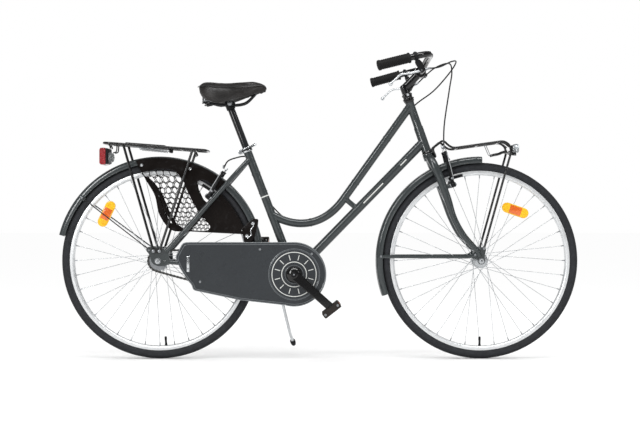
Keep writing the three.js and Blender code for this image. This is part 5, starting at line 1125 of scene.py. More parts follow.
def shortened(start, end):  # both ends moved in along their line
    return [tuple(a + (b - a) * share for a, b in zip(start, end)) for share in (0.075, 0.925)]


def coatPanel(side):
    tyreSize = bike["tyreRadius"]
    step = degrees(atan2(stayUp.z, stayUp.x)) + 0.4
    low = arc((0, 0), coatGuard["lowRadius"], coatGuard["foot"], step, 16)
    high = arc((0, 0), coatGuard["edgeRadius"], step, coatGuard["top"], 40)
    edge = [(x * tyreSize, z * tyreSize) for x, z in reversed(coatGuard["rearEdge"])]
    outline = low + high + flat(smoothLine, [high[-1], (-46, 286), *edge, (100, 105)], 8)[1:]
    spots = [stayOut * out * 100 + stayUp * (up * 100 + 285) for out, up in coatGuard["window"]]
    window = smoothFlat([(spot.x, spot.z) for spot in spots], 6)
    region = smoothFlat(coatGuard["mesh"], 6)
    bm = bmesh.new()
    inner, outer = side * coatGuard["inner"], side * coatGuard["outer"]
    stand = shift(rearAxle)
    foot = shortened(*coatGuard["slitFoot"])
    slits = [softened(foot + shortened(high, low), 1, 2)
             for low, high in zip(coatGuard["slits"], coatGuard["slits"][1:])]
    addSheet(bm, outline, [window, *slits, *meshCells(region, window)], inner, outer, stand)
    face = outer + side * 0.2

    def ridge(line, size, closed=False):
        addTube(bm, [rearAxle + vec(x, face, z) for x, z in line], size, 8, closed)

    ridge(outline, 1.5, True)
    ridge(window, 1.2, True)
    ridge(region, 1.1, True)
    ridge(flat(smoothLine, coatGuard["innerRim"], 8), 1.5)
    for rib in coatGuard["ribs"]:
        ridge(flat(smoothLine, rib, 8), 1.1)
    for x, z in ((108.9, 325), (296, 108), (-62, 338), (226, 262)):
        addBolt(bm, rearAxle + vec(x, outer, z), vec(0, side, 0), 4, 3, 1, True)
    # the clip that holds the panel's front end to the mudguard
    clip = softened(coatGuard["clip"], 5, 4)
    addPlate(bm, clip, inner, inner + side * 5, edge=1.2, matrix=stand)
    for x, z in coatGuard["screws"]:
        addBolt(bm, rearAxle + vec(x, inner + side * 5, z), vec(0, side, 0), 4.6, 4, 1, True)
    hook = [vec(x, inner + side * 6, z) for x, z in ((312, 78), (327, 92), (322, 108), (334, 124))]
    addTube(bm, [rearAxle + p for p in roundedLine(hook, 5)], 1.8, 12, finish=1)
    name = sideName[side]
    makePiece(name + "CoatGuard", bm, "frame", "panel chrome", "coat_guard_" + name)


coatPanel(1)
coatPanel(-1)
print("coat guards ready")

# Chaincase, chain and cranks

case = {
    "radius": 111, "reach": 415, "inner": 31, "outer": 53.5, "hole": 21, "disc": 90,
    "tail": [(-0.91, 1), (-0.942, 0.968), (-1, 0.55), (-0.966, 0.234), (-0.899, -0.171), (-0.86, -0.333),
             (-0.851, -0.486), (-0.455, -0.8)],
    "wall": 1.5, "screws": [(62, 72), (-120, 88), (-330, -26)],
    "clip": (-462, 336, 27),  # x, middle z and half height
}


def chaincase():
    bm = bmesh.new()
    face, back, wall = -case["outer"], -case["inner"], case["wall"]
    middle = (bracket.x, bracket.z)
    front = arc(middle, case["radius"], -106.6, 90, 56)
    tail = [(bracket.x + x * case["reach"], bracket.z + z * case["radius"]) for x, z in case["tail"]]
    outline = front + [p for p in softened([front[0], front[-1], *tail], 9, 4) if p[0] < bracket.x - 60]
    hole = arc(middle, case["hole"], 360, 8, 44)
    addPlate(bm, outline, face, face + wall, [hole], 0.6)
    addPlate(bm, outline, back - wall, back, [hole], 0.6)
    # the wall between both faces, open at the rear where the wheel's axle comes in
    row = [vec(x, face + 2, z) for x, z in outline if x > bracket.x - case["reach"] * 0.84 or z < 262]
    split = max(range(len(row) - 1), key=lambda i: (row[i + 1] - row[i]).length)
    part = bmesh.new()
    knots = [part.verts.new(place) for place in row[split + 1:] + row[:split + 1]]
    edges = [part.edges.new(pair) for pair in zip(knots, knots[1:])]
    made = bmesh.ops.extrude_edge_only(part, edges=edges)
    fresh = [v for v in made["geom"] if isinstance(v, bmesh.types.BMVert)]
    bmesh.ops.translate(part, vec=(0, back - face - 2 * wall, 0), verts=fresh)
    bmesh.ops.recalc_face_normals(part, faces=part.faces)
    bmesh.ops.solidify(part, geom=part.faces[:], thickness=1.3)
    addPart(bm, part)
    # the rolled edge and the thin line inside it wear the lighter rim finish, a painted highlight
    rim = [vec(x, face + 1.7, z) for x, z in outline]
    addTube(bm, rim, 2.1, 12, True, 4)
    inner = [vec(bracket.x + (p.x - bracket.x) * 0.985, face - 0.1, bracket.z + (p.z - bracket.z) * 0.945)
             for p in rim]
    addTube(bm, inner, 1.0, 8, True, 4)
    addTube(bm, [vec(p.x, back - 1.7, p.z) for p in rim], 1.9, 12, True)
    # the disc's raised rings wear the same lighter rim finish, a painted highlight
    for radius, size in ((case["disc"], 1.0), (case["disc"] - 3.2, 0.6), (32, 1.1)):
        ring = [vec(x, face - 0.2 + size * 0.6, z) for x, z in arc(middle, radius, 0, 352, 44)]
        addTube(bm, ring, size, 8, True, 4)
    for radius, width in ((79, 2.6), (45, 2.6)):  # plain painted rings and dashes
        loop = [(radius, 0), (radius, 0.3), (radius - width, 0.3), (radius - width, 0)]
        addTurned(bm, loop,
                  pointing(vec(bracket.x, face + 0.1, bracket.z), vec(bracket.x, face - 1, bracket.z)),
                  72, 1, True)
    for i in range(12):
        addBlock(bm, (51, face - 0.25, -1.3), (70, face + 0.4, 1.3), 0.1, 1,
                 shift(bracket) @ turned(30 * i + 15, "Y"))
    for x, z in case["screws"]:
        addBolt(bm, vec(bracket.x + x, face - 0.2, bracket.z + z), vec(0, -1, 0), 3, 2, 2, True)
    x, z, half = case["clip"]
    band = [vec(x, face + 5, z + half + 3), vec(x, face - 0.6, z + half), vec(x, face - 0.6, z - half),
            vec(x, face + 5, z - half - 3)]
    addBand(bm, roundedLine(band, 3, 3), 9, 1.2, finish=3)
    addBand(bm, [vec(x, face - 1.2, z + sign * half * 0.75) for sign in (1, -1)], 5, 1.2, finish=3)
    for sign in (1, -1):
        addBolt(bm, vec(x, face - 1.4, z + sign * half * 0.6), vec(0, -1, 0), 2.6, 2.4, 2, True)
    makePiece("chaincaseShell", bm, "frame", "case stripe steel chrome rim", "chaincase", 40)


chainSet = {"pitch": 12.7, "line": 40, "ring": 88.9, "sprocket": 36.6, "sag": 10, "plate": 1.2, "height": 8}


def chainPath():
    line = (bracket - rearAxle).length
    fall = degrees(atan2(bracket.z - rearAxle.z, bracket.x - rearAxle.x))
    flare = degrees(asin((chainSet["ring"] - chainSet["sprocket"]) / line))
    top, low = fall + flare + 90, fall - flare - 90
    front = [onCircle(bracket, chainSet["ring"], top + (low - top) * i / 60) for i in range(61)]
    back = [onCircle(rearAxle, chainSet["sprocket"], low + 360 + (top - low - 360) * i / 40)
            for i in range(41)]
    middle = front[-1].lerp(back[0], 0.5) + vec(0, 0, -2 * chainSet["sag"])
    lower = [front[-1].lerp(middle, i / 30).lerp(middle.lerp(back[0], i / 30), i / 30) for i in range(1, 30)]
    upper = [back[-1].lerp(front[0], i / 30) for i in range(1, 30)]
    return front + lower + back + upper


def evenly(path, step):  # places a step apart along a closed path
    path = path + [path[0]]
    total = sum((b - a).length for a, b in zip(path, path[1:]))
    count = round(total / step)
    step, made, run, due = total / count, [], 0.0, 0.0
    for a, b in zip(path, path[1:]):
        length = (b - a).length
        while due < run + length and len(made) < count:
            made.append(a.lerp(b, (due - run) / length))
            due += step
        run += length
    return made


def chain():
    bm = bmesh.new()
    spots = evenly(chainPath(), chainSet["pitch"])
    for i, (here, there) in enumerate(zip(spots, spots[1:] + spots[:1])):
        along = (there - here).normalized()
        length = (there - here).length
        link = axesAt(here + vec(0, -chainSet["line"], 0), along, vec(0, 1, 0), along.cross(vec(0, 1, 0)))
        gap = 1.9 if i % 2 else 3.0
        half = chainSet["height"] / 2
        outline = (arc((length, 0), half, -90, 90, 5) + [(length / 2, half * 0.72)]
                   + arc((0, 0), half, 90, 270, 5) + [(length / 2, -half * 0.72)])
        for side in (1, -1):
            addPlate(bm, outline, side * gap, side * (gap + 0.9), edge=0.15, matrix=link)
        roller = [(0, -3.9), (1.7, -3.9), (1.7, -1.8), (3, -1.8), (3, 1.8), (1.7, 1.8), (1.7, 3.9), (0, 3.9)]
        addTurned(bm, roller, link @ turned(-90, "X"), 8)
    makePiece("rollerChain", bm, "frame", "chain", "chain")


def toothed(radius, teeth, high=3.4):
    outline = []
    for i in range(teeth):
        for step, out in ((-0.33, -0.95), (-0.16, 0.2), (-0.07, 1), (0.07, 1), (0.16, 0.2), (0.33, -0.95)):
            turn = 2 * pi * (i + step) / teeth
            outline.append(((radius + high * out) * cos(turn), (radius + high * out) * sin(turn)))
    return outline


def sprocket():
    bm = bmesh.new()
    line = chainSet["line"]
    addPlate(bm, toothed(chainSet["sprocket"], 18), -line - 1.3, -line + 1.3, [arc((0, 0), 18, 360, 15, 23)],
             0.3, matrix=shift(rearAxle))
    profile = [(10.6, -44.5), (22, -44.5), (24, -43), (24, -36), (22, -34), (22, -31.6), (10.6, -31.6)]
    addTurned(bm, profile, alongY(rearAxle), 48, 0, True)
    for i in range(4):
        spot = onCircle(rearAxle, 15, 90 * i + 20, -44.6)
        addBlock(bm, spot - vec(1.5, 0.6, 1.5), spot + vec(1.5, 0.4, 1.5), 0.3, 1)
    makePiece("sprocketBody", bm, "sprocket", "steel gloss", "freewheel")


crankSet = {"length": 175, "angle": -41.7, "hubY": 66, "endY": 74, "hub": 15, "end": 11.5, "thick": 12,
            "rightTilt": 38, "pedal": {"inner": 83, "outer": 177, "half": 34, "deep": 12, "block": 15}}


def crankAxes(side):
    angle = -crankSet["angle"] if side < 0 else 180 - crankSet["angle"]
    return shift(bracket) @ turned(angle, "Y")


def crankArm(side):
    bm = bmesh.new()
    stand = crankAxes(side)
    slant = Matrix.Identity(4)
    slant[1][0] = side * (crankSet["endY"] - crankSet["hubY"]) / crankSet["length"]
    long, y = crankSet["length"], side * crankSet["hubY"]
    half = crankSet["thick"] / 2
    outline = arc((long, 0), crankSet["end"], -84, 84, 16) + [(long * 0.5, 11.4), (long * 0.2, 13.6)] \
        + arc((0, 0), crankSet["hub"], 80, 280, 20) + [(long * 0.2, -13.6), (long * 0.5, -11.4)]
    addPlate(bm, outline, y - half, y + half, edge=3.2, matrix=stand @ slant)
    hubLine = facing(bracket, vec(0, side, 0))
    dome = [(8.4, 36), (15, 36), (15, 54.6), (28, 55), (29, 57), (27.5, 62), (24, 67), (17, 71.6),
            (10, 73.4), (9.4, 71.8), (8.4, 71.8)]
    if side > 0:
        dome = [(8.4, 37.2), (15, 37.2), (15, 58), (19, 60), (19, 64), (16.5, 70.5), (10, 72.6), (9.4, 71.4),
                (8.4, 71.4)]
    addTurned(bm, dome, hubLine, 56, 0, True)
    addTurned(bm, [(0, 70.4), (7.8, 70.4), (7.8, 72.2), (5, 73.2), (0, 73.2)], hubLine, 32, 1)
    addTurned(bm, [(0, 73), (3.4, 73), (3.4, 74), (0, 74)], hubLine, 6, 2)
    pin = stand @ vec(long, 0, 0)
    pinLine = facing(pin, vec(0, side, 0))
    addTurned(bm, [(0, 66.5), (5, 66.5), (5, 81), (7.5, 81), (7.5, 83.4), (4.5, 84), (4.5, 172), (0, 172)],
              pinLine, 24, 2)
    if side < 0:
        addPlate(bm, toothed(chainSet["ring"], 44), -chainSet["line"] - 1.4, -chainSet["line"] + 1.4,
                 [arc((0, 0), 24, 360, 15, 23), *[
                     arc((56 * cos(a), 56 * sin(a)), 15, 360, 20, 17)
                     for a in (radians(72 * i) for i in range(5))]], 0.3, 2, stand)
        web = [(14, 41.6), (26, 41.6), (26, 43.4), (15, 46), (14, 46)]
        addTurned(bm, web, hubLine, 40, 2, True)
    name = sideName[side]
    makePiece(name + "Crank", bm, "crank", "gloss plastic steel",
              "crank_" + name + (" crank_spindle" if side < 0 else ""))


def pedal(side):
    bm = bmesh.new()
    p = crankSet["pedal"]
    tilt = crankSet["rightTilt"] if side < 0 else 0
    stand = shift(crankAxes(side) @ vec(crankSet["length"], 0, 0)) \
        @ turned(-tilt, "Y") @ Matrix.Scale(side, 4, (0, 1, 0))
    near, far, half, deep = p["inner"], p["outer"], p["half"], p["deep"]
    for sign in (1, -1):
        low, high = sorted((sign * half, sign * (half - p["block"])))
        addBlock(bm, (low, near + 4, -deep + 1.6), (high, far - 4, deep - 1.6), 2, 0, stand)
        for i in range(9):
            y = near + 8 + i * (far - near - 20) / 8
            for z in (-deep + 1.2, deep - 1.2):
                addBlock(bm, (low + 1, y - 2.6, z - 1.2), (high - 1, y + 2.6, z + 1.2), 0.5, 0, stand)
        x = sign * (half - 0.3)
        addBlock(bm, (x - 0.8, near + 30, -5), (x + 0.8, far - 30, 5), 0.4, 3, stand)
        for y in (near, far - 4):
            out = -1 if y == near else 1
            spot = vec(sign * (half - p["block"] / 2), y if y == near else y + 4, 0)
            addBolt(bm, stand @ spot, way(stand, 0, out, 0), 3.2, 3, 2)
    for y in (near, far - 4):
        plateShape = softened([(-half, -10.5), (half, -10.5), (half, 10.5), (-half, 10.5)], 5)
        addPlate(bm, plateShape, y, y + 4, edge=1, finish=0, matrix=stand)
    barrel = [(5.6, near - 1), (12, near - 1), (12, near + 6), (9, near + 10), (9, far - 12), (11, far - 8),
              (11, far - 1), (0, far)]
    addTurned(bm, [*barrel, (0, far - 2), (5.6, far - 4)], stand @ alongY(), 32, 1)
    name = sideName[side]
    makePiece(name + "Pedal", bm, name + "_pedal", "pedal plastic steel orange", "pedal_" + name)


chaincase()
chain()
sprocket()
for side in (-1, 1):
    crankArm(side)
    pedal(side)
print("drive ready")

# Kickstand

stand = {"pivot": (-150, 40, 262), "angle": 13.5, "kneeShare": 0.767, "kneeY": 57, "footUp": 36.4,
         "footY": 150, "leg": 5.2, "foot": 9}


def kickstand():
    bm = bmesh.new()
    pivot = vec(*stand["pivot"])
    lean = radians(stand["angle"])
    down = vec(sin(lean), 0, -cos(lean))
    length = (pivot.z - stand["footUp"]) / cos(lean)

    def leg(along, y):
        place = pivot + down * along
        place.y = y
        return place

    knee, foot = leg(length * stand["kneeShare"], stand["kneeY"]), leg(length, stand["footY"])
    line = roundedLine([leg(9, 40.8), knee, foot], 24, 8)
    addTube(bm, line, stand["leg"], 20)
    addTurned(bm, [(4.5, -5), (8.4, -5), (8.4, 5), (4.5, 5)], alongY(pivot), 32, 0, True, bend=0.6)
    shoe = [knee.lerp(foot, s) for s in (0.7, 0.72, 0.94, 1.0)]
    addTube(bm, shoe, [7.4, stand["foot"] - 0.6, stand["foot"], stand["foot"] - 0.8], 20, finish=1)
    for s in (0.76, 0.82, 0.88):
        place = knee.lerp(foot, s)
        ring = [(8.2, -1), (9.6, -0.6), (9.6, 0.6), (8.2, 1)]
        addTurned(bm, ring, pointing(place, foot), 24, 1, True)
    makePiece("kickstandLeg", bm, "stand", "brushed pad", "kickstand")
    mount = bmesh.new()
    addCopy(mount, "kickstand_bracket", 0.8)
    for y in (30, 50):
        addBolt(mount, pivot + vec(0, y - 40 + (1 if y > 40 else -1) * 0.2, 0),
                vec(0, 1 if y > 40 else -1, 0), 5, 4, 1)
    addBolt(mount, vec(pivot.x, 24, 283), vec(0, 0, -1), 5, 5, 1)
    makePiece("standBracket", mount, "frame", "metal steel", "kickstand_bracket")


kickstand()
print("kickstand ready")

# Rear rack and tail lamp

rack = {"rear": (-193, 415), "front": (170, 388), "half": 62, "rod": 4.5, "inner": 3.5, "innerY": 16,
        "crossShares": (0.05, 0.876), "legShares": (0.197, 0.868)}
lamp = {"front": -165, "rear": -206, "low": 341, "high": 396, "half": 45}


def onRack(share, y=0, drop=0):
    (x0, z0), (x1, z1) = rack["rear"], rack["front"]
    return rearAxle + vec(x0 + (x1 - x0) * share, y, z0 + (z1 - z0) * share - drop)


def rearRack():
    bm = bmesh.new()
    half, size = rack["half"], rack["rod"]
    corners = [onRack(0, half), onRack(0, -half), onRack(1, -half), onRack(1, half)]
    addTube(bm, roundedLine(corners, half / 2, 8, True), size, 16, True)
    for share in rack["crossShares"]:
        addTube(bm, [onRack(share, -half), onRack(share, half)], size * 0.9, 16)
    for share in (0.24, 0.44, 0.74):
        addTube(bm, [onRack(share, -half, 1), onRack(share, half, 1)], 2.6, 12)
    for y in (rack["innerY"], -rack["innerY"]):
        addTube(bm, [onRack(share, y) for share in rack["crossShares"]], rack["inner"], 16)
    footY = bike["dropoutY"] + 2.8
    for side in (1, -1):
        for x, share in ((-10.5, rack["legShares"][0]), (10.5, rack["legShares"][1])):
            foot = vec(rearAxle.x - 4 + x, side * (footY + 4.8), rearAxle.z + 36)
            addTube(bm, [foot, onRack(share, side * half)], size, 16)
            addBolt(bm, foot + vec(0, side * 4, -1), vec(0, side, 0), 4.2, 3.6, 1)
        plateShape = softened([(-19, 29), (11, 29), (11, 43), (-19, 43)], 5)
        addPlate(bm, plateShape, side * footY, side * (footY + 8), edge=1, matrix=shift(rearAxle))
    tab = onRack(rack["crossShares"][1])
    addBand(bm, [vec(tab.x, 0, tab.z), vec(tab.x, 0, tab.z - 22), vec(tab.x + 2, 0, 714)], 3, 24, edge=0.6)
    for y in (1, -1):  # the strut down to the guard
        top = onRack(0.87, y * 40, 3)
        line = roundedLine([top, vec(top.x + 9, y * 30, top.z - 14), vec(top.x + 6, y * 14, 718)], 6)
        addTube(bm, line, 2.4, 12)
    for side in (1, -1):  # lugs that carry the clip
        y = side * rack["innerY"]
        hinge = onRack(0.64, 0, 11)
        addPlate(bm, softened([(-5, -5), (5, -5), (5, 12), (-5, 12)], 4), y - 1.5, y + 1.5,
                 edge=0.5, matrix=shift(hinge))
    # the wire hanger of the lamp
    for y in (20, -20):
        low = vec(rearAxle.x + lamp["front"] - 8, y, rearAxle.z + lamp["high"] + 1)
        front = vec(rearAxle.x + lamp["front"] + 14, y, rearAxle.z + lamp["high"] - 12)
        line = [onRack(0.04, y), vec(low.x, y, low.z + 4), vec(low.x, y, low.z - 1)]
        addTube(bm, line, 2.6, 12)
        line = [onRack(0.12, y), front + vec(1, 0, 14), front, front + vec(-12, 0, -3)]
        addTube(bm, roundedLine(line, 7), 2.2, 12)
    # springs under the platform
    for side in (1, -1):
        start, end = onRack(0.34, side * 27, 9), onRack(0.6, side * 27, 11)
        along = end - start
        coil = [start.lerp(end, i / 216) + 5 * cos(i * pi / 6) * vec(0, 1, 0)
                + 5 * sin(i * pi / 6) * along.cross(vec(0, 1, 0)).normalized() for i in range(217)]
        addTube(bm, coil, 0.9, 6, finish=1)
        addTube(bm, [end, onRack(0.64, side * 24, 11)], 1.4, 8, finish=1)
        addTube(bm, [onRack(0.24, side * 27, 1), start + vec(-2, 0, 3), start], 1.4, 8, finish=1)
    makePiece("rearRackRods", bm, "frame", "gloss steel", "rear_rack")


def tailLamp():
    bm = bmesh.new()
    back, front = rearAxle.x + lamp["rear"], rearAxle.x + lamp["front"]
    low, high, half = rearAxle.z + lamp["low"], rearAxle.z + lamp["high"], lamp["half"]
    split = back + (front - back) * 0.42
    shape = softened([(back, low + 3), (back + 3, low), (split, low), (split, high), (back + 3, high),
                      (back, high - 3)], 2.5, 3)
    addPlate(bm, shape, -half, half, edge=2.4, finish=0)
    for i in range(7):
        z = low + 6 + i * (high - low - 12) / 6
        addBlock(bm, (back - 0.7, -half + 5, z - 0.7), (back + 2, half - 5, z + 0.7), 0.3, 0)
    shape = softened([(split - 0.4, low + 1.5), (split + 9, low + 4), (split + 9, high - 1),
                      (split - 0.4, high - 0.6)], 2, 3)
    addPlate(bm, shape, -half + 1, half - 1, edge=1.6, finish=1)
    dome = vec(split + 9, 0, (low + high) / 2 - 3)
    for y in (18, -18):
        spot = dome + vec(0, y, 0)
        profile = [(0, -3), (16, -3), (17.5, 0), (17, 7), (14, 12.4), (9, 14), (0, 14.4)]
        addTurned(bm, profile, alongX(spot), 40, 2, bend=0.6)
        addBolt(bm, spot + vec(13.6, 0, 0), vec(1, 0, 0), 3, 2, 3)
    makePiece("tailLampBody", bm, "frame", "red plastic clear chrome", "tail_lamp")


def rackClip():
    bm = bmesh.new()
    lean = atan2(rack["rear"][1] - rack["front"][1], rack["front"][0] - rack["rear"][0])
    stand = shift(onRack(0.64, 0, 11)) @ Matrix.Rotation(lean, 4, "Y")
    half, rise, long = 34, 17.5, 150
    bow = [(0, 0), (-rise, rise), (-long, rise)]
    bow = [vec(x, -half, z) for x, z in bow] + [vec(x, half, z) for x, z in reversed(bow)]
    addTube(bm, roundedLine(bow, rise / 3), 2, 12, matrix=stand)
    addTube(bm, [vec(0, -half, 0), vec(0, half, 0)], 2, 12, matrix=stand)
    addBlock(bm, (-long - 9, -half, rise - 2), (-long + 9, half, rise + 2), 1.2, 1, stand)
    for i in range(6):
        x = -long - 6 + i * 2.4
        addBlock(bm, (x - 0.6, -half + 5, rise + 1.6), (x + 0.6, half - 5, rise + 2.5), 0.3, 1, stand)
    makePiece("rackSpringClip", bm, "clip", "gloss plastic", "rack_clip")


rearRack()
tailLamp()
rackClip()
print("rack ready")

# Seat clamp, post and saddle

collar = {"start": 462, "end": 480, "radius": 19}
saddle = {"length": 251, "half": 97.5, "depth": 85, "behind": 114.8, "above": 82.2,
          "postEnd": bike["seatTubeLength"] + 163, "railY": 22,
          "voxel": 0.0045, "swell": 0.006, "room": 0.002}  # the last three in metres
saddleShares = [
    (0, 0.28, -0.21, -0.36), (0.02, 0.5, -0.13, -0.49), (0.055, 0.73, -0.07, -0.66),
    (0.1, 0.86, -0.036, -0.775), (0.19, 0.98, -0.03, -0.9), (0.3, 1, -0.062, -0.965),
    (0.42, 0.93, -0.074, -0.9), (0.55, 0.7, -0.04, -0.75), (0.7, 0.45, 0, -0.575), (0.8, 0.37, 0.02, -0.5),
    (0.88, 0.32, 0.01, -0.45), (0.95, 0.26, -0.055, -0.42), (1, 0.15, -0.19, -0.36),
]
sectionShares = [(0, 0.38), (0.55, 0.36), (0.8, 0.02), (0.9, 0), (0.97, 0.15), (1, 0.42), (0.97, 0.68),
                 (0.86, 0.86), (0.62, 0.96), (0.3, 1), (0, 0.985)]
railShares = [(0.09, 1, -0.3), (0.12, 1, -0.75), (0.19, 1, -0.85), (0.65, 1, -0.87), (0.79, 0.68, -0.54),
              (0.88, 0.4, -0.2)]
saddleStart = vec(onSeatTube(saddle["postEnd"]).x - saddle["behind"], 0,
                  onSeatTube(saddle["postEnd"]).z + saddle["above"])


def seatClamp():
    bm = bmesh.new()
    start, end, radius = collar["start"], collar["end"], collar["radius"]
    profile = [(15.9, start), (radius - 1, start), (radius, start + 1.2), (radius, end - 2),
               (radius - 1.6, end), (13.4, end), (13.4, end - 6.6), (15.9, end - 6.6)]
    addTurned(bm, profile, seatLine, 56, 0, True, bend=0.5)
    middle = (start + end) / 2
    for y in (-9, 2):
        addBlock(bm, (-32, y, start + 1), (-15.6, y + 7, end - 1), 1.6, 0, seatLine)
    stand = seatLine @ shift((-25, 0, middle))
    bolt = stand @ alongY()
    addTurned(bm, [(0, -10), (3, -10), (3, 18), (0, 18)], bolt, 20, 1, bend=0.4)
    addTurned(bm, [(0, -13.6), (6.4, -13.2), (7, -9.4), (0, -9.4)], bolt, 24, 1, bend=0.6)
    groove = [(radius - 0.4, middle - 3.4), (radius + 0.25, middle - 3), (radius + 0.25, middle + 3),
              (radius - 0.4, middle + 3.4)]
    addTurned(bm, groove, seatLine, 56, 2, True)
    makePiece("seatCollar", bm, "frame", "chrome steel gloss", "seat_clamp")
    lever = bmesh.new()
    shares = [(0, 0.22, 0), (0.12, 0.36, 0.01), (0.3, 0.42, 0.03), (0.64, 0.43, 0.08), (1, 0.34, 0.14)]
    line = smoothLine([vec(x, y, z) * 58 for x, y, z in shares], 6)
    sizes = [3.1 + 1.3 * max(0, (i / (len(line) - 1) - 0.55) / 0.45) for i in range(len(line))]
    addTube(lever, line, sizes, 16, matrix=stand @ Matrix.Scale(1.1, 4, (0, 0, 1)))
    tip = stand @ line[-1]
    ball = [(0, -5), *arc((0, 0), 5, -75, 75, 10), (0, 5)]
    addTurned(lever, ball, shift(tip), 24, 0)
    eye = [(3.4, 9.3), (7.4, 9.3), (8, 10), (8, 16.4), (7.4, 17), (3.4, 17)]
    addTurned(lever, eye, bolt, 32, 0, True)
    makePiece("seatClampHandle", lever, "seat_lever", "chrome", "seat_clamp_lever")


def seatpost():
    bm = bmesh.new()
    end = saddle["postEnd"]
    start = bike["seatTubeLength"] - 113
    profile = [(0, start), (11.6, start), (12.7, start + 1.2), (12.7, end - 16), (12, end - 14),
               (9.6, end - 2), (8.6, end), (0, end)]
    addTurned(bm, profile, seatLine, 48, 0)
    for along in range(int(start) + 40, int(end) - 60, 12):  # height marks
        mark = seatLine @ turned(90, "Z")
        strip = [(12.2, along - 0.4), (12.78, along - 0.4), (12.78, along + 0.4), (12.2, along + 0.4)]
        addTurned(bm, strip, mark, 6, 1, True, start=-16, sweep=32)
    makePiece("seatpostTube", bm, "seat", "postBlack steel", "seatpost")


def saddleShape(shrink):  # the cushion's skin, drawn in by that many millimetres
    shares = smoothLine([Vector((a, w, t)) for a, w, t, _ in saddleShares], 3)
    lows = smoothLine([Vector((a, low, 0)) for a, _, _, low in saddleShares], 3)
    part = bmesh.new()
    rings = []
    half = smoothLine([vec(y, 0, z) for y, z in sectionShares], 2)
    for (along, width, top), low in zip(shares, lows):
        x = saddleStart.x + min(max(along * saddle["length"], shrink), saddle["length"] - shrink)
        high, deep = top * saddle["depth"] - shrink, low.y * saddle["depth"] + shrink * 0.6
        size = max(width * saddle["half"] - shrink, 4)
        flank = [(p.x * size, deep + (high - deep) * p.z) for p in half]
        loop = flank + [(-y, z) for y, z in reversed(flank[1:-1])]
        rings.append([part.verts.new((x, y, saddleStart.z + z)) for y, z in loop])
    joined(part, rings)
    return part


def paddedSaddle():
    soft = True
    part = saddleShape(2.4 if soft else 0)
    mesh = bpy.data.meshes.new("saddleCushion")
    part.to_mesh(mesh)
    part.free()
    mesh.transform(toMetres)
    piece = linked("saddleCushion", mesh)
    remesh = piece.modifiers.new("even", "REMESH")
    remesh.mode = "VOXEL"
    remesh.voxel_size = saddle["voxel"]
    applyModifiers(piece)
    start = [v.co.copy() for v in piece.data.vertices]
    if soft:
        cloth = piece.modifiers.new("pad", "CLOTH")
        cloth.settings.use_pressure = True
        cloth.settings.uniform_pressure_force = 4
        cloth.settings.effector_weights.gravity = 0
        cloth.settings.quality = 6
        for step in range(1, 21):
            bpy.context.scene.frame_set(step)
        applyModifiers(piece)
        bpy.context.scene.frame_set(1)
    low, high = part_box("saddle_cover")
    swell, room = saddle["swell"], saddle["room"]
    for vertex, before in zip(piece.data.vertices, start):
        moved = vertex.co - before
        if moved.length > swell:
            vertex.co = before + moved * swell / moved.length
        for axis in range(3):  # it keeps to its solid's space
            vertex.co[axis] = min(max(vertex.co[axis], low[axis] - room), high[axis] + room)
    bm = bmesh.new()
    bm.from_mesh(piece.data)
    for _ in range(2):
        bmesh.ops.smooth_vert(bm, verts=bm.verts, factor=0.5, use_axis_x=True, use_axis_y=True,
                              use_axis_z=True)
    bmesh.ops.subdivide_edges(bm, edges=bm.edges, cuts=1, use_grid_fill=True, smooth=0.6)
    bm.to_mesh(piece.data)
    bm.free()
    piece.data.materials.append(finishes["skin"]["material"])
    piece.data.polygons.foreach_set("use_smooth", [True] * len(piece.data.polygons))
    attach(piece, "seat")
    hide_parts("saddle_cover")


def applyModifiers(piece):
    graph = bpy.context.evaluated_depsgraph_get()
    made = bpy.data.meshes.new_from_object(piece.evaluated_get(graph))
    piece.modifiers.clear()
    old = piece.data
    piece.data = made
    bpy.data.meshes.remove(old)


def saddleSeams():  # welted seams round the flank and over the nose, with their stitches
    bm = bmesh.new()
    for side in (1, -1):
        line = []
        for along, width, top, low in saddleShares[1:-1]:
            high, deep = top * saddle["depth"], low * saddle["depth"]
            line.append(saddleStart + vec(along * saddle["length"], side * (0.945 * width * saddle["half"]),
                                          deep + (high - deep) * 0.77))
        line = smoothLine(line, 8)
        addTube(bm, line, 1.5, 8)
        for i in range(2, len(line) - 2, 2):
            spot = line[i] + vec(0, side * 0.5, 2.6)
            along = (line[i + 1] - line[i - 1]).normalized() * 1.5
            addTube(bm, [spot - along, spot, spot + along], [0.4, 0.7, 0.4], 4)
    makePiece("saddleSeams", bm, "seat", "thread")


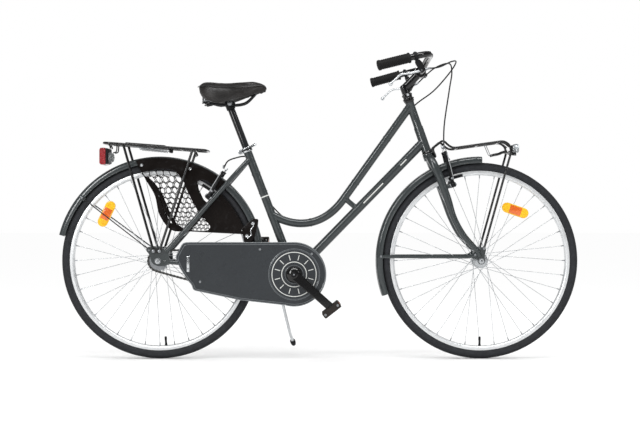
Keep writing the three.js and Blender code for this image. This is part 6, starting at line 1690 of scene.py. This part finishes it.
def saddleFrame():
    bm = bmesh.new()
    for side in (1, -1):
        line = [vec(saddleStart.x + a * saddle["length"], side * y * saddle["railY"],
                    saddleStart.z + z * saddle["depth"])
                for a, y, z in railShares]
        addTube(bm, smoothLine(line, 8), 3.5, 16)
        # a coil spring under the rear of the saddle
        foot = vec(saddleStart.x + 0.13 * saddle["length"], side * 50, saddleStart.z - 0.9 * saddle["depth"])
        coil = []
        for i in range(12 * 7 + 1):
            turn = i * pi / 6
            coil.append(foot + vec(11 * cos(turn), 11 * sin(turn), 5 + i * 40 / 84))
        addTube(bm, coil, 2.2, 10, finish=1)
        addTurned(bm, [(0, 0), (13, 0), (13.6, 1.4), (13.6, 3.4), (5, 4.4), (0, 4.4)], shift(foot), 32, 0)
        feet = [foot + vec(0, 0, 1), foot + vec(0, -side * 28, -2), foot + vec(18, -side * 28, 2)]
        addTube(bm, feet, 3.4, 12)
    top = onSeatTube(saddle["postEnd"] + 0.6)
    addBlock(bm, (top.x - 17, -25.5, top.z + 1), (top.x + 17, 25.5, top.z + 16), 2.6, 0)
    end = saddle["postEnd"]
    profile = [(13.3, end - 12), (15.4, end - 12), (15.8, end - 10), (15.8, end + 6), (12, end + 9),
               (0, end + 9), (0, end + 1), (9.8, end + 1)]
    addTurned(bm, profile, seatLine, 40, 0)
    for side in (1, -1):
        addBolt(bm, vec(top.x, side * 25.6, top.z + 8.5), vec(0, side, 0), 6.4, 5.4, 1)
        addTurned(bm, [(0, -2), (9.6, -2), (10, 0), (8.4, 2.4), (0, 2.4)],
                  alongY(vec(top.x, side * 24.6, top.z + 8.5)), 12, 0)
    makePiece("saddleRails", bm, "seat", "metal steel", "saddle_frame")


seatClamp()
seatpost()
paddedSaddle()
saddleSeams()
saddleFrame()
print("saddle ready")

# Fork, headset and stem

bladeShares = [(0, 0.185, 0.962), (0.043, 0.48, 0.948), (0.086, 0.74, 0.9), (0.146, 0.87, 0.833),
               (0.18, 0.925, 0.767), (0.183, 0.963, 0.579), (0.163, 1, 0.417), (0.386, 1.02, 0.255),
               (0.969, 1.02, 0.085), (1, 1, 0.04)]
bladeSizes = [0.9, 0.97, 1, 1, 1, 0.93, 0.76, 0.76, 0.62, 0.59]
footShares = [(-1, -0.6), (0, -1.1), (1, -0.6), (1.2, 0.8), (2.5, 2.9), (1.9, 3.8), (0.9, 3.4), (-0.8, 3.4),
              (-1.2, 2.9), (-2.4, 2.7), (-2.4, 1.7), (-1, 1)]
front = {"crown": 19, "crownHeight": 25, "blade": 14.5, "bladeY": 54, "pivotY": 43, "pivotAlong": 285,
         "out": 45}


def fork():
    bm = bmesh.new()
    start = bike["headTubeStart"]
    for side in (1, -1):
        points = [onSteering(a * bike["rake"], side * y * front["bladeY"], z * start)
                  for a, y, z in bladeShares]
        line = smoothLine(points, 6)
        sizes = [p.x * front["blade"]
                 for p in smoothLine([vec(s, i, 0) for i, s in enumerate(bladeSizes)], 6)]
        addTube(bm, line, sizes, 28)
        outline = softened([(bike["rake"] + x * 12, z * 12) for x, z in footShares], 5)
        y = side * 50
        addPlate(bm, outline, y, y + side * 4, [arc((bike["rake"], 0), 5, 360, 15, 23)], 0.6, 0, steering)
        post, tip = onSteering(11.5, side * 43, 285), onSteering(36.6, side * 43, 285)
        long = (tip - post).length
        addTurned(bm, [(0, 0), (7.5, 0), (7.5, long - 1), (6.4, long), (0, long)], pointing(post, tip), 28)
        addTube(bm, [post, onSteering(54, side * 43, 285)], 4.8, 16, finish=1)
        addBolt(bm, onSteering(53.5, side * 43, 285), steerAhead, 5.6, 3.6, 1, True)
    low = start - front["crownHeight"]
    crown = [(0, low), (17.4, low), (front["crown"], low + 1.8), (front["crown"], start - 3),
             (17.6, start - 0.6), (12.7, start - 0.6), (12.7, 639.8), (11.4, 639.8), (11.4, 560)]
    addTurned(bm, crown, steering, 48, 0)
    for side in (1, -1):  # the crown's shoulders
        a, b = onSteering(0, side * 8, low + 11), onSteering(4.6, side * 40, start * 0.9)
        addTube(bm, smoothLine([a, a.lerp(b, 0.5) + steerUp * 4, b], 6), [14.5] * 13, 24)
    makePiece("forkBlades", bm, "steering", "frame steel", "fork")


def headset():
    bm = bmesh.new()
    start = bike["headTubeEnd"] + 0.6
    profile = [(13.2, start), (18, start), (20, start + 1.2), (20, start + 5), (17.4, start + 6.6),
               (16.8, start + 8), (16.8, start + 13.4), (15.2, start + 15.4), (15.2, start + 23.6),
               (11.6, start + 24.2), (11.6, start + 20), (13.2, start + 19)]
    addTurned(bm, profile, steering, 48, 0, True, bend=0.4)
    nut = [(14.6, start + 14.6), (18.4, start + 14.6), (18.4, start + 20.6), (17, start + 22),
           (14.6, start + 22)]
    addTurned(bm, nut, steering, 6, 0, True)
    addBolt(bm, steering @ vec(2, -16.6, start + 17.8), vec(0, -1, 0), 3.6, 2, 1)
    for i in range(12):
        turn = steering @ turned(30 * i, "Z")
        addBlock(bm, (19.2, -1.6, start + 1.4), (20.5, 1.6, start + 4.8), 0.4, 0, turn)
    makePiece("headsetParts", bm, "steering", "gloss brushed", "headset_nut")


stemShape = {"elbow": 665, "top": 677, "ahead": 70.3, "along": 699.3, "tube": 14.5, "length": 42}


def stem():
    bm = bmesh.new()
    middle = onSteering(stemShape["ahead"], 0, stemShape["along"])
    top = bike["headTubeEnd"] + 25.3
    quill = [(0, 560), (10, 560), (11, 562), (11, top), (15.5, top), (15.5, 668), (14.6, 674), (11, 677.4),
             (6.4, 678), (6, 675.6), (0, 675.6)]
    addTurned(bm, quill, steering, 48, 0)
    addTurned(bm, [(0, 675), (5.4, 675), (5.4, 679.4), (3, 679.4), (2.8, 676.8), (0, 676.8)], steering, 6, 1)
    elbow = onSteering(0, 0, stemShape["elbow"])
    line = [onSteering(0, 0, stemShape["elbow"] - 7), elbow, middle]
    addTube(bm, roundedLine(line, 8, 5), stemShape["tube"], 32)
    half = stemShape["length"] / 2
    barrel = [(11.7, -half), (17, -half), (19.4, -half + 2), (20, -half + 5), (20, half - 5),
              (19.4, half - 2), (17, half), (11.7, half)]
    addTurned(bm, barrel, alongY(middle), 56, 0, True)
    spot = middle + steerAhead * 15 - steerUp * 12
    addBlock(bm, spot - vec(7, 12, 9), spot + vec(7, 12, 3), 2, 0)
    for y in (-7, 7):
        addBolt(bm, spot + vec(0, y, -8.6), vec(0, 0, -1), 3.2, 4, 1)
    addBand(bm, [elbow - steerUp * 15 + steerAhead * 15, elbow + steerAhead * 26 - steerUp * 4,
                 elbow.lerp(middle, 0.7) - steerUp * 9], 10, 6, edge=1.4)
    makePiece("stemBody", bm, "steering", "gloss steel", "stem")
    return middle


fork()
headset()
cockpit = stem()
print("fork ready")

# Handlebar, grips and brake levers

bar = {"half": 285, "radius": 11.1, "grip": 16, "gripLength": 143.1, "gripStart": 30, "drop": 50}
barShares = [(0, 0.09, 0), (0.008, 0.16, 0.004), (0.028, 0.281, 0.049), (0.056, 0.491, 0.112),
             (0.063, 0.702, 0.13), (0.021, 0.86, 0.123), (-0.091, 0.93, 0.098), (-0.572, 1, -0.028)]
barPoints = [vec(*share) * bar["half"] for share in barShares]
gripWay = (barPoints[7] - barPoints[6]).normalized()
leverShares = [(0, 0), (-0.36, 0), (-0.625, 0.027), (-0.83, -0.088), (-1, -0.21)]
leverSizes = [1, 0.88, 0.81, 0.81, 0.81]
leverReach = 112.7


def mirrored(place, side):
    return vec(place.x, place.y * side, place.z)


def handAxes(side):  # x forward along the grip, z up
    x = -mirrored(gripWay, side)
    z = (vec(0, 0, 1) - x * x.z).normalized()
    return axesAt(cockpit + mirrored(barPoints[6], side), x, z.cross(x), z)


def handlebar():
    bm = bmesh.new()
    curve = smoothLine(barPoints, 10)[:61]
    half = [*curve, barPoints[6] + gripWay * (bar["gripLength"] - 3.3)]
    line = [cockpit + mirrored(p, -1) for p in reversed(half)] + [cockpit + p for p in half]
    addTube(bm, line, bar["radius"], 28)
    for side in (1, -1):  # knurled sleeve beside the stem
        for i in range(6):
            y = side * (22.5 + i * 1.6)
            ring = [(11, y - 0.5), (11.5, y - 0.2), (11.5, y + 0.2), (11, y + 0.5)]
            addTurned(bm, ring, alongY(cockpit), 40, 0, True)
    makePiece("handlebarTube", bm, "steering", "gloss", "handlebar")


def grip(side):
    bm = bmesh.new()
    stand = handAxes(side) @ alongX()
    start, end, size = -bar["gripStart"], -bar["gripLength"], bar["grip"]
    profile = [(11.7, start), (size + 1, start), (size + 2, start - 1.6), (size + 2, start - 5),
               (size, start - 9)]
    along = start - 12
    while along > end + 20:  # ribs for the fingers
        profile += [(size - 0.2, along), (size + 0.9, along - 1.2), (size + 0.9, along - 3.2),
                    (size - 0.2, along - 4.4)]
        along -= 6.2
    profile += [(size + 0.3, end + 12), (size + 1.6, end + 6), (size + 1.2, end + 1.5), (size - 2, end),
                (0, end), (0, end + 3), (11.7, end + 3)]
    addTurned(bm, profile, stand, 48, 0)
    addTurned(bm, [(size + 1.2, end + 8.6), (size + 2.0, end + 8.2), (size + 2.0, end + 6.4),
                   (size + 1.2, end + 6)], stand, 48, 1, True)
    cap = [(0, end + 0.4), (8, end + 0.4), (9, end - 0.7), (7, end - 0.9), (0, end - 0.6)]
    addTurned(bm, cap, stand, 32, 1)
    name = sideName[side]
    makePiece(name + "Grip", bm, "steering", "grip plastic", "grip_" + name)


def lever(side):
    stand = handAxes(side)
    name = sideName[side]
    drop = bar["drop"]
    bm = bmesh.new()
    profile = [(11.7, -15), (14, -15), (14.6, -14), (14.6, -5), (14, -4), (11.7, -4)]
    addTurned(bm, profile, stand @ alongX(), 40, 0, True)
    shares = [(-0.29, -0.3), (-0.08, -0.24), (0.1, -0.5), (0.16, -0.86), (0.12, -1.08), (-0.02, -1.16),
              (-0.17, -1.1), (-0.22, -0.7), (-0.29, -0.5)]
    outline = softened([(x * drop, z * drop) for x, z in shares], 4, 4)
    for y in (-8.5, 5.3):
        addPlate(bm, outline, y, y + 3.2, edge=0.8, matrix=stand)
    addBlock(bm, (-14, -5.6, -34), (1, 5.6, -13.6), 1.6, 0, stand)
    addBlock(bm, (4.6, -8.4, -55), (10.4, 8.4, -42), 1.8, 0, stand)
    adjuster = [(2.2, 9.6), (5.2, 9.6), (5.6, 10.6), (5.6, 14), (4.2, 15), (4.2, 20.4), (2.2, 20.4)]
    addTurned(bm, adjuster, stand @ alongX(vec(0, 0, -drop)), 16, 1, True)
    addTube(bm, [vec(-3, -8.8, -drop), vec(-3, 8.8, -drop)], 2.6, 16, finish=1, matrix=stand)
    addBolt(bm, stand @ vec(-9.5, 0, 14.2), way(stand, 0, 0, 1), 2.8, 2.4, 1, True)
    makePiece(name + "LeverClamp", bm, "steering", "plastic steel", "lever_bracket_" + name)
    blade = bmesh.new()
    pivot = stand @ shift((-3, 0, -drop))
    line = smoothLine([vec(x * leverReach, 0, z * leverReach) for x, z in leverShares], 8)
    sizes = [p.x * 5.2 for p in smoothLine([vec(s, i, 0) for i, s in enumerate(leverSizes)], 8)]
    addTube(blade, line, sizes, 20, matrix=pivot @ Matrix.Scale(0.82, 4, (0, 0, 1)))
    end = line[-1].copy()
    end.z *= 0.82
    ball = arc((0, 0), 7, -90, 90, 12)
    addTurned(blade, ball, pivot @ shift(end), 28)
    addTurned(blade, [(2.8, -4.8), (6.2, -4.8), (6.5, -4.4), (6.5, 4.4), (6.2, 4.8), (2.8, 4.8)],
              pivot @ alongY(), 32, 0, True)
    makePiece(name + "BrakeLever", blade, name + "_lever", "brushed", "brake_lever_" + name)


handlebar()
for side in (1, -1):
    grip(side)
    lever(side)
print("bar ready")

# Brake arms, about their pivots: x out along the pin, z up

brake = {"padY": 14.7, "padThick": 9, "padHeight": 9, "padRadius": 312.5, "before": 5, "after": 45,
         "topY": 40, "arm": 7}


def brakeArm(name, body, stand, side, out, middle, tip):
    bm = bmesh.new()
    y, pivotUp = side * front["pivotY"], front["pivotAlong"]
    tipOut, tipUp = tip[0], bike["guardRadius"] + tip[1] - pivotUp
    eye = [(5.3, -8), (8.4, -8), (9, -7.2), (9, 7.2), (8.4, 8), (5.3, 8)]
    addTurned(bm, eye, stand @ alongX(vec(out, y, 0)), 32, 0, True)
    path = [vec(out, y, 3), vec(out + tipOut * 0.3, side * 44, tipUp * 0.3),
            vec(out + tipOut * 0.62, side * 43, tipUp * 0.62),
            vec(out + tipOut, side * brake["topY"], tipUp)]
    line = smoothLine(path, 6)
    addTube(bm, line[:12], [brake["arm"] * (1 - 0.2 * i / 11) for i in range(12)], 20, matrix=stand)
    addTube(bm, line[9:], [brake["arm"] * 0.64] * (len(line) - 9), 16, matrix=stand)
    wire = [point + vec(brake["arm"] * 0.9, side * brake["arm"] * 0.7, 0) for point in line[3:]]
    addTube(bm, wire, 1.3, 10, finish=3, matrix=stand)  # the return spring's leg
    end = path[-1]
    addTurned(bm, [(0, -5), (5, -5), (5.4, -4.4), (5.4, 4.4), (5, 5), (0, 5)], stand @ alongX(end), 24, 0)
    addBolt(bm, stand @ (end + vec(4.8, 0, 0)), way(stand, 1, 0, 0), 3.2, 3, 1)
    radius = brake["padRadius"]

    def angle(place):
        return 90 - degrees(asin((place - middle) / radius))

    start, stop = angle(out + brake["after"]), angle(out - brake["before"])
    centre = (middle, -pivotUp)
    low = radius - brake["padHeight"]
    outline = arc(centre, radius, start, stop, 10) + arc(centre, low, stop, start, 10)
    inner, outer = side * brake["padY"], side * (brake["padY"] + brake["padThick"])
    addPlate(bm, softened(outline, 1.4, 2), inner, (inner + outer) / 2, edge=0.6, finish=2, matrix=stand)
    addPlate(bm, softened(outline, 1.4, 2), (inner + outer) / 2, outer, edge=0.8, finish=0, matrix=stand)
    for i in range(1, 6):  # grooves shown as thin ribs of the shoe
        at = radians(start + (stop - start) * i / 6)
        spot = vec(middle + (radius - 4.5) * cos(at), (inner + outer) / 2,
                   -pivotUp + (radius - 4.5) * sin(at))
        turn = stand @ shift(spot) @ Matrix.Rotation(pi / 2 - at, 4, "Y")
        addBlock(bm, (-0.7, -4.7, -4.3), (0.7, 4.7, 4.9), 0.2, 2, turn)
    studUp = radius - brake["padHeight"] / 2 - pivotUp
    shoe, post = vec(out + 4, outer * 0.94, studUp), vec(out + 4, side * 43, studUp)
    addTube(bm, [shoe, post], 4, 16, finish=1, matrix=stand)
    for reach in (0.35, 0.6, 0.85):
        spot = shoe.lerp(post, reach)
        addTurned(bm, [(4, -1.4), (7.4 - 2 * reach, -1.4), (7.4 - 2 * reach, 1.4), (4, 1.4)],
                  stand @ alongY(spot), 20, 0 if reach == 0.6 else 1, True)
    addBolt(bm, stand @ (post + vec(0, side * 4, 0)), way(stand, 0, side, 0), 4.2, 3.6, 1)
    # the return spring round the pivot
    coil = [vec(out - 11 + i * 0.11, y + 8.2 * cos(i * pi / 6), 8.2 * sin(i * pi / 6)) for i in range(26)]
    leg = [vec(out - 8.4, y - side * 5, 12), vec(out - 8.4, y - side * 4, 30)]
    addTube(bm, [*coil, *leg], 0.9, 8, finish=1, matrix=stand)
    makePiece(name, bm, body, "metal steel pad brushed",
              body.replace("_arm_", "_brake_arm_"))
    return stand @ end


frontBrake = steering @ shift((0, 0, front["pivotAlong"]))
rearBrake = axesAt(onSeatStay(0, 0, front["pivotAlong"]), stayOut, vec(0, -1, 0), stayUp)
frontTips, rearTips = {}, {}
for side, name in ((-1, "right"), (1, "left")):
    frontTips[name] = brakeArm(name + "FrontBrake", "front_arm_" + name, frontBrake, side, front["out"],
                               bike["rake"], (11, 33))
    rearTips[name] = brakeArm(name + "RearBrake", "rear_arm_" + name, rearBrake, -side, 18.5, 0, (17.5, 14))

# Front rack and head lamp

carrier = {"rod": 4, "half": 62, "length": 175, "rear": (-97, 396), "crown": (21.9, 14, 3),
           "neck": (20.5, 20, 35),
           "shares": [(-0.217, 0.16), (-0.097, 0.04), (0, 0), (1, 0.141), (1.12, 0.06), (1.145, -0.08)],
           "cross": (0.08, 0.5, 0.92), "foot": (9, 60, 45)}


def onCarrier(share, y=0):
    x, z = carrier["rear"]
    return frontAxle + vec(x + share[0] * carrier["length"], y, z + share[1] * carrier["length"])


def frontRack():
    bm = bmesh.new()
    size, half = carrier["rod"], carrier["half"]
    crown = bike["headTubeStart"] - front["crownHeight"]
    shares = carrier["shares"]
    for side in (1, -1):
        (a, y, up), (b, z, rise) = carrier["crown"], carrier["neck"]
        foot = frontAxle + vec(carrier["foot"][0], side * carrier["foot"][1], carrier["foot"][2])
        path = [onSteering(a, side * y, crown + up), onSteering(b, side * z, crown + rise),
                *[onCarrier(share, side * half) for share in shares], foot]
        addTube(bm, roundedLine(path, 13, 6), size, 18)
        addBolt(bm, foot + vec(0, side * 3.4, 0), vec(0, side, 0), 4, 3.4, 1)
        # a thin wire within the platform, bent down before the lamp
        inner = [onCarrier((0.02, 0.0), side * 30), onCarrier((0.9, 0.127), side * 30),
                 onCarrier((1.03, 0.11), side * 30), onCarrier((1.13, 0.03), side * 30)]
        addTube(bm, roundedLine(inner, 8), 2.6, 14)
    for share in carrier["cross"]:
        start, end = (onCarrier(shares[2]).lerp(onCarrier(shares[3]), share) + vec(0, y, 0)
                      for y in (-half, half))
        addTube(bm, [start, end], size * 0.9, 16)
    low = onCarrier(shares[5])
    addTube(bm, [low - vec(0, half, 0), low + vec(0, half, 0)], size, 16)
    plate = steering @ shift((19.6, 0, crown + 12))
    addBlock(bm, (0, -18, -11.6), (4, 18, 11.6), 1.4, 0, plate)
    addBolt(bm, onSteering(23.6, 0, crown + 12), steerAhead, 5, 4, 1)
    # the lamp's bracket
    place = low + vec(5.6, 0, 15.5)
    middle = place + vec(15.5, 0, 0)
    addBand(bm, roundedLine([low + vec(-2, 0, 1), vec(middle.x - 6, 0, middle.z - 18.2),
                             vec(middle.x + 6, 0, middle.z - 18.2)], 5), 14, 3, edge=0.6)
    addBolt(bm, middle + vec(0, 0, -20), vec(0, 0, -1), 4, 3.4, 1)
    # the silver spring wire that holds a load, and its black fitting
    wire = [(0.66, 0.09), (0.69, 0.02), (0.75, -0.125), (0.8, -0.14)]
    fitting = [(0.78, -0.14), (0.86, -0.12), (0.94, -0.105), (1.02, -0.07), (1.1, -0.06)]
    for y in (-22, 22):
        addTube(bm, roundedLine([onCarrier(share, y) for share in wire], 6), 1.3, 12, finish=1)
        addTube(bm, smoothLine([onCarrier(share, y) for share in fitting], 6), 4.6, 14)
    makePiece("frontRackRods", bm, "steering", "gloss steel", "front_rack")
    return place


def headLamp(place):
    bm = bmesh.new()
    stand = alongX(place)
    back = [(0, 0), (6, 0.4), (9, 1.6), (11.4, 4), (12.2, 7), (11, 8), (0, 8)]
    addTurned(bm, back, stand, 40, 0)
    bowl = [(0, 8.6), (7, 9.6), (10.6, 13), (12.8, 19), (14, 27), (14.8, 27), (13.8, 19), (11.6, 12.4),
            (7.6, 8.8), (0, 7.8)]
    addTurned(bm, bowl, stand, 48, 2)
    glass = [(12, 6.6), (14.4, 10), (15.8, 16), (16, 24), (14.6, 28.4), (9, 30.4), (0, 31), (0, 30),
             (8.6, 29.4), (14, 27.6), (15, 24), (14.8, 16), (13.6, 10.6), (11.4, 7.4)]
    addTurned(bm, glass, stand, 48, 1)
    addTurned(bm, [(15.4, 19), (16.4, 19.4), (16.4, 22.6), (15.4, 23)], stand, 48, 2, True)
    addTurned(bm, [(0, 9), (2.6, 9.4), (3, 14), (1.8, 17), (0, 17.6)], stand, 20, 2)
    makePiece("headLampBody", bm, "steering", "plastic clear chrome", "head_lamp")


headLamp(frontRack())
print("front rack ready")

# Brake cables

route = {
    "rear": [(400, -240, 1006), (450, -170, 1033), (474, -90, 1040), (460, -15, 1012), (405, 18, 950),
             (345, 25, 905)],
    "rearEnd": [(-246, 19, 709), (-267, 16, 717), (-297, 12, 712), (-327, 2, 699), (-341, 0, 674)],
    "front": [(426, 230, 1054), (474, 170, 1066), (479, 100, 1028), (464, 40, 957), (442, 0, 828),
              (440, 0, 778), (441, 0, 744)],
}


def ferrule(bm, place, way, finish=1):
    profile = [(2.4, -7), (3.3, -6.4), (3.5, -2), (3.5, 5), (2.9, 6), (2.4, 6)]
    addTurned(bm, profile, facing(place, way), 20, finish, True)


def addYoke(bm, place, ahead, up, finish):  # the plate that pulls the wire between both arms
    shape = softened([(-9, -5), (9, -5), (4, 7), (-4, 7)], 3)
    addPlate(bm, shape, -2.5, 2.5, edge=0.6, finish=finish, matrix=axesAt(place, vec(0, 1, 0), -ahead, up))


def frontCable():
    bm = bmesh.new()
    start = handAxes(1) @ vec(22.3, 0, -bar["drop"])
    line = smoothLine([start, *[vec(*p) for p in route["front"]]], 10)
    addTube(bm, line, 2.5, 12)
    ferrule(bm, line[0] + (line[1] - line[0]).normalized() * 4, line[1] - line[0])
    end = line[-1]
    ferrule(bm, end + vec(0, 0, 4), vec(0, 0, -1))
    yoke = (frontTips["left"] + frontTips["right"]) / 2 + steerUp * 22
    addTube(bm, [end, yoke], 0.9, 8, finish=1)
    addYoke(bm, yoke, steerAhead, steerUp, 1)
    hang = [end + vec(5, 0, 3), end + vec(9, 0, -14), end + vec(16, 0, -34), end + vec(20, 2, -40)]
    addTube(bm, smoothLine(hang, 6), [1.6] * 12 + [2.8] * 7, 10, finish=1)
    makePiece("frontCable", bm, "steering", "cable steel", "front_brake_cable")
    return yoke


def straddle(name, body, yoke, tip):  # from the yoke to one arm
    bm = bmesh.new()
    side = 1 if tip.y > 0 else -1
    start = yoke + vec(0, side * 7, 0)
    points = [start.lerp(tip, i / 24) for i in range(25)]
    addTube(bm, points, 0.9, 8)
    piece = makePiece(name, bm, None, "steel")
    near, far = toMetres @ start, toMetres @ tip
    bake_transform(piece)


def rearCable():
    bm = bmesh.new()
    start = handAxes(-1) @ vec(22.3, 0, -bar["drop"])
    beside = tubes["top"] + 2.5 + 0.6
    head, bend = swanNeck[0], swanNeck[1]
    onTop = [head.lerp(bend, 0.16), head.lerp(bend, 0.55), bend]
    onTop += [swanNeck[1 + round(40 * share)] for share in (0.25, 0.5, 0.75)]
    onSeat = [onSeatTube(along, tubes["seat"] + 3.7) for along in (292.5, 348.75, 405)]
    points = [start, *[vec(*p) for p in route["rear"]], *[vec(p.x, beside, p.z) for p in onTop], *onSeat,
              *[vec(*p) for p in route["rearEnd"]]]
    line = smoothLine(points, 10)
    addTube(bm, line, 2.5, 12)
    ferrule(bm, line[0] + (line[1] - line[0]).normalized() * 4, line[1] - line[0])
    ferrule(bm, line[-1] + vec(0, 0, 5), vec(0, 0, -1))
    piece = makePiece("rearCable", bm, None, "cable steel", "rear_brake_cable")
    begin, end = toMetres @ vec(*route["rear"][5]), toMetres @ vec(*route["rear"][2])
    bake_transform(piece)
    ties = bmesh.new()
    for place in (onTop[0].lerp(onTop[1], 0.5), onTop[1].lerp(onTop[2], 0.6), onTop[4]):
        neck = swanNeck[24] - swanNeck[20] if place is onTop[4] else bend - head
        size = tubes["top"]
        clip = [(size + 0.1, -3), (size + 1, -2.6), (size + 1, 2.6), (size + 0.1, 3)]
        addTurned(ties, clip, facing(place, neck.normalized()), 40, 0, True)
    for along in (310, 380):
        clip = [(15.1, along - 3), (16, along - 2.6), (16, along + 2.6), (15.1, along + 3)]
        addTurned(ties, clip, seatLine, 40, 0, True)
    makePiece("cableClips", ties, "frame", "frame")
    yoke = (rearTips["left"] + rearTips["right"]) / 2 + stayUp * 14
    low = bmesh.new()
    addTube(low, [line[-1], yoke], 0.9, 8)
    addYoke(low, yoke, stayOut, stayUp, 0)
    makePiece("rearYoke", low, "frame", "steel")
    return yoke


frontYoke, rearYoke = frontCable(), rearCable()
for name in ("left", "right"):
    straddle(name + "FrontStraddle", "front_arm_" + name, frontYoke, frontTips[name])
    straddle(name + "RearStraddle", "rear_arm_" + name, rearYoke, rearTips[name])
print("cables ready")

# Studio

studio = {"lens": 72.89, "distance": 4.6, "height": 0.5137, "across": 0.00545,
          "lit": 1.0, "mirrored": 0.25, "shown": 1.0, "floor": 0.98}

camera = linked("camera", bpy.data.cameras.new("camera"))
camera.data.lens = studio["lens"]
camera.data.sensor_width = 36
camera.location = (studio["across"], -studio["distance"], studio["height"])
camera.rotation_euler = (radians(90), 0, 0)
bpy.context.scene.camera = camera


def softBox(name, place, aim, size, power, lights=True):
    lamp = bpy.data.lights.new(name, "AREA")
    lamp.shape = "RECTANGLE"
    lamp.size, lamp.size_y = size
    lamp.energy = power
    holder = linked(name, lamp)
    holder.location = place
    holder.visible_diffuse = lights
    holder.rotation_euler = (Vector(aim) - Vector(place)).to_track_quat("-Z", "Y").to_euler()


softBox("topStrip", (0.1, -0.9, 3.0), (0, 0, 0.5), (3.2, 0.09), 17)
softBox("keyStrip", (-2.6, -2.6, 1.9), (0, 0, 0.6), (0.12, 1.5), 10)
softBox("fillStrip", (2.8, -2.2, 1.7), (0, 0, 0.6), (0.12, 1.4), 7)
softBox("backBox", (0.4, 2.8, 1.8), (0, 0, 0.5), (2.6, 0.4), 8)
# Two boxes that only glossy surfaces show
softBox("shineLeft", (-2.4, -2.8, 1.9), (0, 0, 0.6), (0.55, 2.2), 60, False)
softBox("shineTop", (0.1, -1.4, 2.9), (0, 0, 0.5), (3.4, 0.4), 60, False)


def paleWorld():  # white where the camera looks, plain light elsewhere, and dimmer in reflections
    world = bpy.data.worlds.new("studio")
    bpy.context.scene.world = world
    world.use_nodes = True
    tree = world.node_tree
    tree.nodes.remove(tree.nodes["Background"])

    def node(kind, *inputs):
        made = tree.nodes.new("ShaderNode" + kind)
        for socket, value in zip(made.inputs, inputs):
            if isinstance(value, bpy.types.NodeSocket):
                tree.links.new(value, socket)
            else:
                socket.default_value = value
        return made

    rays = node("LightPath").outputs
    seen = node("Math", rays["Is Camera Ray"], rays["Is Transmission Ray"])
    seen.operation = "MAXIMUM"
    lit, mirrored, shown = (node("Background", (1, 1, 1, 1), studio[key]).outputs[0]
                            for key in ("lit", "mirrored", "shown"))
    lights = node("MixShader", rays["Is Glossy Ray"], lit, mirrored).outputs[0]
    both = node("MixShader", seen.outputs[0], lights, shown).outputs[0]
    tree.links.new(both, tree.nodes["World Output"].inputs[0])


def paleFloor():
    bm = bmesh.new()
    bmesh.ops.create_grid(bm, x_segments=4, y_segments=4, size=30)
    mesh = bpy.data.meshes.new("floor")
    bm.to_mesh(mesh)
    bm.free()
    floor = linked("floor", mesh)
    shade = Surface("paleFloor").shade("", BaseColor=(*[studio["floor"]] * 3, 1), Roughness=0.5,
                                       Specular=0.0)
    mesh.materials.append(shade["material"])


paleWorld()
paleFloor()
bpy.context.scene.view_settings.view_transform = "Standard"
print("studio ready")
